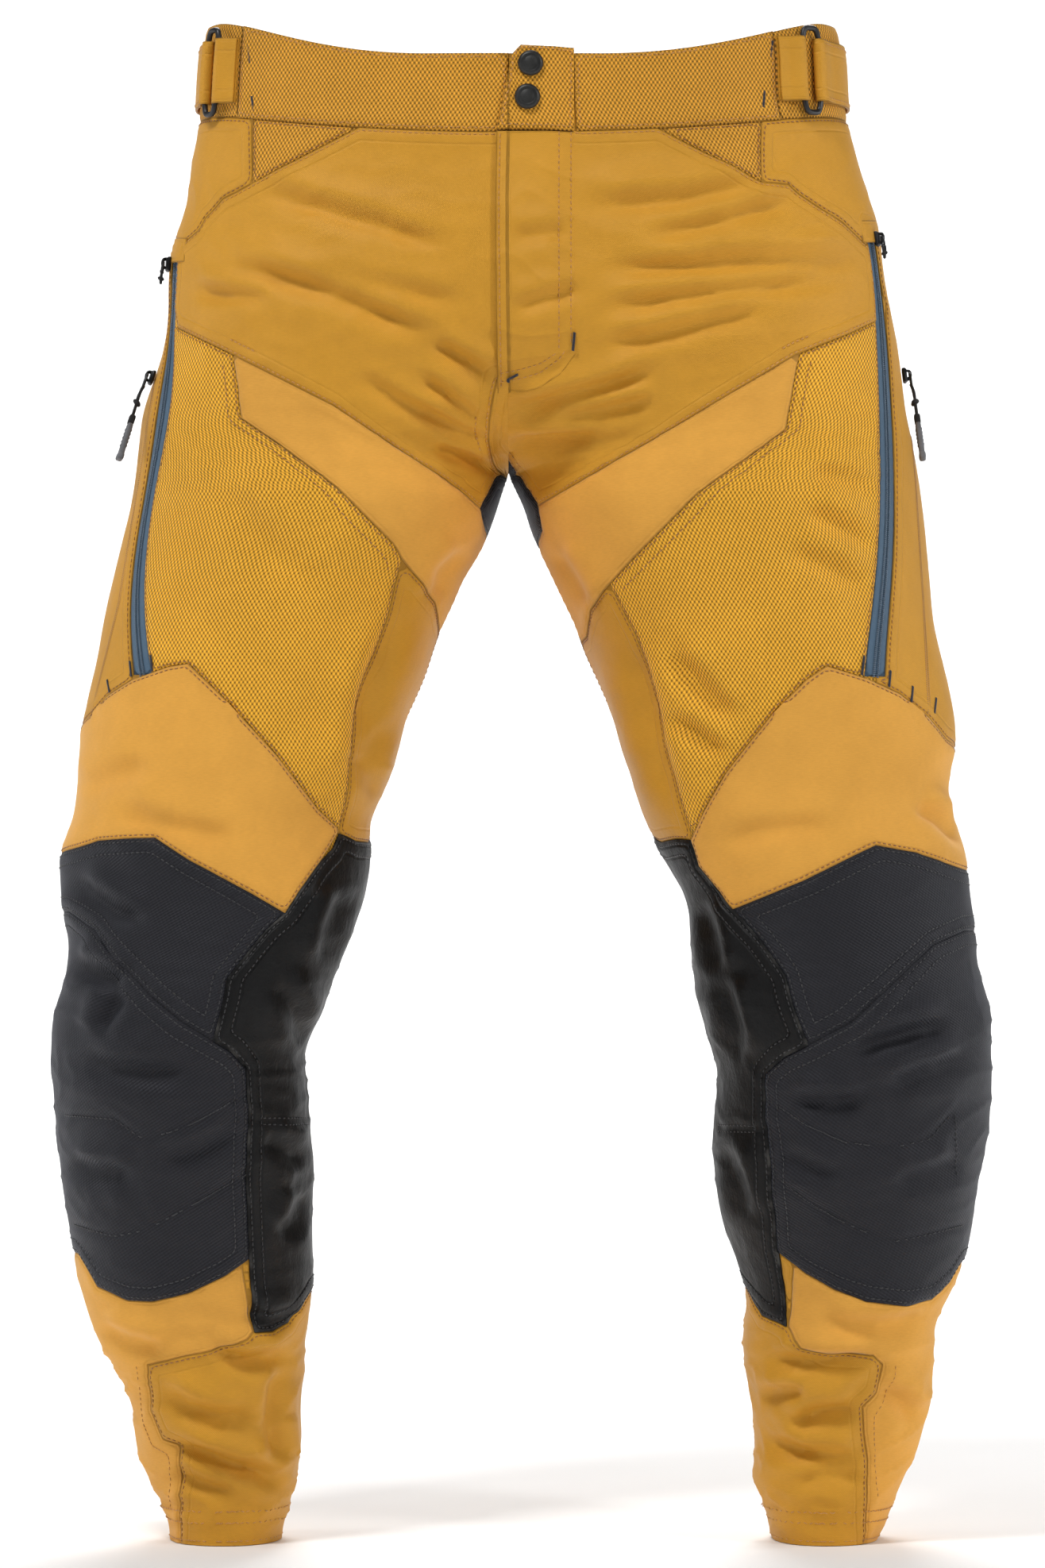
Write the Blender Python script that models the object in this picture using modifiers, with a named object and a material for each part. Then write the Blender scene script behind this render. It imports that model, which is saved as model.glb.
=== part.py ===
"""Off-road motorcycle riding pants, modelled as an empty garment that stands on its hems.

Metres, +Z up.  The front of the pants faces -Y, the wearer's right side is -X.
The origin is on the ground at the middle of the garment, under the hems.

The garment is one smooth envelope.  Each half (right, left) is a sheet with two coordinates:
  u   0..1 once round the leg: 0 inseam, 0.25 front, 0.5 outer side, 0.75 back.
      Above the crotch u = 0 is the centre front seam and u = 1 the centre back seam.
  z   height.
Seam lines are drawn on a front elevation (millimetres along +X, millimetres above the hem), as a
pattern cutter would, and carried on to the envelope along lines from a point 4.5 m in front.
Every panel between seams is its own open surface, lofted inwards by its thickness along normals
that it shares with its neighbours, so that the cut edges stay parallel across every seam.
"""
import math

import bmesh
import bpy
import numpy as np
from mathutils import Matrix, Vector
from mathutils.geometry import delaunay_2d_cdt

for old in list(bpy.data.objects):
    bpy.data.objects.remove(old, do_unlink=True)

# ---------------------------------------------------------------- driving dimensions (metres)
MM = 0.001
SIGN = {"R": -1.0, "L": 1.0}      # direction of each half along X
WORD = {"R": "right", "L": "left"}

CROTCH_Z = 0.704                  # lowest point of the crotch seam
HIP_Z = 0.832                     # above this the two halves are one torso section
CENTRE_X = -0.0092                # the centre seam sits a little to the wearer's right
CENTRE_HALF_GAP = 0.0004          # each half's wall stands this far from the centre seam
HALVES_SPLIT_MM = -9.4            # elevation points left of this lie on the right half
EYE_Y, EYE_Z = -4.5, 0.5005       # where the front elevation is drawn from
LEG_SQUARE, TORSO_SQUARE = 2.15, 2.45   # superellipse powers

INSEAM_SWING = -0.35              # radians, 20 degrees to the back
INSEAM_SWING_TOP, INSEAM_SWING_LENGTH = 0.64, 0.22

RIM_FRONT_Z, RIM_FRONT_RISE = 0.9725, 0.0265    # waist edge
RIM_SIDE_Z, RIM_BACK_DROP = 0.9990, 0.0065
BAND_FRONT_Z, BAND_FRONT_RISE = 0.9215, 0.0155  # lower edge of the waistband
BAND_SIDE_Z, BAND_BACK_DROP = 0.9370, 0.0020

CELL = 0.034                      # panel facet size
EDGE_STEP = CELL * 0.85           # facet length along seams
ROUND = 0.56                      # nominal length once round a leg, for spacing facets
EDGE_REACH = 2e-4                 # seam ends this close to an edge of the sheet lie on it
MERGE = 3e-4                      # sheet points closer than this become one

# Panel properties go by the first match at the start of the panel's name.
FABRIC = 0.0016                   # shell fabric thickness
KNEE_FABRIC = 0.0022              # ballistic knee fabric and leather
BAND_THICKNESS = 0.0030
THICKNESS_OF = {
    "waistband": BAND_THICKNESS, "snap_underlap": BAND_THICKNESS, "knee": KNEE_FABRIC,
    "vent_zip": 0.0014, "fly_zipper": 0.0014, "crotch_gusset": 0.0010,
}
SEAM_HALF_GAP = 0.00045           # clearance on each side of a seam
# pieces whose seams bend sharply get more clearance
SEAM_HALF_GAP_OF = {"crotch_gusset": 0.0024, "thigh_front": 0.0010, "seat_panel": 0.0016}
MATERIAL_OF = {
    "thigh_mesh": "mesh", "front_yoke": "mesh", "waistband": "mesh",
    "thigh_front": "smooth_twill", "thigh_lower": "smooth_twill", "shin_side": "smooth_twill",
    "crotch_gusset": "ballistic", "knee_leather": "leather", "knee_": "ballistic",
    "vent_zip": "zip_tape",
}
FLY_ZIPPER_SUNK = 0.0064          # depth of the fly zipper tape below the envelope
HEM_SNAP_Z = 0.0025               # panel vertices below this are brought down to the ground

# Front elevation of the legs, mm:
# height, right leg outer side, right inner side, left leg outer side, left inner side
LEG_SIDES = [
    (-2.6, -233.3, -160.8, 233.3, 167.1), (7.9, -234.4, -159.2, 238.6, 163.4),
    (21, -238.1, -155.5, 242.3, 161.9), (36.8, -245.4, -149.2, 251.2, 154),
    (52.5, -252.8, -148.2, 260.6, 152.9), (68.3, -256.4, -147.7, 268, 151.9),
    (84.1, -257.5, -147.7, 270.6, 150.8), (99.8, -264.9, -147.1, 270.6, 150.3),
    (115.6, -272.2, -146.1, 271.2, 148.7), (131.4, -279.6, -145, 271.7, 147.1),
    (147.1, -284.8, -141.9, 274.8, 147.1), (162.9, -289, -140.3, 282.7, 148.2),
    (178.7, -293.8, -139.3, 288.5, 144.5), (194.4, -295.9, -139.8, 292.7, 138.2),
    (210.2, -300.6, -139.8, 295.9, 132.4), (226, -302.7, -139.3, 298, 129.3),
    (241.7, -303.7, -138.7, 300.1, 127.7), (257.5, -305.3, -138.7, 303.2, 125.6),
    (273.3, -306.9, -139.8, 307.4, 125.6), (289, -308.5, -140.3, 307.9, 127.2),
    (304.8, -308.5, -141.9, 309, 129.3), (320.6, -307.9, -144, 307.4, 129.3),
    (336.3, -307.4, -139.3, 306.9, 123.5), (352.1, -305.3, -131.4, 308.5, 117.2),
    (367.8, -300.6, -126.1, 304.3, 113), (383.6, -298, -120.3, 299.5, 110.9),
    (399.4, -299.5, -113, 298, 110.4), (415.1, -302.7, -107.2, 295.3, 110.4),
    (430.9, -302.7, -102.5, 293.2, 105.6), (446.7, -303.2, -100.4, 291.7, 96.2),
    (462.4, -301.6, -100.4, 289, 88.8), (478.2, -295.9, -99.8, 282.2, 80.4),
    (494, -294.3, -91.4, 278.5, 75.1), (509.7, -293.2, -85.7, 282.2, 70.4),
    (525.5, -291.1, -82, 285.3, 65.2), (541.3, -289, -78.3, 285.3, 61.5),
    (557, -286.4, -70.9, 282.7, 55.2), (572.8, -282.7, -64.1, 279, 47.8),
    (588.6, -279.6, -59.4, 275.4, 40.5), (604.3, -276.9, -54.1, 271.7, 35.7),
    (620.1, -273.8, -46.2, 270.1, 27.9), (635.9, -270.1, -39.9, 269.1, 20.5),
    (651.6, -266.4, -29.4, 267.5, 13.1), (667.4, -262.8, -22.1, 265.9, 5.8),
    (683.1, -258.5, -16.8, 264.3, 1.6), (698.9, -255.4, -12.1, 262.2, -6.3),
    (704.2, -254.9, -9.2, 261.2, -9.2),
]
# Front elevation of the torso, mm: height, right side, left side
TORSO_SIDES = [
    (704.2, -254.9, 261.2), (714.7, -253.8, 258.5), (730.4, -252.2, 253.3),
    (746.2, -249.6, 250.7), (762, -243.8, 249.6), (777.7, -238.1, 248.6),
    (793.5, -234.9, 246.5), (809.3, -233.3, 243.8), (825, -233.8, 240.7),
    (840.8, -233.8, 238.1), (856.6, -230.7, 236.5), (872.3, -224.9, 234.4),
    (888.1, -220.7, 228.6), (903.9, -219.1, 223.9), (919.6, -216.5, 219.7),
    (935.4, -212.8, 214.4), (951.2, -212.3, 211.3), (966.9, -211.3, 211.3),
    (982.7, -210.2, 210.2), (1000, -208.1, 207),
]
# Depth, mm: height, half depth front to back, middle in y
LEG_DEPTH = [
    (0, 50, 17), (60, 56, 14), (110, 66, 6), (170, 76, -4), (230, 84, -16), (300, 93, -30),
    (350, 97, -36), (400, 97, -33), (460, 99, -24), (540, 108, -12), (620, 118, -4),
    (704, 127, 2),
]
TORSO_DEPTH = [(704, 130, 2.1), (780, 132, 3.37), (850, 127, 2), (920, 114, 0), (1000, 108, 0)]


# ---------------------------------------------------------------- envelope


def height_curve(rows, column, spread):
    """A function of height through one column of the rows, smoothed over the given spread."""
    z = np.linspace(-0.03, 1.03, 1061)
    heights = np.array([r[0] for r in rows], float) * MM
    values = np.array([r[column] for r in rows], float) * MM
    reach = 40
    offsets = np.arange(-reach, reach + 1) * (z[1] - z[0])
    bell = np.exp(-0.5 * (offsets / spread) ** 2)
    padded = np.pad(np.interp(z, heights, values), reach, mode="edge")
    smoothed = np.convolve(padded, bell / bell.sum(), mode="valid")
    return lambda q: np.interp(q, z, smoothed)


LEG_OUTER = {s: height_curve(LEG_SIDES, c, 0.007) for s, c in (("R", 1), ("L", 3))}
LEG_INNER = {s: height_curve(LEG_SIDES, c, 0.005) for s, c in (("R", 2), ("L", 4))}
TORSO_OUTER = {s: height_curve(TORSO_SIDES, c, 0.008) for s, c in (("R", 1), ("L", 2))}
LEG_HALF_DEPTH, LEG_MIDDLE_Y = (height_curve(LEG_DEPTH, c, 0.02) for c in (1, 2))
TORSO_HALF_DEPTH, TORSO_MIDDLE_Y = (height_curve(TORSO_DEPTH, c, 0.02) for c in (1, 2))


def ease(t):
    t = np.clip(t, 0, 1)
    return t * t * (3 - 2 * t)


def inseam_turn(z):
    """The inseam swings to the back of the leg from the thigh down to the knee."""
    drop = INSEAM_SWING_TOP - np.asarray(z, float)
    return INSEAM_SWING * ease(drop / INSEAM_SWING_LENGTH)


def squared(v, square):
    """Sine or cosine bent towards a superellipse."""
    return np.sign(v) * np.abs(v) ** (2.0 / square)


def envelope(side, u, z):
    """Points of the envelope; leg and torso sections blend between the crotch and the hips."""
    u, z = np.broadcast_arrays(np.asarray(u, float), np.asarray(z, float))
    sign = SIGN[side]
    wall = CENTRE_X + sign * CENTRE_HALF_GAP
    inner = LEG_INNER[side](z)
    inner = np.where(z >= CROTCH_Z, wall, sign * np.maximum(sign * inner, sign * wall))
    outer = LEG_OUTER[side](z)
    middle, half = (outer + inner) / 2, np.abs(outer - inner) / 2
    turn = 2 * np.pi * u + inseam_turn(z)
    leg_x = middle - sign * half * squared(np.cos(turn), LEG_SQUARE)
    leg_y = LEG_MIDDLE_Y(z) - LEG_HALF_DEPTH(z) * squared(np.sin(turn), LEG_SQUARE)
    half_turn = np.pi * np.clip(u, 0, 1)
    width = np.abs(TORSO_OUTER[side](z) - wall)
    torso_x = wall + sign * width * squared(np.sin(half_turn), TORSO_SQUARE)
    torso_y = TORSO_MIDDLE_Y(z) - TORSO_HALF_DEPTH(z) * squared(np.cos(half_turn), TORSO_SQUARE)
    t = np.clip((z - CROTCH_Z) / (HIP_Z - CROTCH_Z), 0, 1)
    blend = np.sqrt(t) * (1.5 - 0.5 * t)
    return np.stack([leg_x + blend * (torso_x - leg_x), leg_y + blend * (torso_y - leg_y), z], -1)


def unit(vectors, least):
    return vectors / np.maximum(np.linalg.norm(vectors, axis=-1, keepdims=True), least)


def normal(side, u, z):
    """Outward unit normal of the envelope, from differences over a small step."""
    step = 2e-3
    u = np.clip(u, step, 1 - step)
    along_u = envelope(side, u + step, z) - envelope(side, u - step, z)
    along_z = envelope(side, u, np.asarray(z) + step) - envelope(side, u, np.asarray(z) - step)
    return unit(np.cross(along_u, along_z) * SIGN[side], 1e-12)


def front(side, x_mm, z_mm):
    """(u, z) of the envelope point behind a point of the front elevation."""
    drawn_x, drawn_z = x_mm * MM, z_mm * MM
    y = -0.1
    for _ in range(7):
        scale = (y - EYE_Y) / -EYE_Y
        x, z = drawn_x * scale, EYE_Z + (drawn_z - EYE_Z) * scale
        start = float(-inseam_turn(z) / (2 * np.pi))
        us = np.linspace(start, start + 0.5, 241)
        xs = np.maximum.accumulate(envelope(side, us, z)[:, 0] * SIGN[side])
        u = float(np.interp(x * SIGN[side], xs, us))
        y = float(envelope(side, u, z)[1])
    return u, z


def rim_z(u):
    """Height of the waist edge: lower at the front, highest at the sides."""
    u = np.asarray(u, float)
    return np.where(u < 0.5, RIM_FRONT_Z + RIM_FRONT_RISE * ease((u - 0.06) / 0.34),
                    RIM_SIDE_Z - RIM_BACK_DROP * ease((u - 0.5) / 0.16))


def band_z(u):
    """Height of the waistband's lower edge."""
    u = np.asarray(u, float)
    return np.where(u < 0.5, BAND_FRONT_Z + BAND_FRONT_RISE * ease(u / 0.42),
                    BAND_SIDE_Z - BAND_BACK_DROP * ease((u - 0.5) / 0.2))


# ---------------------------------------------------------------- seam drawing
# An outline is a list of stretches:
#   ("front", points)  front elevation points, mm
#   ("sheet", points)  (u, z) points
#   ("band", us), ("rim", us)  along the waistband's lower edge or the waist edge, at these u
# Outlines run past the sheet (u < 0, u > 1, z < 0) and under later panels, which cover earlier ones.
SIDE_U = {"R": 0.315, "L": 0.268}   # where the front waistband meets the back one
UNDERLAP_U = 0.0425                 # edge of the snap underlap, behind the fly's hinge seam

SEAT = ("sheet", [(0.50, 1.02), (1.02, 1.02), (1.02, 0.735), (0.92, 0.702), (0.80, 0.690),
                  (0.68, 0.706), (0.56, 0.742), (0.50, 0.75)])
CALF = ("sheet", [(0.50, 0.418), (0.62, 0.405), (0.75, 0.400), (0.90, 0.405), (1.02, 0.412),
                  (1.02, -0.02), (0.50, -0.02)])
GUSSET_BACK = ("sheet", [(1.02, 0.748), (0.945, 0.724), (0.928, 0.688), (0.950, 0.662),
                         (1.02, 0.650)])

# Seams that two panels share, from the top down, mm on the front elevation
THIGH_SEAM = {
    "R": [(-79.9, 649.5), (-88.3, 614.3), (-95.1, 586.5), (-106.7, 561.8), (-110.4, 540.2),
          (-113, 517.1), (-116.1, 483.5), (-119.8, 469.3)],
    "L": [(57.8, 630.6), (74.6, 599.1), (86.2, 562.3), (94.6, 515), (110.4, 467.7)],
}
UPPER_KNEE_SEAM = {
    "R": [(-157.6, 415.1), (-169.7, 404.6), (-195.5, 372.1), (-197.6, 358.9), (-204.9, 330.5)],
    "L": [(140.3, 417.8), (157.1, 397.8), (173.9, 373.6), (178.7, 356.3), (189.2, 327.9)],
}
LOWER_KNEE_SEAM = {
    "R": [(-193.4, 323.7), (-183.4, 312.1), (-181.3, 282.2), (-183.4, 244.4)],
    "L": [(173.4, 320), (161.3, 309), (160.3, 278), (164.5, 251.2), (166.6, 210.7)],
}


def front_waistband(side):
    us = SIDE_U[side]
    return [("band", [-0.02, 0.06, 0.12, 0.18, 0.24, us]), ("sheet", [(us, 1.02), (-0.02, 1.02)])]


PANELS = {"R": [
    ("seat_panel_right", [SEAT]),
    ("calf_panel_right", [CALF]),
    ("inner_thigh_panel_right", [
        ("front", [*THIGH_SEAM["R"], (-119.8, 430.9)]),
        ("sheet", [(-0.02, 0.40), (-0.02, 0.66)]),
        ("front", [(-35.7, 656.9), (-51.5, 656.9), (-72.5, 656.9)])]),
    ("thigh_mesh_panel_right", [
        ("front", [(-228.1, 830.3), (-232.8, 790.4), (-239.1, 749.4), (-248.6, 693.7),
                   (-254.9, 647.9), (-255.9, 609.6), (-252.8, 575.4), (-267, 515),
                   (-119.8, 441.4), *THIGH_SEAM["R"][::-1], (-62, 677.9), (-125.1, 767.2)])]),
    ("thigh_front_panel_right", [
        ("front", [(-191.3, 783), (-186, 742.5), (-160.8, 725.2), (-123.5, 697.3),
                   (-85.1, 659), (-79.9, 649.5), (-57.3, 620.1), (-55.2, 603.3)]),
        ("sheet", [(-0.02, 0.597), (-0.02, 0.72)]),
        ("front", [(-14.7, 725.2), (-51.5, 746.2), (-125.1, 788.2), (-172.4, 809.3)])]),
    ("crotch_gusset_right", [
        ("front", [(-9.5, 725.2), (-24.2, 709.4), (-28.9, 683.1), (-25.2, 668.4),
                   (-18.9, 655.8)]),
        ("sheet", [(-0.02, 0.655), (-0.02, 0.76)])]),
    ("crotch_gusset_right", [GUSSET_BACK]),
    ("front_panel_right", [
        ("front", [(-228.1, 802.4), (-196, 786.7), (-125.1, 750.9), (-62, 708.9),
                   (-42.6, 695.8), (-28.9, 683.1), (-17.3, 704.2), (-7.9, 714.7)]),
        ("sheet", [(-0.02, 0.76), (-0.02, 1.02), (0.50, 1.02)]),
        ("front", [(-240.7, 861.8)])]),
    ("pocket_panel_right", [
        ("front", [(-227, 856), (-229.1, 844), (-229.6, 824.5), (-232.8, 804), (-232.8, 790.4),
                   (-234.4, 769.9), (-239.1, 749.4), (-241.7, 729.9), (-243.8, 717.3),
                   (-248.6, 693.7), (-251.7, 686.8), (-254.9, 647.9), (-255.9, 609.6),
                   (-252.8, 575.4), (-252.8, 546.5)]),
        ("sheet", [(0.52, 0.50), (0.605, 0.49), (0.605, 0.60), (0.615, 0.75), (0.625, 0.885),
                   (0.56, 0.872), (0.50, 0.860)])]),
    ("hip_panel_right", [
        ("front", [(-179.2, 956.4), (-179.2, 898.1), (-198.1, 888.1), (-210.2, 875.5),
                   (-214.4, 867.1), (-227, 856)]),
        ("sheet", [(0.50, 0.862), (0.56, 0.876), (0.625, 0.888), (0.635, 1.02), (0.45, 1.02)])]),
    ("front_yoke_right", [
        ("front", [(-178.1, 956.4), (-179.2, 898.1), (-106.7, 935.9), (-98.8, 956.4)])]),
    ("shin_panel_right", [
        ("front", [(-267, 116.1), (-247.5, 116.1), (-179.2, 157.6), (-135.6, 178.7)]),
        ("sheet", [(-0.02, 0.17), (-0.02, -0.02), (0.30, -0.02)]),
        ("front", [(-225.4, -10.5)])]),
    ("shin_side_panel_right", [
        ("front", [(-188.1, 199.7), (-179.2, 138.7), (-183.4, 134.5), (-204.9, 125.6),
                   (-232.8, 119.3), (-247.5, 116.1), (-245.4, 85.7), (-238.6, 66.7),
                   (-227.5, 62), (-226.5, 29.4), (-225.4, -21)]),
        ("sheet", [(0.575, -0.02), (0.585, 0.10), (0.585, 0.23)])]),
    ("thigh_lower_panel_right", [
        ("front", [(-119.8, 470.3), (-134.5, 483.5), (-162.4, 519.2), (-194.4, 553.9),
                   (-221.8, 580.2), (-234.9, 578), (-258, 569.6), (-274.8, 558.6),
                   (-284.8, 546.5)]),
        ("sheet", [(0.56, 0.532), (0.605, 0.520), (0.605, 0.418), (0.50, 0.418)]),
        ("front", [(-282.7, 415.1), (-146.1, 388.9), (-133.5, 448.8)])]),
    ("knee_leather_right", [
        ("front", [(-119.8, 467.7), (-124, 458.2), (-133.5, 448.8), (-148.2, 429.9),
                   *UPPER_KNEE_SEAM["R"], *LOWER_KNEE_SEAM["R"], (-180.8, 186.6),
                   (-178.7, 138.7), (-166.6, 138.7), (-154.5, 144), (-146.6, 154.5),
                   (-139.8, 167.1)]),
        ("sheet", [(-0.02, 0.160), (-0.02, 0.470)]),
        ("front", [(-100.4, 461.4), (-109.3, 462.4)])]),
    ("knee_upper_panel_right", [
        ("front", [(-302.2, 456.1), (-280.6, 463), (-243.3, 465.1), (-220.2, 449.8),
                   (-180.2, 428.3), *UPPER_KNEE_SEAM["R"], (-240.7, 320.6)]),
        ("sheet", [(0.50, 0.33), (0.590, 0.33), (0.590, 0.452)])]),
    ("knee_lower_panel_right", [
        ("front", [(-300.6, 416.2), (-282.2, 404.1), (-263.3, 378.9), (-244.4, 358.4),
                   (-224.9, 342.6), (-204.9, 330.5), *LOWER_KNEE_SEAM["R"], (-180.8, 186),
                   (-196.5, 175), (-220.2, 164), (-244.4, 158.2), (-260.6, 159.2),
                   (-280.6, 168.2), (-294.3, 189.7)]),
        ("sheet", [(0.590, 0.192), (0.590, 0.416)])]),
    ("vent_zip_right", [
        ("front", [(-223.9, 858.7), (-224.4, 844), (-224.9, 824.5), (-228.1, 804),
                   (-228.1, 790.4), (-229.6, 769.9), (-234.4, 749.4), (-237, 729.9),
                   (-239.1, 717.3), (-243.8, 693.7), (-246.5, 686.8), (-249.6, 647.9),
                   (-250.7, 609.6), (-247, 575.4), (-258, 572.8), (-261.2, 609.6),
                   (-260.1, 647.9), (-256.4, 686.8), (-253.3, 693.7), (-248, 717.3),
                   (-245.9, 729.9), (-243.3, 749.4), (-238.6, 769.9), (-237, 790.4),
                   (-237, 804), (-233.8, 824.5), (-233.3, 844), (-231.2, 858.7)])]),
    ("thigh_lower_panel_right", [
        ("front", [(-214.4, 572.8), (-221.8, 580.2), (-234.9, 578), (-258, 569.6),
                   (-274.8, 558.6), (-274.8, 546.5), (-214.4, 546.5)])]),
    ("waistband_right", front_waistband("R")),
], "L": [
    ("seat_panel_left", [SEAT]),
    ("calf_panel_left", [CALF]),
    ("inner_thigh_panel_left", [
        ("front", [*THIGH_SEAM["L"], (110.4, 430.9)]),
        ("sheet", [(-0.02, 0.40), (-0.02, 0.66)]),
        ("front", [(16.8, 656.9), (32.6, 656.9)])]),
    ("thigh_mesh_panel_left", [
        ("front", [(235.4, 840.8), (241.7, 780.9), (241.7, 754.1), (243.3, 693.7),
                   (241.2, 658.5), (234.4, 573.8), (258.5, 515), (110.4, 436.2),
                   *THIGH_SEAM["L"][::-1], (53.6, 683.1), (116.7, 767.2), (179.7, 798.8)])]),
    ("thigh_front_panel_left", [
        ("front", [(183.9, 788.2), (174.5, 735.7), (116.7, 693.7), (74.6, 651.6),
                   (56.2, 631.7), (43.1, 614.8), (40.5, 597.5)]),
        ("sheet", [(-0.02, 0.592), (-0.02, 0.72)]),
        ("front", [(-4.2, 725.2), (85.1, 777.7), (158.7, 809.3)])]),
    ("crotch_gusset_left", [
        ("front", [(-8.9, 725.2), (5.3, 704.2), (11.6, 683.1), (13.7, 668.4), (8.9, 654.8)]),
        ("sheet", [(-0.02, 0.655), (-0.02, 0.76)])]),
    ("crotch_gusset_left", [GUSSET_BACK]),
    ("front_panel_left", [
        ("front", [(238.1, 809.3), (214.9, 798.2), (179.7, 784), (85.1, 727.8), (11.6, 685.3),
                   (-1.6, 704.2), (-10.5, 714.7)]),
        ("sheet", [(-0.02, 0.76), (-0.02, 1.02), (0.50, 1.02)]),
        ("front", [(241.7, 861.8)])]),
    ("pocket_panel_left", [
        ("front", [(227, 857.6), (227.5, 866.5), (230.2, 852.4), (236.5, 836.6),
                   (240.7, 818.2), (241.2, 802.4), (241.7, 780.9), (241.7, 754.1),
                   (242.3, 725.2), (243.3, 693.7), (241.2, 658.5), (238.6, 623.2),
                   (234.4, 573.8), (234.4, 546.5)]),
        ("sheet", [(0.52, 0.50), (0.605, 0.49), (0.605, 0.60), (0.615, 0.75), (0.625, 0.885),
                   (0.56, 0.872), (0.50, 0.862)])]),
    ("hip_panel_left", [
        ("front", [(158.2, 956.4), (157.6, 898.1), (175.5, 897), (183.4, 890.2),
                   (198.1, 880.2), (210.7, 872.3), (227, 857.6)]),
        ("sheet", [(0.50, 0.864), (0.56, 0.876), (0.625, 0.888), (0.635, 1.02), (0.45, 1.02)])]),
    ("front_yoke_left", [
        ("front", [(158.7, 956.4), (157.6, 898.1), (86.2, 936.4), (78.8, 956.4)])]),
    ("shin_panel_left", [
        ("front", [(253.3, 126.1), (236.5, 124), (175.5, 157.6), (142.9, 178.7)]),
        ("sheet", [(-0.02, 0.17), (-0.02, -0.02), (0.30, -0.02)]),
        ("front", [(226, -10.5)])]),
    ("shin_side_panel_left", [
        ("front", [(179.7, 199.7), (175.5, 140.8), (185.5, 128.2), (200.2, 122.4),
                   (231.7, 122.4), (238.1, 116.1), (234.9, 97.2), (224.9, 88.3), (226, 69.9),
                   (228.6, 51), (227, 28.4), (226, -21)]),
        ("sheet", [(0.575, -0.02), (0.585, 0.10), (0.585, 0.23)])]),
    ("thigh_lower_panel_left", [
        ("front", [(110.9, 463), (119.3, 481.9), (134, 507.6), (165, 546.5), (188.1, 569.6),
                   (201.8, 578.6), (228.1, 570.2), (249.6, 560.2), (268.5, 544.9),
                   (280.6, 529.7)]),
        ("sheet", [(0.56, 0.520), (0.605, 0.512), (0.605, 0.418), (0.50, 0.418)]),
        ("front", [(269.1, 415.1), (132.4, 394.1), (116.7, 441.4)])]),
    ("knee_leather_left", [
        ("front", [(110.9, 463), (116.7, 446.1), *UPPER_KNEE_SEAM["L"], *LOWER_KNEE_SEAM["L"],
                   (168.7, 189.7), (171.8, 168.2), (174.5, 141.4), (157.1, 148.7),
                   (151.9, 157.1), (146.1, 169.7)]),
        ("sheet", [(-0.02, 0.162), (-0.02, 0.470)]),
        ("front", [(91.4, 461.4), (100.9, 463.5)])]),
    ("knee_upper_panel_left", [
        ("front", [(291.7, 444), (260.1, 455.1), (233.3, 459.8), (220.2, 453.5),
                   (186.6, 436.7), *UPPER_KNEE_SEAM["L"], (232.3, 320.6)]),
        ("sheet", [(0.50, 0.33), (0.590, 0.33), (0.590, 0.442)])]),
    ("knee_lower_panel_left", [
        ("front", [(292.7, 403.6), (271.7, 394.1), (263.8, 386.2), (242.8, 365.7),
                   (216.5, 342.6), (189.2, 327.9), *LOWER_KNEE_SEAM["L"], (167.6, 190.2),
                   (186.6, 176), (206.5, 165.5), (227, 158.7), (253.8, 156.1),
                   (271.2, 159.2), (283.2, 170.8), (289.6, 183.4)]),
        ("sheet", [(0.590, 0.186), (0.590, 0.404)])]),
    ("vent_zip_left", [
        ("front", [(223.3, 869.2), (225.4, 852.4), (231.7, 836.6), (235.4, 818.2),
                   (235.9, 802.4), (236.5, 780.9), (236.5, 754.1), (237, 725.2),
                   (238.1, 693.7), (235.9, 658.5), (233.3, 623.2), (228.6, 575.4),
                   (240.7, 568.6), (244.4, 623.2), (247, 658.5), (248.6, 693.7),
                   (247.5, 725.2), (246.5, 754.1), (246.5, 780.9), (245.9, 802.4),
                   (245.4, 818.2), (241.2, 836.6), (234.9, 852.4), (231.7, 869.2)])]),
    ("thigh_lower_panel_left", [
        ("front", [(195.5, 574.9), (201.8, 578.6), (228.1, 570.2), (249.6, 560.2),
                   (249.6, 546.5), (195.5, 546.5)])]),
    ("fly_zipper", [
        ("front", [(-11.6, 956.4), (33.6, 956.4), (33.6, 785.6), (25.2, 774.6),
                   (11.6, 766.2), (-11.6, 760.4)])]),
    ("waistband_left", front_waistband("L")),
    ("snap_underlap", [
        ("band", [-0.02, 0.02, 0.06, UNDERLAP_U]),
        ("sheet", [(UNDERLAP_U, 1.02), (-0.02, 1.02)])]),
]}
BASE_PANEL = {"R": "thigh_back_panel_right", "L": "thigh_back_panel_left"}


# ---------------------------------------------------------------- cutting the sheet


def between(a, b, steps):
    """Even points from a up to, but not including, b."""
    return [a + (b - a) * i / steps for i in range(steps)]


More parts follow.
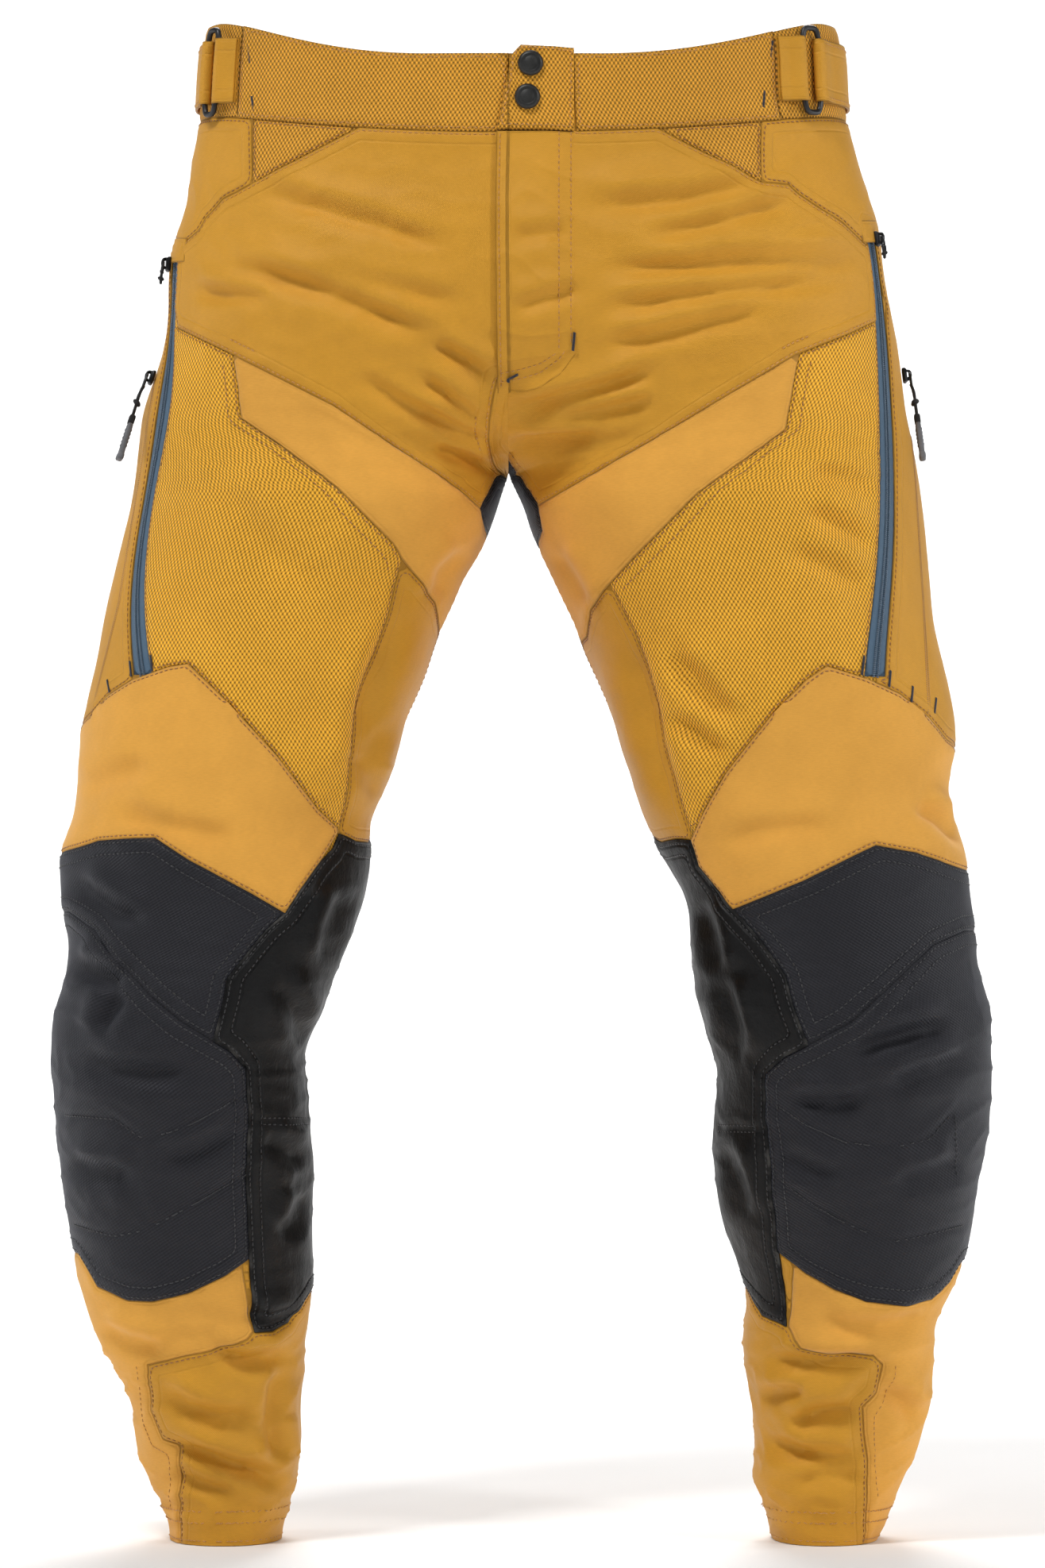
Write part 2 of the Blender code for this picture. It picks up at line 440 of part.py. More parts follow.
def outline(side, stretches):
    """A closed seam outline on the sheet, in (u * ROUND, z), sampled about every 5 mm."""
    corners = []
    for kind, points in stretches:
        pairs = zip(points, points[1:] + points[-1:])   # the last point pairs with itself
        if kind == "front":
            for a, b in pairs:
                steps = max(1, int(math.hypot(b[0] - a[0], b[1] - a[1]) / 6))
                corners += [front(side, *p) for p in between(np.array(a), np.array(b), steps)]
        elif kind in ("band", "rim"):
            level = band_z if kind == "band" else rim_z
            for a, b in pairs:
                corners += [(u, float(level(max(0, u)))) for u in between(a, b, 6 if a != b else 1)]
        else:
            corners += points
    closed = []
    for a, b in zip(corners, corners[1:] + corners[:1]):
        a, b = np.array([a[0] * ROUND, a[1]]), np.array([b[0] * ROUND, b[1]])
        closed += between(a, b, max(1, int(np.hypot(*(b - a)) / 0.005)))
    kept = [closed[0]]
    for p in closed[1:]:
        if np.hypot(*(p - kept[-1])) > 1e-4:
            kept.append(p)
    return np.array(kept)


def inside(loop, points):
    """Even-odd test of many points against one closed loop."""
    x, y = points[:, 0][:, None], points[:, 1][:, None]
    ax, ay = loop[:, 0][None], loop[:, 1][None]
    bx, by = np.roll(loop[:, 0], -1)[None], np.roll(loop[:, 1], -1)[None]
    with np.errstate(divide="ignore", invalid="ignore"):
        hit = ((ay > y) != (by > y)) & (x < (bx - ax) * (y - ay) / (by - ay) + ax)
    return hit.sum(1) % 2 == 1


def seen_runs(loop, later):
    """The stretches of a loop that lie on the sheet and under no later panel, with exact ends."""

    def shown(p):
        p = np.atleast_2d(p)
        ok = (p[:, 0] > 0) & (p[:, 0] < ROUND) & (p[:, 1] > 0)
        for other in later:
            ok &= ~inside(other, p)
        return ok

    def crossing(a, b):
        """Where the stretch a (shown) to b (covered) ends."""
        for _ in range(30):
            m = (a + b) / 2
            a, b = (m, b) if shown(m)[0] else (a, m)
        on_edge = abs(b[0]) < 1e-6 or abs(b[0] - ROUND) < 1e-6 or abs(b[1]) < 1e-6
        return b if on_edge else (a + b) / 2

    ok = shown(loop)
    count = len(loop)
    if ok.all():
        return [np.vstack([loop, loop[:1]])]
    if not ok.any():
        return []
    begin = next(i for i in range(count) if ok[i] and not ok[i - 1])
    runs, run = [], None
    for k in range(count):
        i = (begin + k) % count
        if ok[i]:
            if run is None:
                run = [crossing(loop[i], loop[i - 1])]
            run.append(loop[i])
        elif run is not None:
            run.append(crossing(loop[i - 1], loop[i]))
            runs.append(np.array(run))
            run = None
    return runs


def distances(points, a, d):
    """Distance from points to the segments that start at a and run along d."""
    t = np.clip(((points - a) * d).sum(1) / np.maximum((d * d).sum(1), 1e-15), 0, 1)
    return np.hypot(*(points - a - t[:, None] * d).T)


def joined(run, ends):
    """The run with a point wherever another seam ends on it, and those points."""
    forced = []
    for end in ends:
        far = distances(end, run[:-1], np.diff(run, axis=0))
        i = int(np.argmin(far))
        to_tips = min(np.hypot(*(end - run[0])), np.hypot(*(end - run[-1])))
        if far[i] > 6e-4 or to_tips < 4e-4:
            continue
        forced.append(tuple(end))
        to_a, to_b = np.hypot(*(end - run[i])), np.hypot(*(end - run[i + 1]))
        if to_a < 1.2e-3 and i > 0:
            run[i] = end
        elif to_b < 1.2e-3 and i + 1 < len(run) - 1:
            run[i + 1] = end
        else:
            run = np.insert(run, i + 1, end, axis=0)
    return run, forced


def thinned(run, spacing, forced):
    """The run with its corners and junctions kept and points one spacing apart between them."""
    keep = {0, len(run) - 1}
    for point in forced:
        keep.add(int(np.argmin(np.hypot(*(run - np.array(point)).T))))
    fixed = np.array([run[i] for i in keep])
    for i in range(1, len(run) - 1):
        a, b = run[i] - run[i - 1], run[i + 1] - run[i]
        bend = abs(math.atan2(a[0] * b[1] - a[1] * b[0], a @ b))
        if bend > 0.30 and np.hypot(*(fixed - run[i]).T).min() > 0.2 * spacing:
            keep.add(i)
    keep = sorted(keep)
    out = [run[0]]
    for i, j in zip(keep, keep[1:]):
        piece = run[i : j + 1]
        length = np.concatenate([[0], np.cumsum(np.hypot(*np.diff(piece, axis=0).T))])
        if length[-1] < 1e-5:
            continue
        steps = max(1, round(length[-1] / spacing))
        at = np.linspace(0, length[-1], steps + 1)[1:]
        x, z = (np.interp(at, length, piece[:, c]) for c in (0, 1))
        out += list(np.stack([x, z], 1))
    return np.array(out)


def near(points, segments, reach):
    """Which points lie closer than reach to any segment."""
    found = np.zeros(len(points), bool)
    for a, b in segments:
        d = b - a
        t = np.clip(((points - a) @ d) / max(d @ d, 1e-15), 0, 1)
        found |= np.hypot(*(points - a - t[:, None] * d).T) < reach
    return found


def panel_loops(side):
    """Panel names and outlines; the unnamed last two clear the back waistband and above the rim."""
    names = [name for name, _ in PANELS[side]] + ["", ""]
    us = SIDE_U[side]
    back_band = [("band", [us, 0.4, 0.5, 0.6, 0.8, 1.02]), ("sheet", [(1.02, 1.03), (us, 1.03)])]
    above_rim = [("rim", [-0.02, 0.04, 0.1, 0.16, 0.22, us]),
                 ("sheet", [(us, 1.03), (-0.02, 1.03)])]
    stretches = [s for _, s in PANELS[side]] + [back_band, above_rim]
    return names, [outline(side, s) for s in stretches]


def seam_runs(loops):
    """The visible seams, joined where they meet and spaced for facets."""
    runs = []
    for k, loop in enumerate(loops):
        runs += [r for r in seen_runs(loop, loops[k + 1 :]) if len(r) > 1]
    runs = [r for r in runs if np.hypot(*np.diff(r, axis=0).T).sum() > 5e-4]
    ends = [end.copy() for r in runs for end in (r[0], r[-1])]
    return [thinned(r, EDGE_STEP, forced) for r, forced in (joined(r, ends) for r in runs)]


def edge_levels(runs):
    """Moves seam ends on to the side edges of the sheet and returns the heights of all such ends."""
    ends = [end for r in runs for end in (r[0], r[-1])]   # views into the runs
    cuts = {0.0, CROTCH_Z}
    for end in ends:
        if end[0] < EDGE_REACH or end[0] > ROUND - EDGE_REACH:
            end[0] = 0.0 if end[0] < 0.1 else ROUND
            cuts.add(float(end[1]))
    levels = sorted(cuts)
    merged = [levels[0]]
    for z in levels[1:]:
        if z - merged[-1] > EDGE_REACH:
            merged.append(z)
    for end in ends:
        if end[0] in (0.0, ROUND):
            end[1] = min(merged, key=lambda z: abs(z - end[1]))
    return merged


def border_runs(runs, levels):
    """The side edges, with the same heights on both so that they can be sewn, and the hem."""
    heights = []
    for a, b in zip(levels, levels[1:]):
        heights += between(a, b, max(1, round((b - a) / EDGE_STEP)))
    heights.append(levels[-1])
    borders = []
    for x, top in ((0.0, float(rim_z(0.0))), (ROUND, float(band_z(1.0)))):
        borders.append(np.array([[x, z] for z in heights if z <= top + 1e-6]))
    seam_feet = {float(e[0]) for r in runs + borders for e in (r[0], r[-1]) if abs(e[1]) < 1e-6}
    feet = sorted({0.0, ROUND} | seam_feet)
    hem = []
    for a, b in zip(feet, feet[1:]):
        hem += [[x, 0.0] for x in between(a, b, max(1, round((b - a) / CELL)))]
    hem.append([ROUND, 0.0])
    return borders + [np.array(hem)]


def lattice_points(runs):
    """A triangular lattice over the sheet, clear of the seams and edges."""
    rows, columns = int(1.0 / (CELL * 0.87)), int(ROUND / CELL) + 1
    lattice = np.array([[(i + 0.5 * (j % 2)) * CELL, (j + 0.5) * CELL * 0.87]
                        for j in range(rows) for i in range(columns)])
    lattice = lattice[(lattice[:, 0] > 0.3 * CELL) & (lattice[:, 0] < ROUND - 0.3 * CELL)]
    segments = [(a, b) for r in runs for a, b in zip(r, r[1:])]
    return lattice[~near(lattice, segments, 0.55 * CELL)]


def cut_sheet(side):
    """Cuts one half's sheet along its seams: returns points, triangles and their panels."""
    names, loops = panel_loops(side)
    runs = seam_runs(loops)
    levels = edge_levels(runs)
    runs += border_runs(runs, levels)
    verts, edges = [], []
    for r in runs:
        first = len(verts)
        verts += [tuple(p) for p in r]
        edges += [(first + i, first + i + 1) for i in range(len(r) - 1)]
    verts += [tuple(p) for p in lattice_points(runs)]
    out = delaunay_2d_cdt([Vector(v) for v in verts], edges, [], 0, MERGE, False)
    points = np.array([tuple(v) for v in out[0]])
    faces = np.array([f for f in out[2] if len(f) == 3])
    middle = points[faces].mean(1)
    label = np.full(len(faces), len(names))
    for k, loop in enumerate(loops):
        label[inside(loop, middle)] = k
    panel = np.array(names + [BASE_PANEL[side]])[label]
    on_sheet = (middle[:, 0] > 0) & (middle[:, 0] < ROUND) & (middle[:, 1] > 0)
    a, b, c = (points[faces[:, k]] for k in range(3))
    kept = on_sheet & (np.abs(np.cross(b - a, c - a)) > 1e-9)
    return points, faces[kept], panel[kept]


def edge_owners(faces):
    """The triangles on each edge."""
    owners = {}
    for i, f in enumerate(faces):
        for a, b in zip(f, np.roll(f, -1)):
            owners.setdefault((min(a, b), max(a, b)), []).append(i)
    return owners


def patches(faces):
    """Edge-connected patches of a set of triangles: one number per triangle."""
    owners = edge_owners(faces)
    group = np.arange(len(faces))
    changed = True
    while changed:
        changed = False
        for members in owners.values():
            low = group[members].min()
            if (group[members] != low).any():
                group[members] = low
                changed = True
    return group


def gather(faces, panel):
    """Gives stray scraps to the panel they border most, so that each panel is one patch."""
    owners = edge_owners(faces)
    for _ in range(3):
        for name in sorted(set(panel) - {""}):
            mine = np.flatnonzero(panel == name)
            group = patches(faces[mine])
            ids, count = np.unique(group, return_counts=True)
            for g in ids:
                if g == ids[np.argmax(count)]:
                    continue
                scrap = set(mine[group == g].tolist())
                votes = {}
                for members in owners.values():
                    if len(members) == 2 and (members[0] in scrap) != (members[1] in scrap):
                        other = members[1] if members[0] in scrap else members[0]
                        votes[panel[other]] = votes.get(panel[other], 0) + 1
                if votes:
                    panel[sorted(scrap)] = max(sorted(votes), key=votes.get)
    return panel


# ---------------------------------------------------------------- scene helpers
garment = bpy.data.collections.new("riding_pants")
helpers = bpy.data.collections.new("cutters")
for collection in (garment, helpers):
    bpy.context.scene.collection.children.link(collection)

# base colour, roughness, metallic
FINISHES = {
    "twill": ((0.62, 0.36, 0.075), 0.82, 0.0),
    "smooth_twill": ((0.70, 0.41, 0.11), 0.78, 0.0),
    "mesh": ((0.60, 0.36, 0.05), 0.85, 0.0),
    "ballistic": ((0.020, 0.020, 0.024), 0.72, 0.0),
    "leather": ((0.018, 0.018, 0.018), 0.45, 0.0),
    "zip_tape": ((0.07, 0.14, 0.22), 0.6, 0.0),
    "black_metal": ((0.012, 0.012, 0.013), 0.35, 0.6),
    "cord": ((0.015, 0.015, 0.016), 0.8, 0.0),
    "rubber": ((0.10, 0.10, 0.105), 0.7, 0.0),
}


def finish(name):
    material = bpy.data.materials.get(name)
    if material is None:
        colour, roughness, metallic = FINISHES[name]
        material = bpy.data.materials.new(name)
        material.use_nodes = True
        bsdf = material.node_tree.nodes["Principled BSDF"]
        bsdf.inputs["Base Color"].default_value = (*colour, 1)
        bsdf.inputs["Roughness"].default_value = roughness
        bsdf.inputs["Metallic"].default_value = metallic
        material.diffuse_color = (*colour, 1)
    return material


def attach(obj, parent):
    """Parents obj and keeps it in place."""
    obj.parent = parent
    obj.matrix_parent_inverse = parent.matrix_world.inverted()


def add(name, data, material, parent=None):
    obj = bpy.data.objects.new(name, data)
    garment.objects.link(obj)
    data.materials.append(finish(material))
    if parent is not None:
        attach(obj, parent)
    return obj


def add_bmesh(name, bm, material, sharp_angle, parent=None):
    mesh = bpy.data.meshes.new(name)
    bm.to_mesh(mesh)
    bm.free()
    mesh.shade_smooth()
    mesh.set_sharp_from_angle(angle=sharp_angle)
    return add(name, mesh, material, parent)


def axis_empty(name, at, direction, parent=None):
    """An empty on a joint's axis, for the pieces that turn about or slide along the direction."""
    empty = bpy.data.objects.new(name, None)
    empty.location = at
    empty["direction"] = [float(d) for d in Vector(direction).normalized()]
    empty.empty_display_size = 0.02
    garment.objects.link(empty)
    if parent is not None:
        attach(empty, parent)
    bpy.context.view_layer.update()
    return empty


def shell(name, points, faces, thickness, material, normals, shrink, parent=None):
    """A fabric panel: its face is drawn in by shrink along its edges and lofted inwards by its
    thickness along the given unit normals."""
    directed = {(a, b) for f in faces for a, b in zip(f, np.roll(f, -1))}
    rim = [(a, b) for a, b in directed if (b, a) not in directed]
    push = {}
    for a, b in rim:
        d = points[b] - points[a]
        for v in (a, b):
            inward = np.cross(normals[v], d)
            push.setdefault(v, []).append(inward / max(np.linalg.norm(inward), 1e-12))
    moved = points.copy()
    for v, directions in push.items():
        total = np.sum(directions, 0)
        if len(directions) > 1:
            total = total / max(0.35, 1 + float(directions[0] @ directions[1]))
        moved[v] += total * shrink
    bm = bmesh.new()
    used = np.unique(faces)
    outer = {v: bm.verts.new(moved[v]) for v in used}
    inner = {v: bm.verts.new(moved[v] - normals[v] * thickness) for v in used}
    for f in faces:
        bm.faces.new([outer[v] for v in f])
        bm.faces.new([inner[v] for v in f[::-1]])
    for a, b in rim:
        bm.faces.new([outer[b], outer[a], inner[a], inner[b]])
    return add_bmesh(name, bm, material, 0.9, parent)


def spot(side, u, z, out=0.0):
    """A point that stands out from the envelope."""
    return envelope(side, u, z) + normal(side, u, z) * out


def drawn(x_mm, z_mm):
    """(side, u, z) of a front elevation point."""
    side = "R" if x_mm < HALVES_SPLIT_MM else "L"
    return (side, *front(side, x_mm, z_mm))


def laid(name, place, columns, rows, out, thickness, material, parent=None):
    """A strip on the envelope: place(s, t) gives (side, u, z); its outer face stands out by out."""
    places = [place(i / columns, j / rows) for j in range(rows + 1) for i in range(columns + 1)]
    points = np.array([spot(*p, out) for p in places])
    normals = np.array([normal(*p) for p in places])
    faces = []
    for j in range(rows):
        for i in range(columns):
            a = j * (columns + 1) + i
            faces += [(a, a + 1, a + columns + 2), (a, a + columns + 2, a + columns + 1)]
    faces = np.array(faces)
    a, b, c = faces[len(faces) // 2]
    if np.cross(points[b] - points[a], points[c] - points[a]) @ normals[a] < 0:
        faces = faces[:, ::-1]
    return shell(name, points, faces, thickness, material, normals, 0.0, parent)


def frame_at(origin, out_direction, up_direction):
    """Local frame: X across, Y out of the fabric, Z up along the fabric."""
    y = Vector(out_direction).normalized()
    z = (Vector(up_direction) - Vector(up_direction).dot(y) * y).normalized()
    x = y.cross(z)
    frame = Matrix((x, y, z)).transposed().to_4x4()
    frame.translation = Vector(origin)
    return frame


def block(name, frame, size, at, bevel, material, parent=None):
    """A box in the local frame with its edges bevelled."""
    bm = bmesh.new()
    bmesh.ops.create_cube(bm, size=1.0)
    bmesh.ops.scale(bm, vec=size, verts=bm.verts)
    bmesh.ops.translate(bm, vec=at, verts=bm.verts)
    bmesh.ops.bevel(bm, geom=bm.edges[:], offset=bevel, segments=1, affect="EDGES", profile=0.5)
    bm.transform(frame)
    bmesh.ops.recalc_face_normals(bm, faces=bm.faces)
    return add_bmesh(name, bm, material, 0.6, parent)


def union(base, extra):
    """Joins the helper solid extra into base."""
    garment.objects.unlink(extra)
    helpers.objects.link(extra)
    extra.hide_render = True
    extra.display_type = "WIRE"
    join = base.modifiers.new("join", "BOOLEAN")
    join.operation, join.object, join.solver = "UNION", extra, "EXACT"


def turned(name, profile, frame, material, parent=None):
    """A round piece from a half profile (radius, height), turned about the frame's Y."""
    bm = bmesh.new()
    verts = [bm.verts.new((radius, 0, height)) for radius, height in profile]
    for a, b in zip(verts, verts[1:]):
        bm.edges.new((a, b))
    mesh = bpy.data.meshes.new(name)
    bm.to_mesh(mesh)
    bm.free()
    obj = add(name, mesh, material)
    # the profile's axis is its local Z; the garment frame keeps Y outwards
    obj.matrix_world = frame @ Matrix.Rotation(-math.pi / 2, 4, "X")
    screw = obj.modifiers.new("turn", "SCREW")
    screw.axis, screw.angle = "Z", 2 * math.pi
    screw.steps = screw.render_steps = 20
    screw.use_merge_vertices, screw.merge_threshold = True, 1e-5
    screw.use_smooth_shade = False
    if parent is not None:
        attach(obj, parent)
    return obj


# ---------------------------------------------------------------- fabric panels


def by_prefix(table, name, default):
    return next((value for prefix, value in table.items() if name.startswith(prefix)), default)


def build_panels(side):
    """All fabric panels of one half, by name."""
    points, faces, panel = cut_sheet(side)
    xyz = envelope(side, points[:, 0] / ROUND, points[:, 1])
    # below the crotch the two edges of the sheet are one line, the inseam
    same = np.arange(len(points))
    first_edge = {round(p[1], 6): i for i, p in enumerate(points) if p[0] < 1e-7}
    for i, p in enumerate(points):
        if p[0] > ROUND - 1e-7 and p[1] <= CROTCH_Z + 1e-7:
            same[i] = first_edge[round(p[1], 6)]
    faces = same[faces]
    if side == "R":
        faces = faces[:, ::-1]
    corners = xyz[faces]
    facing = np.cross(corners[:, 1] - corners[:, 0], corners[:, 2] - corners[:, 0])
    normals = np.zeros_like(xyz)
    for k in range(3):
        np.add.at(normals, faces[:, k], facing)
    normals = unit(normals, 1e-15)
    panel = gather(faces, panel)
    built = {}
    for name in sorted(set(panel) - {""}):
        sunk = FLY_ZIPPER_SUNK if name == "fly_zipper" else 0.0
        built[name] = shell(
            name, xyz - normals * sunk, faces[panel == name],
            by_prefix(THICKNESS_OF, name, FABRIC), by_prefix(MATERIAL_OF, name, "twill"),
            normals, by_prefix(SEAM_HALF_GAP_OF, name, SEAM_HALF_GAP))
    return built


def level_hems(panels):
    """The hems are cut level, so that the garment can stand on them."""
    for obj in panels.values():
        for v in obj.data.vertices:
            if v.co.z < HEM_SNAP_Z:
                v.co.z = 0.0


# ---------------------------------------------------------------- back waistband
BACK_BAND_SIDE_GAP_U = 0.0022
BACK_BAND_LOWER_GAP = 0.0009
BACK_BAND_TOP_Z = 0.9925


def back_band_place(s, t):
    """Runs from the right side round the back to the left side, s = 0.5 at the centre back."""
    if s < 0.5:
        start = SIDE_U["R"] + BACK_BAND_SIDE_GAP_U
        side, u = "R", start + (1 - SIDE_U["R"] - BACK_BAND_SIDE_GAP_U) * (s / 0.5)
    else:
        side, u = "L", 1 - (1 - SIDE_U["L"] - BACK_BAND_SIDE_GAP_U) * ((s - 0.5) / 0.5)
    low = float(band_z(u)) + BACK_BAND_LOWER_GAP
    return side, u, low + (float(rim_z(u)) - low) * t


def build_back_band():
    """One piece from side to side, its top edge level so that the garment can hang from it."""
    band = laid("waistband_back", back_band_place, columns=40, rows=2, out=0.0,
                thickness=BAND_THICKNESS, material="mesh")
    for v in band.data.vertices:
        if v.co.y > 0.04 and v.co.z > 0.985:
            v.co.z = BACK_BAND_TOP_Z


# ---------------------------------------------------------------- waist tab, fly placket, snaps
# front elevation, mm
FLAP_X = 33.6                      # hinge seam of the overlapping front edge
HINGE_TOP_Z, HINGE_FOOT_Z = 982.7, 788.2
# free edge of the waist tab from the top down: x, z
TAB_EDGE = np.array([(-1.6, 989.5), (-8.4, 982.2), (-11, 964.3), (-14.2, 948.5), (-17.3, 933.8)])
TAB_HINGE_TOP_Z, TAB_HINGE_FOOT_Z = 987.4, 933
PLACKET_TOP_Z = 931.2
PLACKET_EDGE_X = [-16.8, -17.9, -16.8, -16.3]   # free edge, even steps from the top down
PLACKET_FOOT_S = [0, 0.3, 0.55, 0.8, 1.0]       # lower edge: share of the width, height
PLACKET_FOOT_Z = [761.4, 763.6, 768.8, 776.7, 784.6]
SNAPS = {"upper": (5.3, 976.9), "lower": (3.2, 954.8)}
# half profiles in metres: radius, height
SNAP_R = 0.0083
SNAP_CAP = [(0, 0.0034), (SNAP_R * 0.55, 0.0034), (SNAP_R * 0.9, 0.0027), (SNAP_R, 0.0016),
            (SNAP_R, 0.0), (0, 0.0)]
SNAP_STUD = [(0, 0.0020), (0.0040, 0.0020), (0.0045, 0.0), (0, 0.0)]


def along(stations, t):
    """The value at share t of evenly spaced stations."""
    k = t * (len(stations) - 1)
    i = min(int(k), len(stations) - 2)
    return stations[i] + (stations[i + 1] - stations[i]) * (k - i)


def tab_place(s, t):
    edge_x, edge_z = along(TAB_EDGE, t)
    hinge_t = t if t > 0.25 else t * 0.8
    hinge_z = TAB_HINGE_TOP_Z + (TAB_HINGE_FOOT_Z - TAB_HINGE_TOP_Z) * hinge_t
    return drawn(edge_x + (FLAP_X - edge_x) * s, edge_z + (hinge_z - edge_z) * s)


def placket_place(s, t):
    edge_x = along(PLACKET_EDGE_X, t)
    foot = np.interp(s, PLACKET_FOOT_S, PLACKET_FOOT_Z)
    return drawn(edge_x + (FLAP_X - edge_x) * s, PLACKET_TOP_Z + (foot - PLACKET_TOP_Z) * t)


def build_flap(underlap):
    """The tab and placket hinge on the left front; studs on the underlap meet their snap caps."""
    hinge_top = spot(*drawn(FLAP_X, HINGE_TOP_Z), 0.0022)
    hinge_foot = spot(*drawn(FLAP_X, HINGE_FOOT_Z), 0.0022)
    flap = axis_empty("fly_flap_axis", hinge_top, hinge_top - hinge_foot)
    laid("waist_tab", tab_place, columns=8, rows=4, out=0.0034, thickness=0.0022,
         material="mesh", parent=flap)
    laid("fly_placket", placket_place, columns=6, rows=8, out=0.0030, thickness=0.0018,
         material="twill", parent=flap)
    for which, centre in SNAPS.items():
        place = drawn(*centre)
        out = normal(*place)
        cap_frame = frame_at(spot(*place, 0.0040), out, (0, 0, 1))
        stud_frame = frame_at(spot(*place, -0.0012), out, (0, 0, 1))
        turned("snap_cap_" + which, SNAP_CAP, cap_frame, "black_metal", flap)
        stud = turned("snap_stud_tool_" + which, SNAP_STUD, stud_frame, "black_metal")
        union(underlap, stud)


# ---------------------------------------------------------------- fly slider
FLY_ZIP_X, FLY_ZIP_TOP_Z, FLY_ZIP_FOOT_Z = -1.6, 914.4, 790.4   # front elevation, mm


def build_fly_slider():
    """The recess behind the placket is an arc, so the slider swings about the arc's centre."""
    path = np.array([spot(*drawn(FLY_ZIP_X, z), -0.0025)
                     for z in np.linspace(FLY_ZIP_TOP_Z, FLY_ZIP_FOOT_Z, 26)])
    # least squares circle through the path in the YZ plane
    unknowns = np.column_stack([2 * path[:, 1:], np.ones(len(path))])
    (centre_y, centre_z, c), *_ = np.linalg.lstsq(unknowns, (path[:, 1:] ** 2).sum(1), rcond=None)
    radius = math.sqrt(c + centre_y * centre_y + centre_z * centre_z)
    centre = Vector((path[0][0], centre_y, centre_z))
    out = (Vector(path[0]) - centre).normalized()
    axis = axis_empty("fly_slider_axis", centre, (1, 0, 0))
    frame = frame_at(centre + radius * out, out, (0, 0, 1))
    body = block("fly_slider", frame, size=(0.0065, 0.0018, 0.0100), at=(0, 0, 0),
                 bevel=0.0005, material="black_metal", parent=axis)
    pull = block("fly_pull_tool", frame, size=(0.0045, 0.0010, 0.0150),
                 at=(0, 0.0002, -0.0105), bevel=0.0003, material="black_metal")
    union(body, pull)


# ---------------------------------------------------------------- side adjusters
RING_U = {"R": 0.375, "L": 0.327}
RING_Z = 0.9655
RING_HALF_U = 0.0195               # half width of the ring in u
RING_HALF_HEIGHT = 0.0275
RING_WIRE_R = 0.0018
RING_OUT = 0.0052
RING_POINTS = 24
STRAP_CLEAR_U = 0.008              # from a bar of the ring to the end of a strap
ANCHOR_START_U = 0.004             # from the front waistband's side edge
ANCHOR_HALF_HEIGHT = 0.0205
STRAP_HALF_HEIGHT = 0.0195
STRAP_LENGTH_U = 0.175


def build_ring(name, frame, half_width, parent):
    """An oval wire ring in the local XZ plane."""
    curve = bpy.data.curves.new(name, "CURVE")
    curve.dimensions, curve.use_fill_caps = "3D", True
    curve.bevel_depth, curve.bevel_resolution = RING_WIRE_R, 1
    spline = curve.splines.new("POLY")
    spline.points.add(RING_POINTS - 1)
    for i in range(RING_POINTS):
        angle = 2 * math.pi * i / RING_POINTS
        across, up = math.cos(angle), math.sin(angle)
        x = half_width * math.copysign(abs(across) ** 0.45, across)
        z = RING_HALF_HEIGHT * math.copysign(abs(up) ** 0.6, up)
        spline.points[i].co = (x, 0, z, 1)
    spline.use_cyclic_u = True
    ring = add(name, curve, "black_metal")
    ring.matrix_world = frame
    attach(ring, parent)


def build_adjuster(side):
    """An anchor strap leads to the ring's front bar and the adjuster strap from its rear bar."""
    word, ring_u = WORD[side], RING_U[side]

    def strap_place(start_u, length_u, half_height):
        low = RING_Z - half_height
        return lambda s, t: (side, start_u + length_u * s, low + 2 * half_height * t)

    anchor_start = SIDE_U[side] + ANCHOR_START_U
    anchor_length = ring_u - RING_HALF_U - STRAP_CLEAR_U - anchor_start
    laid("anchor_strap_" + word, strap_place(anchor_start, anchor_length, ANCHOR_HALF_HEIGHT),
         columns=4, rows=3, out=0.0028, thickness=0.0022, material="twill")

    frame = frame_at(spot(side, ring_u, RING_Z, RING_OUT), normal(side, ring_u, RING_Z), (0, 0, 1))
    bar_direction = frame.to_3x3() @ Vector((0, 0, 1))
    front_bar = spot(side, ring_u - RING_HALF_U, RING_Z, RING_OUT)
    rear_bar = spot(side, ring_u + RING_HALF_U, RING_Z, RING_OUT)
    front_axis = axis_empty("adjuster_ring_%s_axis" % word, front_bar, bar_direction)
    half_width = float(np.linalg.norm(rear_bar - front_bar)) / 2
    build_ring("adjuster_ring_" + word, frame, half_width, front_axis)

    rear_axis = axis_empty("adjuster_strap_%s_axis" % word, rear_bar, bar_direction, front_axis)
    strap_start = ring_u + RING_HALF_U + STRAP_CLEAR_U
    laid("adjuster_strap_" + word, strap_place(strap_start, STRAP_LENGTH_U, STRAP_HALF_HEIGHT),
         columns=8, rows=2, out=0.0036, thickness=0.0024, material="twill", parent=rear_axis)


# ---------------------------------------------------------------- vent and pocket zips
# kind, side, top and foot of the slider's straight run (front elevation, mm)
ZIPS = [
    ("vent", "R", (-231.7, 844), (-243.3, 698.9)),
    ("vent", "L", (232.3, 860.8), (242.3, 704.2)),
    ("pocket", "R", (-242.8, 768.3), (-262.8, 622.2)),
    ("pocket", "L", (252.8, 770.4), (263.8, 624.3)),
]
ZIP_OUT = 0.0023


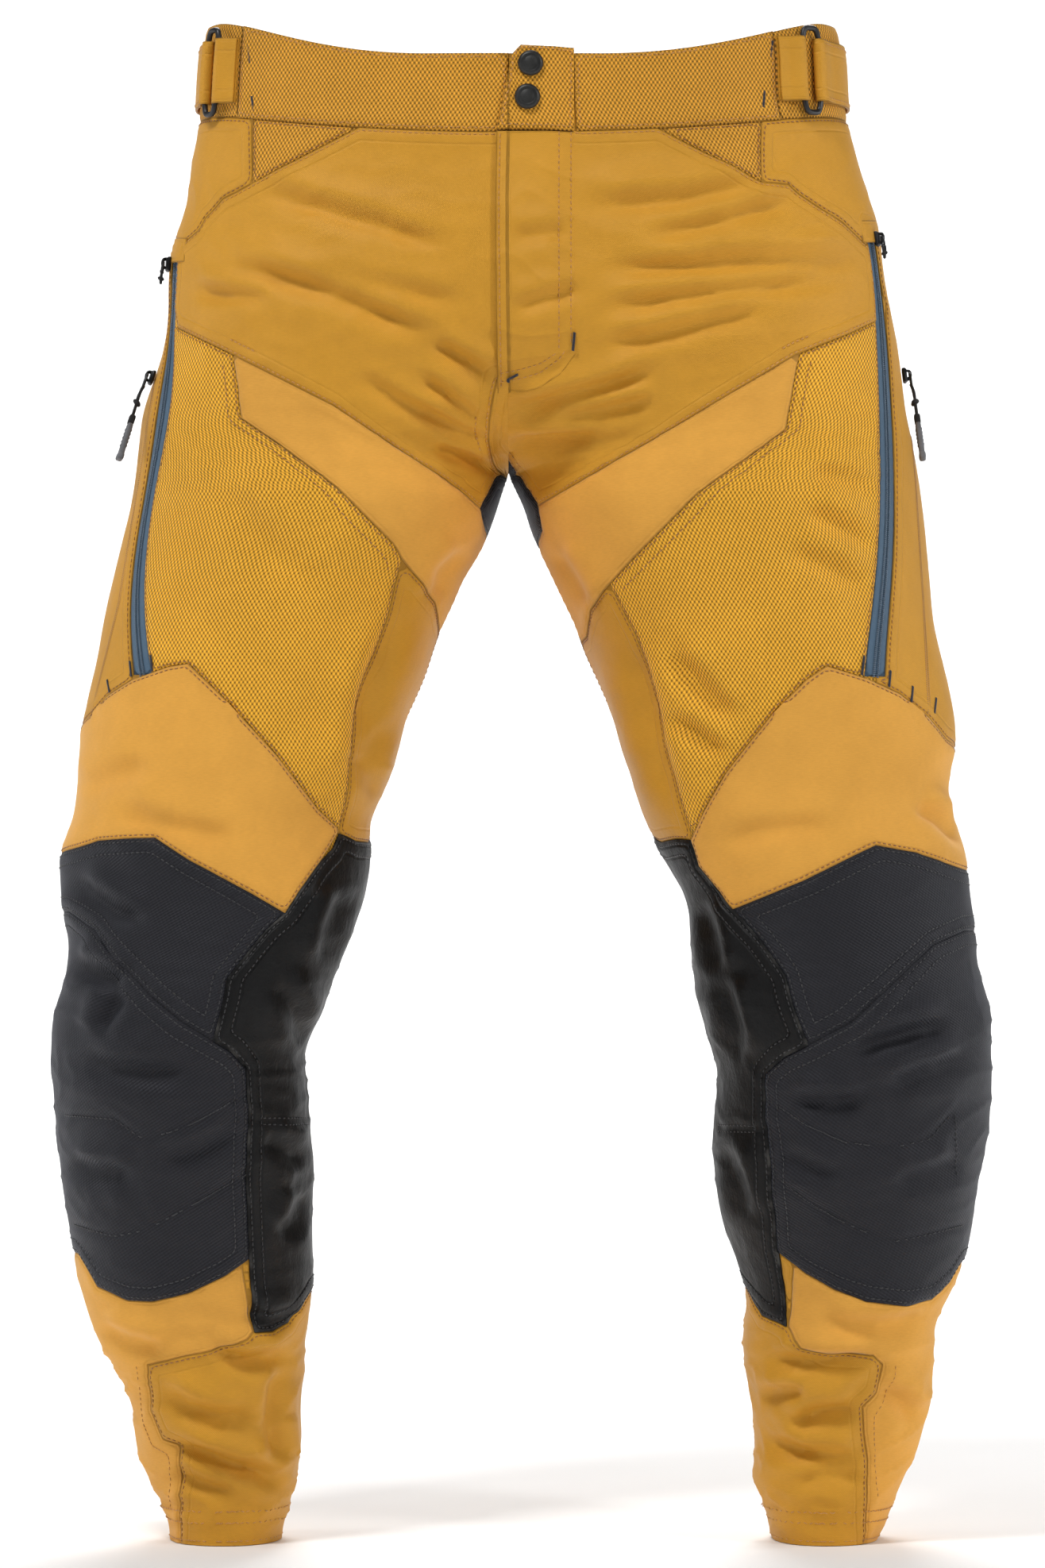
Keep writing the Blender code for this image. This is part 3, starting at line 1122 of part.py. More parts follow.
def build_zip(kind, side, top, foot):
    """A slider at the top of its run, with a pull that swings on it."""
    word = WORD[side]
    top_place = front(side, *top)
    start = spot(side, *top_place, ZIP_OUT)
    end = spot(side, *front(side, *foot), ZIP_OUT)
    run = (end - start) / np.linalg.norm(end - start)
    slider_axis = axis_empty("%s_slider_%s_axis" % (kind, word), start, run)
    frame = frame_at(start, normal(side, *top_place), -run)
    block("%s_slider_%s" % (kind, word), frame, size=(0.0068, 0.0028, 0.0100), at=(0, 0, 0),
          bevel=0.0007, material="black_metal", parent=slider_axis)
    pin = axis_empty("%s_pull_%s_axis" % (kind, word), frame @ Vector((0, 0.0032, -0.0005)),
                     frame.to_3x3() @ Vector((1, 0, 0)), slider_axis)
    if kind == "vent":
        block("vent_pull_" + word, frame, size=(0.0050, 0.0016, 0.0150),
              at=(0, 0.0032, -0.0072), bevel=0.0004, material="black_metal", parent=pin)
    else:
        cord = block("pocket_pull_" + word, frame, size=(0.0034, 0.0020, 0.034),
                     at=(0, 0.0034, -0.0167), bevel=0.0005, material="cord", parent=pin)
        tab = block("pocket_tab_tool_" + word, frame, size=(0.0072, 0.0034, 0.030),
                    at=(0, 0.0042, -0.0460), bevel=0.0008, material="rubber")
        union(cord, tab)


# ---------------------------------------------------------------- joints of the garment itself
HIP_AXIS_X, HIP_AXIS_Z = 0.130, 0.820
KNEE_AXIS_Y, KNEE_AXIS_Z, KNEE_AXIS_TILT = 0.020, 0.352, 0.16
HIP_PANELS = ("thigh_front_panel_", "thigh_mesh_panel_", "inner_thigh_panel_",
              "thigh_back_panel_", "crotch_gusset_", "vent_zip_", "pocket_panel_",
              "thigh_lower_panel_")
KNEE_PANELS = ("knee_upper_panel_", "knee_lower_panel_", "knee_leather_", "calf_panel_",
               "shin_panel_", "shin_side_panel_")


def build_leg_joints(side, panels):
    """The leg swings at the hip and bends at the knee; its panels and zips ride on these axes."""
    sign, word = SIGN[side], WORD[side]
    hip = axis_empty("hip_%s_axis" % word, (sign * HIP_AXIS_X, 0.0, HIP_AXIS_Z), (1, 0, 0))
    outer, inner = float(LEG_OUTER[side](KNEE_AXIS_Z)), float(LEG_INNER[side](KNEE_AXIS_Z))
    knee = axis_empty("knee_%s_axis" % word, ((outer + inner) / 2, KNEE_AXIS_Y, KNEE_AXIS_Z),
                      (1, 0, -KNEE_AXIS_TILT * sign), hip)
    for name in HIP_PANELS:
        attach(panels[name + word], hip)
    for name in KNEE_PANELS:
        attach(panels[name + word], knee)
    for kind in ("vent", "pocket"):
        attach(bpy.data.objects["%s_slider_%s_axis" % (kind, word)], hip)


# ---------------------------------------------------------------- assembly
panels = {**build_panels("R"), **build_panels("L")}
build_back_band()
build_flap(panels["snap_underlap"])
build_fly_slider()
for side in "RL":
    build_adjuster(side)
for zip_row in ZIPS:
    build_zip(*zip_row)
level_hems(panels)
for side in "RL":
    build_leg_joints(side, panels)
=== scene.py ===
import math

import bmesh
import bpy
import numpy as np
from mathutils import Matrix, Vector
from mathutils.geometry import delaunay_2d_cdt
from mathutils.kdtree import KDTree


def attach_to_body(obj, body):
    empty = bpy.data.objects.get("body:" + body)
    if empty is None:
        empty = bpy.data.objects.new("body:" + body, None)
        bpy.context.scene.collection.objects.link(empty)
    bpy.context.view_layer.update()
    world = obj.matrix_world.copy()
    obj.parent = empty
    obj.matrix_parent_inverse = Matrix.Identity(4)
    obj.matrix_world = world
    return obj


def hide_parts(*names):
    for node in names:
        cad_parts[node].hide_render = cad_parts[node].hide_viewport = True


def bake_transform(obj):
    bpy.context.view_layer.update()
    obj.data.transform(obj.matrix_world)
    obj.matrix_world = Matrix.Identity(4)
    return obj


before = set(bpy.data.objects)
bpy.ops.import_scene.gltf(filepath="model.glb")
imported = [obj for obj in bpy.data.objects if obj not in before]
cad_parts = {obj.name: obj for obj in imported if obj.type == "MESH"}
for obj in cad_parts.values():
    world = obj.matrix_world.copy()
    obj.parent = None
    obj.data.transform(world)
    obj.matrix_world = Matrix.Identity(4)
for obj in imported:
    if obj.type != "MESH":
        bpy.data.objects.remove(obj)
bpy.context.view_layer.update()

# ---------------------------------------------------------------- driving dimensions (metres)
MM = 0.001
CROTCH_Z = 0.704          # lowest point of the crotch seam
HIP_Z = 0.832             # above this the two halves are one torso section
SPLIT_Z = 0.55            # back and inner thigh panels are cut in two here
CENTRE_X = -0.0092        # the centre seam sits a little to the wearer's right
CENTRE_X_MM = -9.4        # front elevation points left of this belong to the right half
EYE_Y, EYE_Z = -4.5, 0.5005   # the camera, from which the front elevation is seen
CELL = 0.0033             # panel facet size
ROUND = 0.56              # nominal length once round a leg
LEG_SQUARE, TORSO_SQUARE = 2.15, 2.45   # superellipse powers
STITCH, STITCH_GAP = 0.0027, 0.0011
SIDE_U = {"R": 0.315, "L": 0.268}   # where the front waistband meets the back one
UNDERLAP_U = 0.0425                 # edge of the snap underlap
SIGN = {"R": -1.0, "L": 1.0}
WORD = {"R": "right", "L": "left"}


def rows(text):
    """One list of numbers for each line."""
    return [[float(v) for v in line.split()] for line in text.strip().splitlines()]


def pairs(text):
    """Points written "x,z x,z"."""
    return [tuple(float(v) for v in word.split(",")) for word in text.split()]


# height, right outer, right inner, left outer, left inner side of the legs, front elevation mm
LEG = rows("""
-2.6 -233.3 -160.8 233.3 167.1
7.9 -234.4 -159.2 238.6 163.4
21 -238.1 -155.5 242.3 161.9
36.8 -245.4 -149.2 251.2 154
52.5 -252.8 -148.2 260.6 152.9
68.3 -256.4 -147.7 268 151.9
84.1 -257.5 -147.7 270.6 150.8
99.8 -264.9 -147.1 270.6 150.3
115.6 -272.2 -146.1 271.2 148.7
131.4 -279.6 -145 271.7 147.1
147.1 -284.8 -141.9 274.8 147.1
162.9 -289 -140.3 282.7 148.2
178.7 -293.8 -139.3 288.5 144.5
194.4 -295.9 -139.8 292.7 138.2
210.2 -300.6 -139.8 295.9 132.4
226 -302.7 -139.3 298 129.3
241.7 -303.7 -138.7 300.1 127.7
257.5 -305.3 -138.7 303.2 125.6
273.3 -306.9 -139.8 307.4 125.6
289 -308.5 -140.3 307.9 127.2
304.8 -308.5 -141.9 309 129.3
320.6 -307.9 -144 307.4 129.3
336.3 -307.4 -139.3 306.9 123.5
352.1 -305.3 -131.4 308.5 117.2
367.8 -300.6 -126.1 304.3 113
383.6 -298 -120.3 299.5 110.9
399.4 -299.5 -113 298 110.4
415.1 -302.7 -107.2 295.3 110.4
430.9 -302.7 -102.5 293.2 105.6
446.7 -303.2 -100.4 291.7 96.2
462.4 -301.6 -100.4 289 88.8
478.2 -295.9 -99.8 282.2 80.4
494 -294.3 -91.4 278.5 75.1
509.7 -293.2 -85.7 282.2 70.4
525.5 -291.1 -82 285.3 65.2
541.3 -289 -78.3 285.3 61.5
557 -286.4 -70.9 282.7 55.2
572.8 -282.7 -64.1 279 47.8
588.6 -279.6 -59.4 275.4 40.5
604.3 -276.9 -54.1 271.7 35.7
620.1 -273.8 -46.2 270.1 27.9
635.9 -270.1 -39.9 269.1 20.5
651.6 -266.4 -29.4 267.5 13.1
667.4 -262.8 -22.1 265.9 5.8
683.1 -258.5 -16.8 264.3 1.6
698.9 -255.4 -12.1 262.2 -6.3
704.2 -254.9 -9.2 261.2 -9.2
""")
# height, right outer, left outer side of the torso, front elevation mm
TORSO = rows("""
704.2 -254.9 261.2
714.7 -253.8 258.5
730.4 -252.2 253.3
746.2 -249.6 250.7
762 -243.8 249.6
777.7 -238.1 248.6
793.5 -234.9 246.5
809.3 -233.3 243.8
825 -233.8 240.7
840.8 -233.8 238.1
856.6 -230.7 236.5
872.3 -224.9 234.4
888.1 -220.7 228.6
903.9 -219.1 223.9
919.6 -216.5 219.7
935.4 -212.8 214.4
951.2 -212.3 211.3
966.9 -211.3 211.3
982.7 -210.2 210.2
1000 -208.1 207
""")
# height, half depth front to back, middle in y (mm)
LEG_DEPTH = [
    (0, 50, 17), (60, 56, 14), (110, 66, 6), (170, 76, -4), (230, 84, -16), (300, 93, -30),
    (350, 97, -36), (400, 97, -33), (460, 99, -24), (540, 108, -12), (620, 118, -4), (704, 127, 2)]
TORSO_DEPTH = [(704, 130, 2.1), (780, 132, 3.37), (850, 127, 2), (920, 114, 0), (1000, 108, 0)]


# ---------------------------------------------------------------- envelope
def profile(table, column, spread):
    """A function of height that runs smoothly through one column of a table in mm."""
    heights = np.linspace(-0.03, 1.03, 1061)
    table = np.array(table, float) * MM
    values = np.interp(heights, table[:, 0], table[:, column])
    reach = np.arange(-40, 41) * (heights[1] - heights[0])
    kernel = np.exp(-0.5 * (reach / spread) ** 2)
    values = np.convolve(np.pad(values, 40, mode="edge"), kernel / kernel.sum(), mode="valid")
    return lambda z: np.interp(z, heights, values)


LEG_OUT = {"R": profile(LEG, 1, 0.007), "L": profile(LEG, 3, 0.007)}
LEG_IN = {"R": profile(LEG, 2, 0.005), "L": profile(LEG, 4, 0.005)}
TORSO_OUT = {"R": profile(TORSO, 1, 0.008), "L": profile(TORSO, 2, 0.008)}
LEG_HALF, LEG_MIDDLE = profile(LEG_DEPTH, 1, 0.02), profile(LEG_DEPTH, 2, 0.02)
TORSO_HALF, TORSO_MIDDLE = profile(TORSO_DEPTH, 1, 0.02), profile(TORSO_DEPTH, 2, 0.02)


def smooth01(t):
    t = np.clip(t, 0, 1)
    return t * t * (3 - 2 * t)


def bell(distance, width):
    return np.exp(-((distance / width) ** 2))


def unit_rows(vectors):
    return vectors / np.linalg.norm(vectors, axis=1, keepdims=True)


def inseam_turn(z):
    """The inseam swings 20 degrees to the back of the leg from the thigh down to the knee."""
    return -0.35 * smooth01((0.64 - np.asarray(z, float)) / 0.22)


def squared(v, power):
    """A sine or cosine pushed out to a superellipse."""
    return np.sign(v) * np.abs(v) ** (2.0 / power)


def open_envelope(side, u, z):
    """Leg sections that turn into torso sections, with a narrow gap at the centre seam."""
    u, z = np.broadcast_arrays(np.asarray(u, float), np.asarray(z, float))
    sign = SIGN[side]
    wall = CENTRE_X + sign * 0.0004
    inner = LEG_IN[side](z)
    inner = np.where(z >= CROTCH_Z, wall, sign * np.maximum(sign * inner, sign * wall))
    outer = LEG_OUT[side](z)
    middle, half = (outer + inner) / 2, np.abs(outer - inner) / 2
    turn = 2 * np.pi * u + inseam_turn(z)
    leg_x = middle - sign * half * squared(np.cos(turn), LEG_SQUARE)
    leg_y = LEG_MIDDLE(z) - LEG_HALF(z) * squared(np.sin(turn), LEG_SQUARE)
    turn = np.pi * np.clip(u, 0, 1)
    width = np.abs(TORSO_OUT[side](z) - wall)
    torso_x = wall + sign * width * squared(np.sin(turn), TORSO_SQUARE)
    torso_y = TORSO_MIDDLE(z) - TORSO_HALF(z) * squared(np.cos(turn), TORSO_SQUARE)
    t = np.clip((z - CROTCH_Z) / (HIP_Z - CROTCH_Z), 0, 1)
    share = np.sqrt(t) * (1.5 - 0.5 * t)
    return np.stack([leg_x + share * (torso_x - leg_x), leg_y + share * (torso_y - leg_y), z], -1)


def near_centre(u, z, reach):
    """1 on the centre seam above the crotch, falling to 0 beside it."""
    seam = np.minimum(u, 1 - np.asarray(u, float)) * ROUND
    return np.where(np.asarray(z) > CROTCH_Z - 0.003, 1 - smooth01(seam / reach), 0.0)


# (height offset, weight) of the samples that soften the shape at crotch height
CROTCH_SAMPLES = [(-0.022, 0.11), (-0.013, 0.19), (-0.005, 0.20),
                  (0.005, 0.20), (0.013, 0.19), (0.022, 0.11)]


def envelope(side, u, z):
    """The smooth shape, with its two halves closed up at the centre seam."""
    u, z = np.broadcast_arrays(np.asarray(u, float), np.asarray(z, float))
    p = open_envelope(side, u, z)
    # away from the centre the shape runs smoothly past the height of the crotch
    soft = smooth01((np.minimum(u, 1 - u) * ROUND - 0.008) / 0.035)
    soft = soft * (1 - smooth01((np.abs(z - CROTCH_Z - 0.004) - 0.016) / 0.022))
    if (soft > 0).any():
        m = soft > 0
        share = soft[m][:, None]
        mean = sum(weight * open_envelope(side, u[m], z[m] + offset)[..., :2]
                   for offset, weight in CROTCH_SAMPLES)
        p[m, :2] = p[m, :2] * (1 - share) + mean * share
    x = p[..., 0] - SIGN[side] * 0.00042 * near_centre(u, z, 0.005)
    return np.stack([x, p[..., 1], p[..., 2]], -1)


def normal(side, u, z):
    """The way out of the cloth; on the centre seam it stays in the middle plane, so both halves
    move together."""
    u, z = np.broadcast_arrays(np.asarray(u, float), np.asarray(z, float))
    e = 2e-3
    mid_u = np.clip(u, e, 1 - e)
    du = envelope(side, mid_u + e, z) - envelope(side, mid_u - e, z)
    dz = envelope(side, mid_u, z + e) - envelope(side, mid_u, z - e)
    n = np.cross(du, dz) * SIGN[side]
    n = n / np.maximum(np.linalg.norm(n, axis=-1, keepdims=True), 1e-12)
    n = np.stack([n[..., 0] * (1 - near_centre(u, z, 0.014)), n[..., 1], n[..., 2]], -1)
    return n / np.maximum(np.linalg.norm(n, axis=-1, keepdims=True), 0.45)


def rim_z(u):
    """Height of the waist edge: lower at the front, highest at the sides."""
    u = np.asarray(u, float)
    return np.where(u < 0.5, 0.9725 + 0.0265 * smooth01((u - 0.06) / 0.34),
                    0.9990 - 0.0065 * smooth01((u - 0.5) / 0.16))


def band_z(u):
    """Height of the waistband's lower edge."""
    u = np.asarray(u, float)
    return np.where(u < 0.5, 0.9215 + 0.0155 * smooth01(u / 0.42),
                    0.9370 - 0.0020 * smooth01((u - 0.5) / 0.2))


def front_many(side, x_mm, z_mm, rounds=6, steps=160):
    """(u, z) of the envelope points seen through points of the front elevation."""
    front_x, front_z = np.asarray(x_mm, float) * MM, np.asarray(z_mm, float) * MM
    y = np.full(len(front_x), -0.1)
    index = np.arange(len(front_x))
    for _ in range(rounds):
        scale = (y - EYE_Y) / -EYE_Y
        want, z = front_x * scale * SIGN[side], EYE_Z + (front_z - EYE_Z) * scale
        us = (-inseam_turn(z) / (2 * np.pi))[:, None] + np.linspace(0, 0.5, steps + 1)[None]
        xs = envelope(side, us, z[:, None])[..., 0] * SIGN[side]
        xs = np.maximum.accumulate(xs, axis=1)
        i = np.clip((xs < want[:, None]).sum(1), 1, steps)
        low, high = xs[index, i - 1], xs[index, i]
        t = np.clip((want - low) / np.maximum(high - low, 1e-12), 0, 1)
        u = us[index, i - 1] * (1 - t) + us[index, i] * t
        y = envelope(side, u, z)[..., 1]
    return u, z


def front(side, x_mm, z_mm):
    """The same for a single point, more closely."""
    u, z = front_many(side, [x_mm], [z_mm], rounds=7, steps=240)
    return float(u[0]), float(z[0])


def split_front(x, z):
    """Sides, u and z of front elevation points that may lie on either half."""
    x, z = np.asarray(x, float), np.asarray(z, float)
    sides = np.where(x < CENTRE_X_MM, "R", "L")
    u, height_z = np.zeros(len(x)), np.zeros(len(x))
    for side in "RL":
        m = sides == side
        if m.any():
            u[m], height_z[m] = front_many(side, x[m], z[m])
    return sides, u, height_z


def to_front(p):
    """Front elevation points of places in space."""
    scale = (p[:, 1] - EYE_Y) / -EYE_Y
    return np.stack([p[:, 0] / scale, EYE_Z + (p[:, 2] - EYE_Z) / scale], 1) / MM


# ---------------------------------------------------------------- lengths on the cloth
GRID_U, GRID_Z = np.linspace(0, 1, 241), np.linspace(-0.01, 1.01, 256)
LENGTHS = {}
for side in "RL":
    grid = envelope(side, GRID_U[None], GRID_Z[:, None])
    steps = np.linalg.norm(np.diff(grid, axis=1), axis=2)
    total = np.concatenate([np.zeros((len(GRID_Z), 1)), np.cumsum(steps, axis=1)], axis=1)
    LENGTHS[side] = total - total[:, 60:61]


def around(side, u, z):
    """Real length round the cloth, measured from u = 0.25."""
    grid = LENGTHS[side]
    i = np.clip((np.asarray(u) - GRID_U[0]) / (GRID_U[1] - GRID_U[0]), 0, len(GRID_U) - 1.001)
    j = np.clip((np.asarray(z) - GRID_Z[0]) / (GRID_Z[1] - GRID_Z[0]), 0, len(GRID_Z) - 1.001)
    a, b = i.astype(int), j.astype(int)
    s, t = i - a, j - b
    low = grid[b, a] * (1 - s) + grid[b, a + 1] * s
    return low * (1 - t) + (grid[b + 1, a] * (1 - s) + grid[b + 1, a + 1] * s) * t


def stretch(side, u, z):
    """Real length over sheet length, across."""
    u = np.asarray(u)
    span = around(side, u + 0.004, z) - around(side, u - 0.004, z)
    return np.maximum(span / 0.008 / ROUND, 0.15)


# ---------------------------------------------------------------- seam drawing
# seams that two panels share, front elevation mm
INNER_THIGH = {"R": "-79.9,649.5 -88.3,614.3 -95.1,586.5 -106.7,561.8 -110.4,540.2 -113,517.1 "
                    "-116.1,483.5 -119.8,469.3",
               "L": "57.8,630.6 74.6,599.1 86.2,562.3 94.6,515 110.4,467.7"}
LEATHER_UPPER = {"R": "-157.6,415.1 -169.7,404.6 -195.5,372.1 -197.6,358.9 -204.9,330.5",
                 "L": "140.3,417.8 157.1,397.8 173.9,373.6 178.7,356.3 189.2,327.9"}
LEATHER_LOWER = {"R": "-193.4,323.7 -183.4,312.1 -181.3,282.2 -183.4,244.4",
                 "L": "173.4,320 161.3,309 160.3,278 164.5,251.2 166.6,210.7"}


def turned(text):
    return " ".join(reversed(text.split()))


# Panels in the order they are laid, later over earlier: a name, then stretches of its outline
# as "front" points (front elevation mm) or "sheet" points (u, z).
# The vent zips have no points here; their outline comes from VENT_LINE.
BACK_PANELS = """
seat_panel sheet 0.50,1.02 1.02,1.02 1.02,0.735 0.92,0.702 0.80,0.690 0.68,0.706 0.56,0.742
    0.50,0.75
calf_panel sheet 0.50,0.418 0.62,0.405 0.75,0.400 0.90,0.405 1.02,0.412 1.02,-0.02 0.50,-0.02
"""
BACK_GUSSET = """
crotch_gusset sheet 1.02,0.748 0.945,0.724 0.928,0.688 0.950,0.662 1.02,0.650
"""
PANEL_TEXT = {"R": f"""
{BACK_PANELS}
inner_thigh_panel front {INNER_THIGH["R"]} -119.8,430.9
    sheet -0.02,0.40 -0.02,0.66 front -35.7,656.9 -51.5,656.9 -72.5,656.9
thigh_mesh_panel front -228.1,830.3 -232.8,790.4 -239.1,749.4 -248.6,693.7 -254.9,647.9
    -255.9,609.6 -252.8,575.4 -267,515 -119.8,441.4 {turned(INNER_THIGH["R"])}
    -62,677.9 -125.1,767.2
thigh_front_panel front -191.3,783 -186,742.5 -160.8,725.2 -123.5,697.3 -85.1,659 -79.9,649.5
    -57.3,620.1 -55.2,603.3 sheet -0.02,0.597 -0.02,0.72
    front -14.7,725.2 -51.5,746.2 -125.1,788.2 -172.4,809.3
crotch_gusset front -9.5,725.2 -24.2,709.4 -28.9,683.1 -25.2,668.4 -18.9,655.8
    sheet -0.02,0.655 -0.02,0.76
{BACK_GUSSET}
front_panel front -228.1,802.4 -196,786.7 -125.1,750.9 -62,708.9 -42.6,695.8 -28.9,683.1
    -17.3,704.2 -7.9,714.7 sheet -0.02,0.76 -0.02,1.02 0.50,1.02 front -240.7,861.8
front_centre front -16.3,769.3 -4.2,769.3 -4.2,701 -9.5,702.1 -16.3,708.4
pocket_panel front -227,856 -229.1,844 -229.6,824.5 -232.8,804 -232.8,790.4 -234.4,769.9
    -239.1,749.4 -241.7,729.9 -243.8,717.3 -248.6,693.7 -251.7,686.8 -254.9,647.9 -255.9,609.6
    -252.8,575.4 -252.8,546.5 sheet 0.52,0.50 0.605,0.49 0.605,0.60 0.615,0.75 0.625,0.885
    0.56,0.872 0.50,0.860
hip_panel front -179.2,956.4 -179.2,898.1 -198.1,888.1 -210.2,875.5 -214.4,867.1 -227,856
    sheet 0.50,0.862 0.56,0.876 0.625,0.888 0.635,1.02 0.45,1.02
front_yoke front -178.1,956.4 -179.2,898.1 -106.7,935.9 -98.8,956.4
shin_panel front -267,116.1 -247.5,116.1 -179.2,157.6 -135.6,178.7
    sheet -0.02,0.17 -0.02,-0.02 0.30,-0.02 front -225.4,-10.5
shin_side_panel front -188.1,199.7 -179.2,138.7 -183.4,134.5 -204.9,125.6 -232.8,119.3
    -247.5,116.1 -245.4,85.7 -238.6,66.7 -227.5,62 -226.5,29.4 -225.4,-21
    sheet 0.575,-0.02 0.585,0.10 0.585,0.23
thigh_lower_panel front -119.8,470.3 -134.5,483.5 -162.4,519.2 -194.4,553.9 -221.8,580.2
    -234.9,578 -258,569.6 -274.8,558.6 -284.8,546.5 sheet 0.56,0.532 0.605,0.520 0.605,0.418
    0.50,0.418 front -282.7,415.1 -146.1,388.9 -133.5,448.8
knee_leather front -119.8,467.7 -124,458.2 -133.5,448.8 -148.2,429.9 {LEATHER_UPPER["R"]}
    {LEATHER_LOWER["R"]} -180.8,186.6 -178.7,138.7 -166.6,138.7 -154.5,144 -146.6,154.5
    -139.8,167.1 sheet -0.02,0.160 -0.02,0.470 front -100.4,461.4 -109.3,462.4
knee_upper_panel front -302.2,456.1 -280.6,463 -243.3,465.1 -220.2,449.8 -180.2,428.3
    {LEATHER_UPPER["R"]} -240.7,320.6 sheet 0.50,0.33 0.590,0.33 0.590,0.452
knee_lower_panel front -300.6,416.2 -282.2,404.1 -263.3,378.9 -244.4,358.4 -224.9,342.6
    -204.9,330.5 {LEATHER_LOWER["R"]} -180.8,186 -196.5,175 -220.2,164 -244.4,158.2
    -260.6,159.2 -280.6,168.2 -294.3,189.7 sheet 0.590,0.192 0.590,0.416
vent_zip
thigh_lower_panel front -214.4,572.8 -221.8,580.2 -234.9,578 -258,569.6 -274.8,558.6
    -274.8,546.5 -214.4,546.5
""", "L": f"""
{BACK_PANELS}
inner_thigh_panel front {INNER_THIGH["L"]} 110.4,430.9
    sheet -0.02,0.40 -0.02,0.66 front 16.8,656.9 32.6,656.9
thigh_mesh_panel front 235.4,840.8 241.7,780.9 241.7,754.1 243.3,693.7 241.2,658.5
    234.4,573.8 258.5,515 110.4,436.2 {turned(INNER_THIGH["L"])}
    53.6,683.1 116.7,767.2 179.7,798.8
thigh_front_panel front 183.9,788.2 174.5,735.7 116.7,693.7 74.6,651.6 56.2,631.7 43.1,614.8
    40.5,597.5 sheet -0.02,0.592 -0.02,0.72 front -4.2,725.2 85.1,777.7 158.7,809.3
crotch_gusset front -8.9,725.2 5.3,704.2 11.6,683.1 13.7,668.4 8.9,654.8
    sheet -0.02,0.655 -0.02,0.76
{BACK_GUSSET}
front_panel front 238.1,809.3 214.9,798.2 179.7,784 85.1,727.8 11.6,685.3 -1.6,704.2
    -10.5,714.7 sheet -0.02,0.76 -0.02,1.02 0.50,1.02 front 241.7,861.8
pocket_panel front 227,857.6 227.5,866.5 230.2,852.4 236.5,836.6 240.7,818.2 241.2,802.4
    241.7,780.9 241.7,754.1 242.3,725.2 243.3,693.7 241.2,658.5 238.6,623.2 234.4,573.8
    234.4,546.5 sheet 0.52,0.50 0.605,0.49 0.605,0.60 0.615,0.75 0.625,0.885 0.56,0.872
    0.50,0.862
hip_panel front 158.2,956.4 157.6,898.1 175.5,897 183.4,890.2 198.1,880.2 210.7,872.3
    227,857.6 sheet 0.50,0.864 0.56,0.876 0.625,0.888 0.635,1.02 0.45,1.02
front_yoke front 158.7,956.4 157.6,898.1 86.2,936.4 78.8,956.4
shin_panel front 253.3,126.1 236.5,124 175.5,157.6 142.9,178.7
    sheet -0.02,0.17 -0.02,-0.02 0.30,-0.02 front 226,-10.5
shin_side_panel front 179.7,199.7 175.5,140.8 185.5,128.2 200.2,122.4 231.7,122.4 238.1,116.1
    234.9,97.2 224.9,88.3 226,69.9 228.6,51 227,28.4 226,-21
    sheet 0.575,-0.02 0.585,0.10 0.585,0.23
thigh_lower_panel front 110.9,463 119.3,481.9 134,507.6 165,546.5 188.1,569.6 201.8,578.6
    228.1,570.2 249.6,560.2 268.5,544.9 280.6,529.7 sheet 0.56,0.520 0.605,0.512 0.605,0.418
    0.50,0.418 front 269.1,415.1 132.4,394.1 116.7,441.4
knee_leather front 110.9,463 116.7,446.1 {LEATHER_UPPER["L"]} {LEATHER_LOWER["L"]}
    168.7,189.7 171.8,168.2 174.5,141.4 157.1,148.7 151.9,157.1 146.1,169.7
    sheet -0.02,0.162 -0.02,0.470 front 91.4,461.4 100.9,463.5
knee_upper_panel front 291.7,444 260.1,455.1 233.3,459.8 220.2,453.5 186.6,436.7
    {LEATHER_UPPER["L"]} 232.3,320.6 sheet 0.50,0.33 0.590,0.33 0.590,0.442
knee_lower_panel front 292.7,403.6 271.7,394.1 263.8,386.2 242.8,365.7 216.5,342.6
    189.2,327.9 {LEATHER_LOWER["L"]} 167.6,190.2 186.6,176 206.5,165.5 227,158.7 253.8,156.1
    271.2,159.2 283.2,170.8 289.6,183.4 sheet 0.590,0.186 0.590,0.404
vent_zip
thigh_lower_panel front 195.5,574.9 201.8,578.6 228.1,570.2 249.6,560.2 249.6,546.5 195.5,546.5
fly_zipper front -11.6,956.4 33.6,956.4 33.6,785.6 25.2,774.6 11.6,766.2 -11.6,760.4
"""}


def panel_table(text):
    """[(panel, [(kind of stretch, points)])]"""
    table = []
    for word in text.split():
        if word in ("front", "sheet"):
            table[-1][1].append((word, []))
        elif word[0].isalpha():
            table.append((word, []))
        else:
            table[-1][1][-1][1].extend(pairs(word))
    return table


def waist_piece(name, us):
    """A piece above the waistband's lower edge, from the centre front to the last u."""
    return name, [("band", us), ("sheet", [(us[-1], 1.02), (-0.02, 1.02)])]


PANELS = {side: panel_table(PANEL_TEXT[side]) for side in "RL"}
for side in "RL":
    PANELS[side].append(waist_piece("waistband", [-0.02, 0.06, 0.12, 0.18, 0.24, SIDE_U[side]]))
PANELS["L"].append(waist_piece("snap_underlap", [-0.02, 0.02, 0.06, UNDERLAP_U]))

# middle lines of the vent zips, front elevation mm
VENT_LINE = {
    "R": pairs("""-229.6,859.7 -231,844.5 -231.5,817.2 -233.4,790.4 -236.2,768.8 -238.8,746.7
        -242.3,722.6 -245.9,701 -249.9,682.1 -253.6,654.8 -255.4,627.4 -255.3,605.9
        -253.6,584.4 -251.9,572.8"""),
    "L": pairs("""229.6,869.2 232.5,852.4 234.9,836.6 237.3,814.5 239.1,788.2 240.7,754.1
        242,725.2 242.5,693.7 241.2,658.5 238.6,623.2 235.4,588.6 233.8,571.7""")}
VENT_HALF_WIDTH = 0.0082


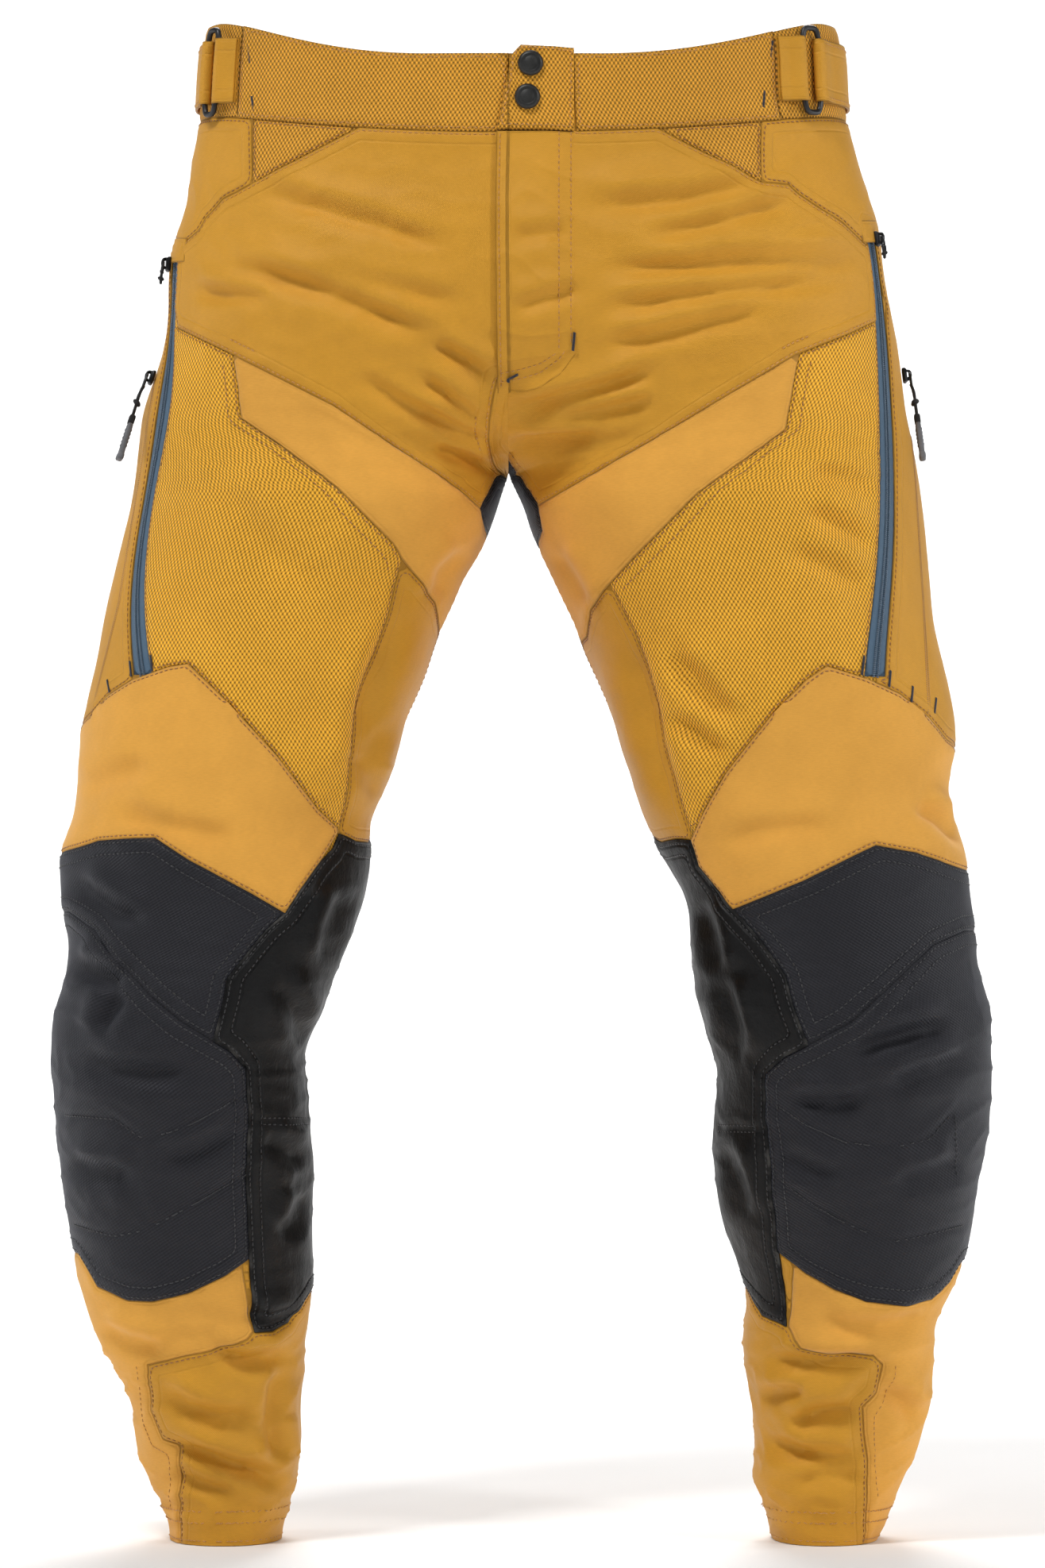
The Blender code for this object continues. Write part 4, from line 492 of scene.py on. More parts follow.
def vent_path(side):
    """(u, z) along the smoothed middle of a vent zip."""
    line = np.array(VENT_LINE[side])
    fit = np.polyfit(line[:, 1] / 1000 - 0.7, line[:, 0], 6)
    levels = np.linspace(line[:, 1].max(), line[:, 1].min(), 60)
    return front_many(side, np.polyval(fit, levels / 1000 - 0.7), levels)


def vent_ring(side):
    """Sheet outline of an even strip of tape along the vent zip."""
    u, z = VENT_PATH[side]
    half = VENT_HALF_WIDTH / (ROUND * stretch(side, u, z))
    return (list(zip((u - half).tolist(), z.tolist()))
            + list(zip((u + half)[::-1].tolist(), z[::-1].tolist())))


def outline(side, pieces):
    """A closed seam outline on the sheet, in (u * ROUND, z), sampled about every 4 mm."""
    at = []
    for kind, points in pieces:
        pairs_on = zip(points, points[1:] + points[-1:])
        if kind == "front":
            xs, zs = [], []
            for (xa, za), (xb, zb) in pairs_on:
                steps = max(1, int(math.hypot(xb - xa, zb - za) / 4))
                xs += [xa + (xb - xa) * i / steps for i in range(steps)]
                zs += [za + (zb - za) * i / steps for i in range(steps)]
            at += list(zip(*front_many(side, xs, zs)))
        elif kind == "sheet":
            at += points
        else:
            level = band_z if kind == "band" else rim_z
            for a, b in pairs_on:
                us = [a + (b - a) * i / 12 for i in range(12 if a != b else 1)]
                at += [(u, float(level(max(0, u)))) for u in us]
    closed = []
    for a, b in zip(at, at[1:] + at[:1]):
        a, b = np.array([a[0] * ROUND, a[1]], float), np.array([b[0] * ROUND, b[1]], float)
        steps = max(1, int(np.hypot(*(b - a)) / 0.004))
        closed += [a + (b - a) * i / steps for i in range(steps)]
    kept = [closed[0]]
    for p in closed[1:]:
        if np.hypot(*(p - kept[-1])) > 1e-4:
            kept.append(p)
    return np.array(kept)


def panel_name(stem, side):
    return stem if stem in ("fly_zipper", "snap_underlap") else f"{stem}_{WORD[side]}"


VENT_PATH = {side: vent_path(side) for side in "RL"}
LOOPS = {side: [(panel_name(stem, side), outline(side, pieces or [("sheet", vent_ring(side))]))
                for stem, pieces in PANELS[side]] for side in "RL"}


# ---------------------------------------------------------------- cutting the sheet
def even_odd(loop, points):
    x, y = points[:, 0][:, None], points[:, 1][:, None]
    ax, ay = loop[:, 0][None], loop[:, 1][None]
    bx, by = np.roll(loop[:, 0], -1)[None], np.roll(loop[:, 1], -1)[None]
    with np.errstate(divide="ignore", invalid="ignore"):
        hit = ((ay > y) != (by > y)) & (x < (bx - ax) * (y - ay) / (by - ay) + ax)
    return hit.sum(1) % 2 == 1


def inside(loop, points):
    in_box = ((points >= loop.min(0)) & (points <= loop.max(0))).all(1)
    found = np.zeros(len(points), bool)
    index = np.flatnonzero(in_box)
    for k in range(0, len(index), 4000):
        found[index[k : k + 4000]] = even_odd(loop, points[index[k : k + 4000]])
    return found


def near(points, segments, reach):
    """Which points lie within reach of any segment."""
    found = np.zeros(len(points), bool)
    order = np.argsort(points[:, 1], kind="stable")
    level = points[order, 1]
    for a, b in segments:
        i, j = np.searchsorted(level, [min(a[1], b[1]) - reach, max(a[1], b[1]) + reach])
        index = order[i:j]
        p = points[index]
        close = (p[:, 0] > min(a[0], b[0]) - reach) & (p[:, 0] < max(a[0], b[0]) + reach)
        index, p = index[close], p[close]
        d = b - a
        t = np.clip(((p - a) @ d) / max(d @ d, 1e-15), 0, 1)
        found[index] |= np.hypot(*(p - a - t[:, None] * d).T) < reach
    return found


def label_at(side, points):
    """The panel that each sheet point lies in."""
    names = np.full(len(points), "thigh_back_panel_" + WORD[side], dtype=object)
    for name, loop in LOOPS[side]:
        names[inside(loop, points)] = name
    return names


def seen_runs(loop, later):
    """The stretches of a loop that no later panel covers and that lie on the sheet, with exact
    ends."""

    def shown(p):
        p = np.atleast_2d(p)
        ok = (p[:, 0] > 0) & (p[:, 0] < ROUND) & (p[:, 1] > 0)
        for other in later:
            ok &= ~inside(other, p)
        return ok

    def crossing(a, b):
        """Where the stretch a (shown) to b (covered) ends."""
        for _ in range(30):
            m = (a + b) / 2
            a, b = (m, b) if shown(m)[0] else (a, m)
        on_rim = abs(b[0]) < 1e-6 or abs(b[0] - ROUND) < 1e-6 or abs(b[1]) < 1e-6
        return b if on_rim else (a + b) / 2

    ok = shown(loop)
    count = len(loop)
    if ok.all():
        return [np.vstack([loop, loop[:1]])]
    if not ok.any():
        return []
    begin = next(i for i in range(count) if ok[i] and not ok[i - 1])
    runs, run = [], None
    for k in range(count + 1):
        i = (begin + k) % count
        if ok[i] and run is None and k < count:
            run = [crossing(loop[i], loop[i - 1]), loop[i]]
        elif ok[i] and run is not None and k < count:
            run.append(loop[i])
        elif run is not None:
            run.append(crossing(loop[i - 1], loop[i]))
            runs.append(np.array(run))
            run = None
    return runs


def joined(run, ends):
    """The run with every point where another seam ends on it, and those points."""
    forced = []
    for end in ends:
        a, d = run[:-1], np.diff(run, axis=0)
        t = np.clip(((end - a) * d).sum(1) / np.maximum((d * d).sum(1), 1e-15), 0, 1)
        far = np.hypot(*(end - a - t[:, None] * d).T)
        i = int(np.argmin(far))
        at_tip = min(np.hypot(*(end - run[0])), np.hypot(*(end - run[-1]))) < 4e-4
        if far[i] > 6e-4 or at_tip:
            continue
        forced.append(tuple(end))
        if np.hypot(*(end - run[i])) < 1.2e-3 and i > 0:
            run[i] = end
        elif np.hypot(*(end - run[i + 1])) < 1.2e-3 and i + 1 < len(run) - 1:
            run[i + 1] = end
        else:
            run = np.insert(run, i + 1, end, axis=0)
    return run, forced


def thinned(run, cell, forced):
    """The run with its corners and junctions kept and points about one cell apart between."""
    keep = {0, len(run) - 1}
    for end in forced:
        keep.add(int(np.argmin(np.hypot(*(run - np.array(end)).T))))
    fixed = np.array([run[i] for i in keep])
    for i in range(1, len(run) - 1):
        a, b = run[i] - run[i - 1], run[i + 1] - run[i]
        bend = abs(math.atan2(a[0] * b[1] - a[1] * b[0], a @ b))
        if bend > 0.30 and np.hypot(*(fixed - run[i]).T).min() > 0.2 * cell:
            keep.add(i)
    keep = sorted(keep)
    out = [run[0]]
    for i, j in zip(keep, keep[1:]):
        piece = run[i : j + 1]
        length = np.concatenate([[0], np.cumsum(np.hypot(*np.diff(piece, axis=0).T))])
        if length[-1] < 1e-5:
            continue
        at = np.linspace(0, length[-1], max(1, round(length[-1] / cell)) + 1)[1:]
        out += list(np.stack([np.interp(at, length, piece[:, k]) for k in (0, 1)], 1))
    return np.array(out)


def edge_runs(runs):
    """The sheet's two upright edges and its foot. Both upright edges carry the same heights, so
    that they can be sewn; seam ends on them are moved to those heights."""
    cuts = {0.0, CROTCH_Z}
    for run in runs:
        for end in (run[0], run[-1]):
            if end[0] < 2e-4 or end[0] > ROUND - 2e-4:
                end[0] = 0.0 if end[0] < 0.1 else ROUND
                cuts.add(float(end[1]))
    levels = sorted(cuts)
    merged = [levels[0]]
    for z in levels[1:]:
        if z - merged[-1] > 2e-4:
            merged.append(z)
    for run in runs:
        for end in (run[0], run[-1]):
            if end[0] in (0.0, ROUND):
                end[1] = min(merged, key=lambda z: abs(z - end[1]))
    full = []
    for a, b in zip(merged, merged[1:]):
        steps = max(1, round((b - a) / (CELL * 0.85)))
        full += [a + (b - a) * i / steps for i in range(steps)]
    full.append(merged[-1])
    top = {0.0: float(rim_z(0.0)), ROUND: float(band_z(1.0))}
    edges = [np.array([[x, z] for z in full if z <= top[x] + 1e-6]) for x in (0.0, ROUND)]
    on_foot = {float(e[0]) for r in runs + edges for e in (r[0], r[-1]) if abs(e[1]) < 1e-6}
    foot = sorted({0.0, ROUND} | on_foot)
    bottom = []
    for a, b in zip(foot, foot[1:]):
        steps = max(1, round((b - a) / CELL))
        bottom += [[a + (b - a) * i / steps, 0.0] for i in range(steps)]
    return edges + [np.array(bottom + [[ROUND, 0.0]])]


def cut_sheet(side):
    """Cuts one half's sheet along its seams: points, triangles and each triangle's panel."""
    names = [name for name, _ in LOOPS[side]] + ["", "", "thigh_back_panel_" + WORD[side]]
    loops = [loop for _, loop in LOOPS[side]]
    # the two waste pieces above the back of the band and above the front rim
    side_u = SIDE_U[side]
    loops.append(outline(side, [("band", [side_u, 0.4, 0.5, 0.6, 0.8, 1.02]),
                                ("sheet", [(1.02, 1.03), (side_u, 1.03)])]))
    loops.append(outline(side, [("rim", [-0.02, 0.04, 0.1, 0.16, 0.22, side_u]),
                                ("sheet", [(side_u, 1.03), (-0.02, 1.03)])]))
    runs = []
    for k, loop in enumerate(loops):
        runs += [r for r in seen_runs(loop, loops[k + 1 :]) if len(r) > 1]
    runs = [r for r in runs if np.hypot(*np.diff(r, axis=0).T).sum() > 5e-4]
    ends = [e for r in runs for e in (r[0].copy(), r[-1].copy())]
    runs = [thinned(r, CELL * 0.85, forced) for r, forced in (joined(r, ends) for r in runs)]
    runs += edge_runs(runs)
    segments = [(a, b) for r in runs for a, b in zip(r, r[1:])]
    lattice = np.array([[(i + 0.5 * (j % 2)) * CELL, (j + 0.5) * CELL * 0.87]
                        for j in range(int(1.0 / (CELL * 0.87)))
                        for i in range(int(ROUND / CELL) + 1)])
    lattice = lattice[(lattice[:, 0] > 0.3 * CELL) & (lattice[:, 0] < ROUND - 0.3 * CELL)]
    lattice = lattice[~near(lattice, segments, 0.55 * CELL)]
    verts, edges = [], []
    for run in runs:
        first = len(verts)
        verts += [tuple(p) for p in run]
        edges += [(first + i, first + i + 1) for i in range(len(run) - 1)]
    verts += [tuple(p) for p in lattice]
    out = delaunay_2d_cdt([Vector(v) for v in verts], edges, [], 0, 3e-4, False)
    points = np.array([tuple(v) for v in out[0]])
    faces = np.array([f for f in out[2] if len(f) == 3])
    middle = points[faces].mean(1)
    label = np.full(len(faces), len(names) - 1)
    for k, loop in enumerate(loops):
        label[inside(loop, middle)] = k
    panel = np.array(names)[label]
    a, b, c = (points[faces[:, k]] for k in range(3))
    keep = (middle[:, 0] > 0) & (middle[:, 0] < ROUND) & (middle[:, 1] > 0)
    keep &= np.abs(np.cross(b - a, c - a)) > 1e-9
    return points, faces[keep], panel[keep]


# ---------------------------------------------------------------- folds
def fold_table(text):
    table = []
    for line in text.strip().splitlines():
        depth, width, points = line.split(maxsplit=2)
        table.append((pairs(points), float(depth), float(width)))
    return table


# depth mm, width mm, points of the valley line on the front elevation
FOLDS = fold_table("""
3.0 6.5 -202.8,845 -168.7,838.2 -125.1,824.5 -85.7,808.2 -51.5,793.5
2.0 5.0 -221.8,829.2 -203.9,825 -183.4,823.5 -161.9,818.7
2.2 6.0 -178.7,895.5 -138.7,883.4 -90.4,869.2 -43.6,852.4
2.6 5.0 -62,794 -41,781.9 -18.9,767.2
2.6 4.6 -68.3,770.4 -51.5,757.8 -33.1,744.1 -21,735.7
2.6 4.6 -72.5,754.1 -51.5,742 -21,725.2
2.4 4.0 -62,724.1 -41,717.8 -18.9,708.4
2.8 5.0 -11.6,746.2 23.6,755.7 53.6,763 90.4,775.6
2.4 4.6 16.8,741 53.6,748.3 90.4,755.7
2.4 4.4 -11.6,726.2 22.1,729.4 53.6,732.5
2.2 6.5 34.2,883.4 69.4,884.4 103,886.5 166.6,897.6
2.0 5.5 74.6,860.8 116.7,869.2 151.3,879.2 186,888.1
2.6 6.5 44.1,841.9 90.4,841.9 142.9,845 190.2,846.1 232.3,848.2
2.4 6.0 44.1,813.5 90.4,820.8 142.9,827.1 190.2,832.4 224.4,835.5
2.2 5.5 44.1,790.4 85.1,796.7 127.2,807.2 171.8,816.6
1.8 6.0 -146.1,846.1 -109.3,834.5 -72.5,824 -30.5,817.7
1.2 5.0 -9.5,861.8 11.6,863.9 32.6,866
1.4 5.0 -9.5,813.5 16.8,821.9 43.1,830.3
1.6 5.0 -114.6,772.5 -83,754.1 -51.5,735.7 -27.3,714.7
2.2 6.0 95.6,591.2 111.4,572.8 127.2,554.4 141.9,540.2
2.0 5.0 95.6,548.1 116.7,533.4 135.6,517.1
1.8 6.0 187.6,709.4 211.3,704.2 237.5,692.6
1.8 6.0 185,683.1 211.3,670.5 236.5,656.9
1.7 6.5 171.8,656.9 206,643.2 232.3,628
2.4 7.0 -83,614.8 -98.8,572.8 -108.3,530.8 -111.4,494
2.4 7.0 69.4,599.1 82.5,557 91.4,515 100.9,478.2
1.3 9.0 -211.8,704.2 -188.1,683.1 -161.9,651.6 -125.1,620.1
2.0 6.0 -93.5,483.5 -99.8,515 -90.4,546.5
1.8 7.0 -272.2,488.7 -245.9,474 -214.4,467.7 -182.9,463.5
1.6 7.0 -293.2,494 -272.2,504.5 -245.9,515
2.6 5.0 258.5,487.7 274.3,478.2 292.7,461.4
1.6 7.0 127.2,459.8 153.4,467.7 185,471.9 211.3,469.8
2.4 6.0 -300.6,441.4 -288,428.3 -270.1,415.1 -245.9,409.9
2.8 6.0 -299.5,382.6 -282.7,375.7 -261.7,367.8
2.6 5.0 -264.9,362.6 -273.3,349.5 -280.6,333.7
2.2 7.5 -301.6,320.6 -277.5,312.7 -245.9,309 -214.4,312.1
2.0 6.0 -302.7,249.6 -282.7,243.8 -256.4,241.7
1.6 6.0 -240.7,251.2 -214.4,258.5 -186,273.3
2.6 6.0 211.3,320.6 237.5,330 263.8,337.4 287.4,342.6
2.2 6.0 174.5,291.7 200.7,289 229.6,291.7
2.0 6.0 237.5,298.5 263.8,309 298,320.6
1.8 6.0 169.2,257.5 190.2,247 211.3,238.6
1.8 6.0 242.8,236.5 269.1,242.8 292.7,251.2
2.2 6.0 -164.5,373.1 -150.3,352.1 -144,325.8
2.0 6.0 -172.4,268 -156.6,257.5 -142.9,252.2
2.2 6.0 -161.9,199.7 -150.3,210.2 -141.9,231.2
2.4 7.0 -114.6,430.9 -125.1,404.6 -129.3,378.4
2.2 6.0 129.8,373.1 140.3,341.6 142.9,315.3
2.0 6.0 129.8,262.8 140.3,241.7 148.2,210.2
2.2 6.0 116.7,425.7 124.5,399.4 127.2,373.1
3.4 5.5 -238.6,67.8 -216,58.9 -193.4,49.9 -171.3,44.1 -149.8,33.1
2.8 5.0 -208.1,125.1 -182.9,119.8 -166.6,120.9 -150.3,123
2.6 5.5 -152.4,119.8 -164.5,102.5 -165.5,81.5 -163.4,62 -168.7,45.2
2.6 6.0 -242.8,99.8 -222.3,88.3 -198.6,80.9 -172.4,84.1
2.2 5.5 -282.7,142.9 -261.7,131.4 -235.4,126.1
2.2 5.0 -232.8,47.3 -214.4,37.8 -188.1,30.5
1.6 5.0 -188.1,152.4 -167.1,146.1 -146.1,152.4
2.8 5.5 159.8,119.8 185,117.7 211.3,119.8 231.7,122.4
2.8 5.5 174.5,76.2 195.5,84.1 224.4,88.3
3.0 5.5 157.6,67.3 185,57.8 226,52.5
2.4 5.0 156.1,94.6 171.8,98.8 190.2,99.8
2.0 5.0 179.7,39.4 200.7,43.1 224.9,41
2.2 6.0 232.3,102.5 248,94.6 263.8,78.8
1.8 6.0 190.2,147.1 216.5,140.8 248,142.9 274.3,152.4
1.2 4.0 -9.5,704.2 -15.8,725.2 -16.8,746.2
2.0 6.0 -35.7,656.9 -51.5,641.1 -57.8,620.1
2.0 6.0 17.9,656.9 30,635.9 40.5,614.8
""")
# the same for the sides and back: z, rise, first u, last u, depth mm, width mm
BACK_FOLDS = [
    (0.705, 0.018, 0.66, 0.94, 3.4, 8.0), (0.728, 0.020, 0.62, 0.90, 2.6, 7.0),
    (0.676, 0.014, 0.60, 0.92, 2.8, 8.0), (0.640, -0.016, 0.58, 0.84, 1.8, 8.0),
    (0.850, 0.010, 0.60, 0.82, 1.6, 8.0), (0.892, -0.008, 0.66, 0.90, 1.5, 7.0),
    (0.396, 0.010, 0.56, 0.92, 3.0, 7.0), (0.372, -0.008, 0.58, 0.96, 3.4, 6.0),
    (0.350, 0.008, 0.60, 0.90, 3.6, 6.0), (0.328, -0.008, 0.56, 0.94, 3.2, 6.0),
    (0.302, 0.010, 0.60, 0.90, 2.4, 7.0), (0.436, 0.012, 0.62, 0.90, 2.2, 8.0),
    (0.160, 0.016, 0.56, 0.90, 2.4, 7.0), (0.118, -0.014, 0.60, 0.96, 2.8, 6.0),
    (0.082, 0.012, 0.58, 0.88, 2.6, 6.0), (0.050, -0.010, 0.66, 0.98, 2.2, 5.0),
    (0.560, 0.020, 0.62, 0.86, 1.6, 9.0), (0.215, -0.012, 0.62, 0.94, 1.8, 8.0)]


def back_folds(side):
    """The folds of one half's side and back as (length round, z) lines in mm; the halves differ
    a little."""
    folds, way = [], -SIGN[side]
    for z, rise, first, last, depth, width in BACK_FOLDS:
        z, rise = z + 0.004 * way, rise * (0.6 + 0.4 * way)
        t = np.linspace(0, 1, 7)
        us = first + (last - first) * t
        zs = z + rise * np.sin(3.0 * t + way) + 0.004 * np.sin(9 * t + 40 * z)
        folds.append((list(zip(around(side, us, zs) / MM, zs / MM)), depth, width))
    return folds


SIDE_FOLDS = {side: back_folds(side) for side in "RL"}
# lines the cloth stays calm along, front elevation mm
ZIP_LINES = {
    "R": pairs("""-229.1,861.8 -229.1,824.5 -232.8,790.4 -238.6,749.4 -241.7,717.3 -250.1,686.8
        -254.9,647.9 -255.9,609.6 -252.2,573.8"""),
    "L": pairs("""227.5,869.2 236.5,836.6 240.7,809.3 241.7,754.1 243.3,693.7 241.2,658.5
        238.6,623.2 234.4,571.7""")}
POCKET_LINES = {"R": pairs("-242.8,770.4 -253.3,704.2 -267,620.1 -284.8,548.6"),
                "L": pairs("253.3,772.5 259.6,704.2 264.9,625.3 269.1,548.6")}
# stitched lines that dent the knees, right and left in turn
KNEE_LINES = [
    pairs("-303.7,281.1 -270.1,278.5 -250.1,264.9 -220.2,275.4 -184.5,294.3"),
    pairs("161.3,291.7 186.6,275.4 213.4,263.3 240.2,259.1 269.6,264.9 284.3,280.6"),
    pairs("-301.6,418.3 -285.9,410.9 -260.6,381.5 -240.7,360 -204.9,340.5"),
    pairs("189.2,331.6 216.5,352.1 242.8,374.2 266.4,396.2 292.7,409.9"),
    pairs("-298,208.6 -271.2,200.7 -250.1,204.4 -220.2,220.7 -182.3,242.3"),
    pairs("""166.6,243.3 186.6,226 206.5,212.8 227,203.4 247,197.1 268.5,201.8 291.7,208.6""")]
LEATHER_LINES = [pairs("-178.7,277.5 -139.8,277.5"), pairs("129.3,272.7 159.8,271.7")]


def line_distance(points, line):
    """(signed distance, place along, length) of points from a polyline."""
    line = np.array(line, float)
    seg = np.diff(line, axis=0)
    length = np.hypot(*seg.T)
    start = np.concatenate([[0], np.cumsum(length)])
    best, signed, along = np.full(len(points), 1e9), np.zeros(len(points)), np.zeros(len(points))
    for k in range(len(seg)):
        t = np.clip(((points - line[k]) @ seg[k]) / (length[k] ** 2), 0, 1)
        off = points - line[k] - t[:, None] * seg[k]
        far = np.hypot(*off.T)
        across = np.array([-seg[k][1], seg[k][0]]) / length[k]
        if not (across[1] > 0 or (across[1] == 0 and across[0] > 0)):
            across = -across
        closer = far < best
        best[closer] = far[closer]
        signed[closer] = (far * np.where(off @ across >= 0, 1, -1))[closer]
        along[closer] = (start[k] + t * length[k])[closer]
    return signed, along, start[-1]


def crease(points, line, depth, width):
    """Height in mm of one fold: a tight valley, a full roll above it and a low one below."""
    box = np.array(line, float)
    low, high = box.min(0) - 5 * width, box.max(0) + 5 * width
    index = np.flatnonzero(((points > low) & (points < high)).all(1))
    out = np.zeros(len(points))
    if len(index):
        s, along, length = line_distance(points[index], line)
        ends = smooth01(along / (0.26 * length)) * smooth01((length - along) / (0.26 * length))
        rolls = 0.75 * bell(s - 1.75 * width, 1.25 * width)
        rolls += 0.35 * bell(s + 2.0 * width, 1.4 * width)
        out[index] = depth * ends * (rolls - bell(s, width))
    return out


def waves(seed, count, low, high, tilt):
    """A seeded field of long, soft waves through space, roughly -1..1."""
    random = np.random.RandomState(seed)
    size = random.uniform(low, high, count)
    turn, lean = random.uniform(0, 2 * np.pi, count), random.normal(0, tilt, count)
    way = np.stack([np.sin(lean) * np.cos(turn), np.sin(lean) * np.sin(turn), np.cos(lean)], 1)
    way = way * (2 * np.pi / size)[:, None]
    phase, weight = random.uniform(0, 2 * np.pi, count), random.uniform(0.6, 1.0, count)
    return lambda p: (np.sin(p @ way.T + phase) * weight).sum(1) / math.sqrt(count)


SOFT = waves(seed=11, count=26, low=0.07, high=0.19, tilt=0.75)
FINE = waves(seed=23, count=30, low=0.024, high=0.060, tilt=0.55)
WARP = waves(seed=37, count=18, low=0.05, high=0.14, tilt=1.2)


def height(side, u, z):
    """How far the cloth stands out of the smooth envelope, metres."""
    u, z = np.atleast_1d(np.asarray(u, float)), np.atleast_1d(np.asarray(z, float))
    u, z = np.broadcast_arrays(u, z)
    p, n = envelope(side, u, z), normal(side, u, z)
    seen = to_front(p)
    look = smooth01((-n[:, 1] - 0.02) / 0.30)
    out = np.zeros(len(u))
    for line, depth, width in FOLDS:
        out += look * crease(seen, line, depth * 2.3, width * 1.15)
    flat = np.stack([around(side, u, z), z], 1) / MM
    away = smooth01((n[:, 1] + 0.25) / 0.30)
    for line, depth, width in SIDE_FOLDS[side]:
        out += away * crease(flat, line, depth * 1.6, width * 1.1)
    # soft swells and fine ridges, stronger on the shin, knee and hips
    warped = p + 0.012 * WARP(p)[:, None] * np.array([0.3, 0.3, 1.0])
    knee = bell(z - 0.30, 0.085)
    shin = smooth01((0.20 - z) / 0.10)
    hips = smooth01((z - 0.66) / 0.06) * (1 - smooth01((z - 0.88) / 0.04))
    out += 1.5 * SOFT(warped) * (0.75 + 0.5 * shin + 0.2 * knee)
    ridge = 1 - np.abs(np.clip(FINE(warped), -1, 1))
    out += (ridge**3 - 0.25) * (0.35 + 1.3 * shin + 0.8 * knee + 0.55 * hips)
    for line in KNEE_LINES + LEATHER_LINES:
        close = np.flatnonzero(np.abs(z - np.mean([b for _, b in line]) * MM) < 0.06)
        if len(close):
            s, _, _ = line_distance(seen[close], line)
            out[close] -= look[close] * 1.1 * bell(s, 2.6) * (np.abs(s) < 9)
    # the hem's stitched groove
    out -= 0.7 * bell(z - 0.0262, 0.0026) - 0.25 * smooth01((0.026 - z) / 0.003)
    # calm places: zips, waistband, inseam and centre seam, and the level hems
    stiff = np.ones(len(u))
    for lines in (ZIP_LINES, POCKET_LINES):
        s, _, _ = line_distance(seen, lines[side])
        stiff *= 1 - 0.94 * bell(s, 15.0) * smooth01((0.6 - n[:, 1]) / 0.4)
    stiff *= 1 - 0.90 * smooth01((z - 0.905) / 0.03)
    stiff *= smooth01((z + 0.004) / 0.022) * 0.85 + 0.15
    seam = np.minimum(u, 1 - u) * ROUND
    stiff = np.where(z < CROTCH_Z, stiff * (1 - 0.9 * bell(seam, 0.012)),
                     stiff * (1 - 0.75 * bell(seam, 0.006) * (u > 0.5)))
    return out * stiff * MM


def surface(side, u, z, out=0.0):
    """Points on the folded cloth, or so far out of it."""
    u, z = np.broadcast_arrays(np.atleast_1d(np.asarray(u, float)),
                               np.atleast_1d(np.asarray(z, float)))
    return envelope(side, u, z) + normal(side, u, z) * (height(side, u, z) + out)[:, None]


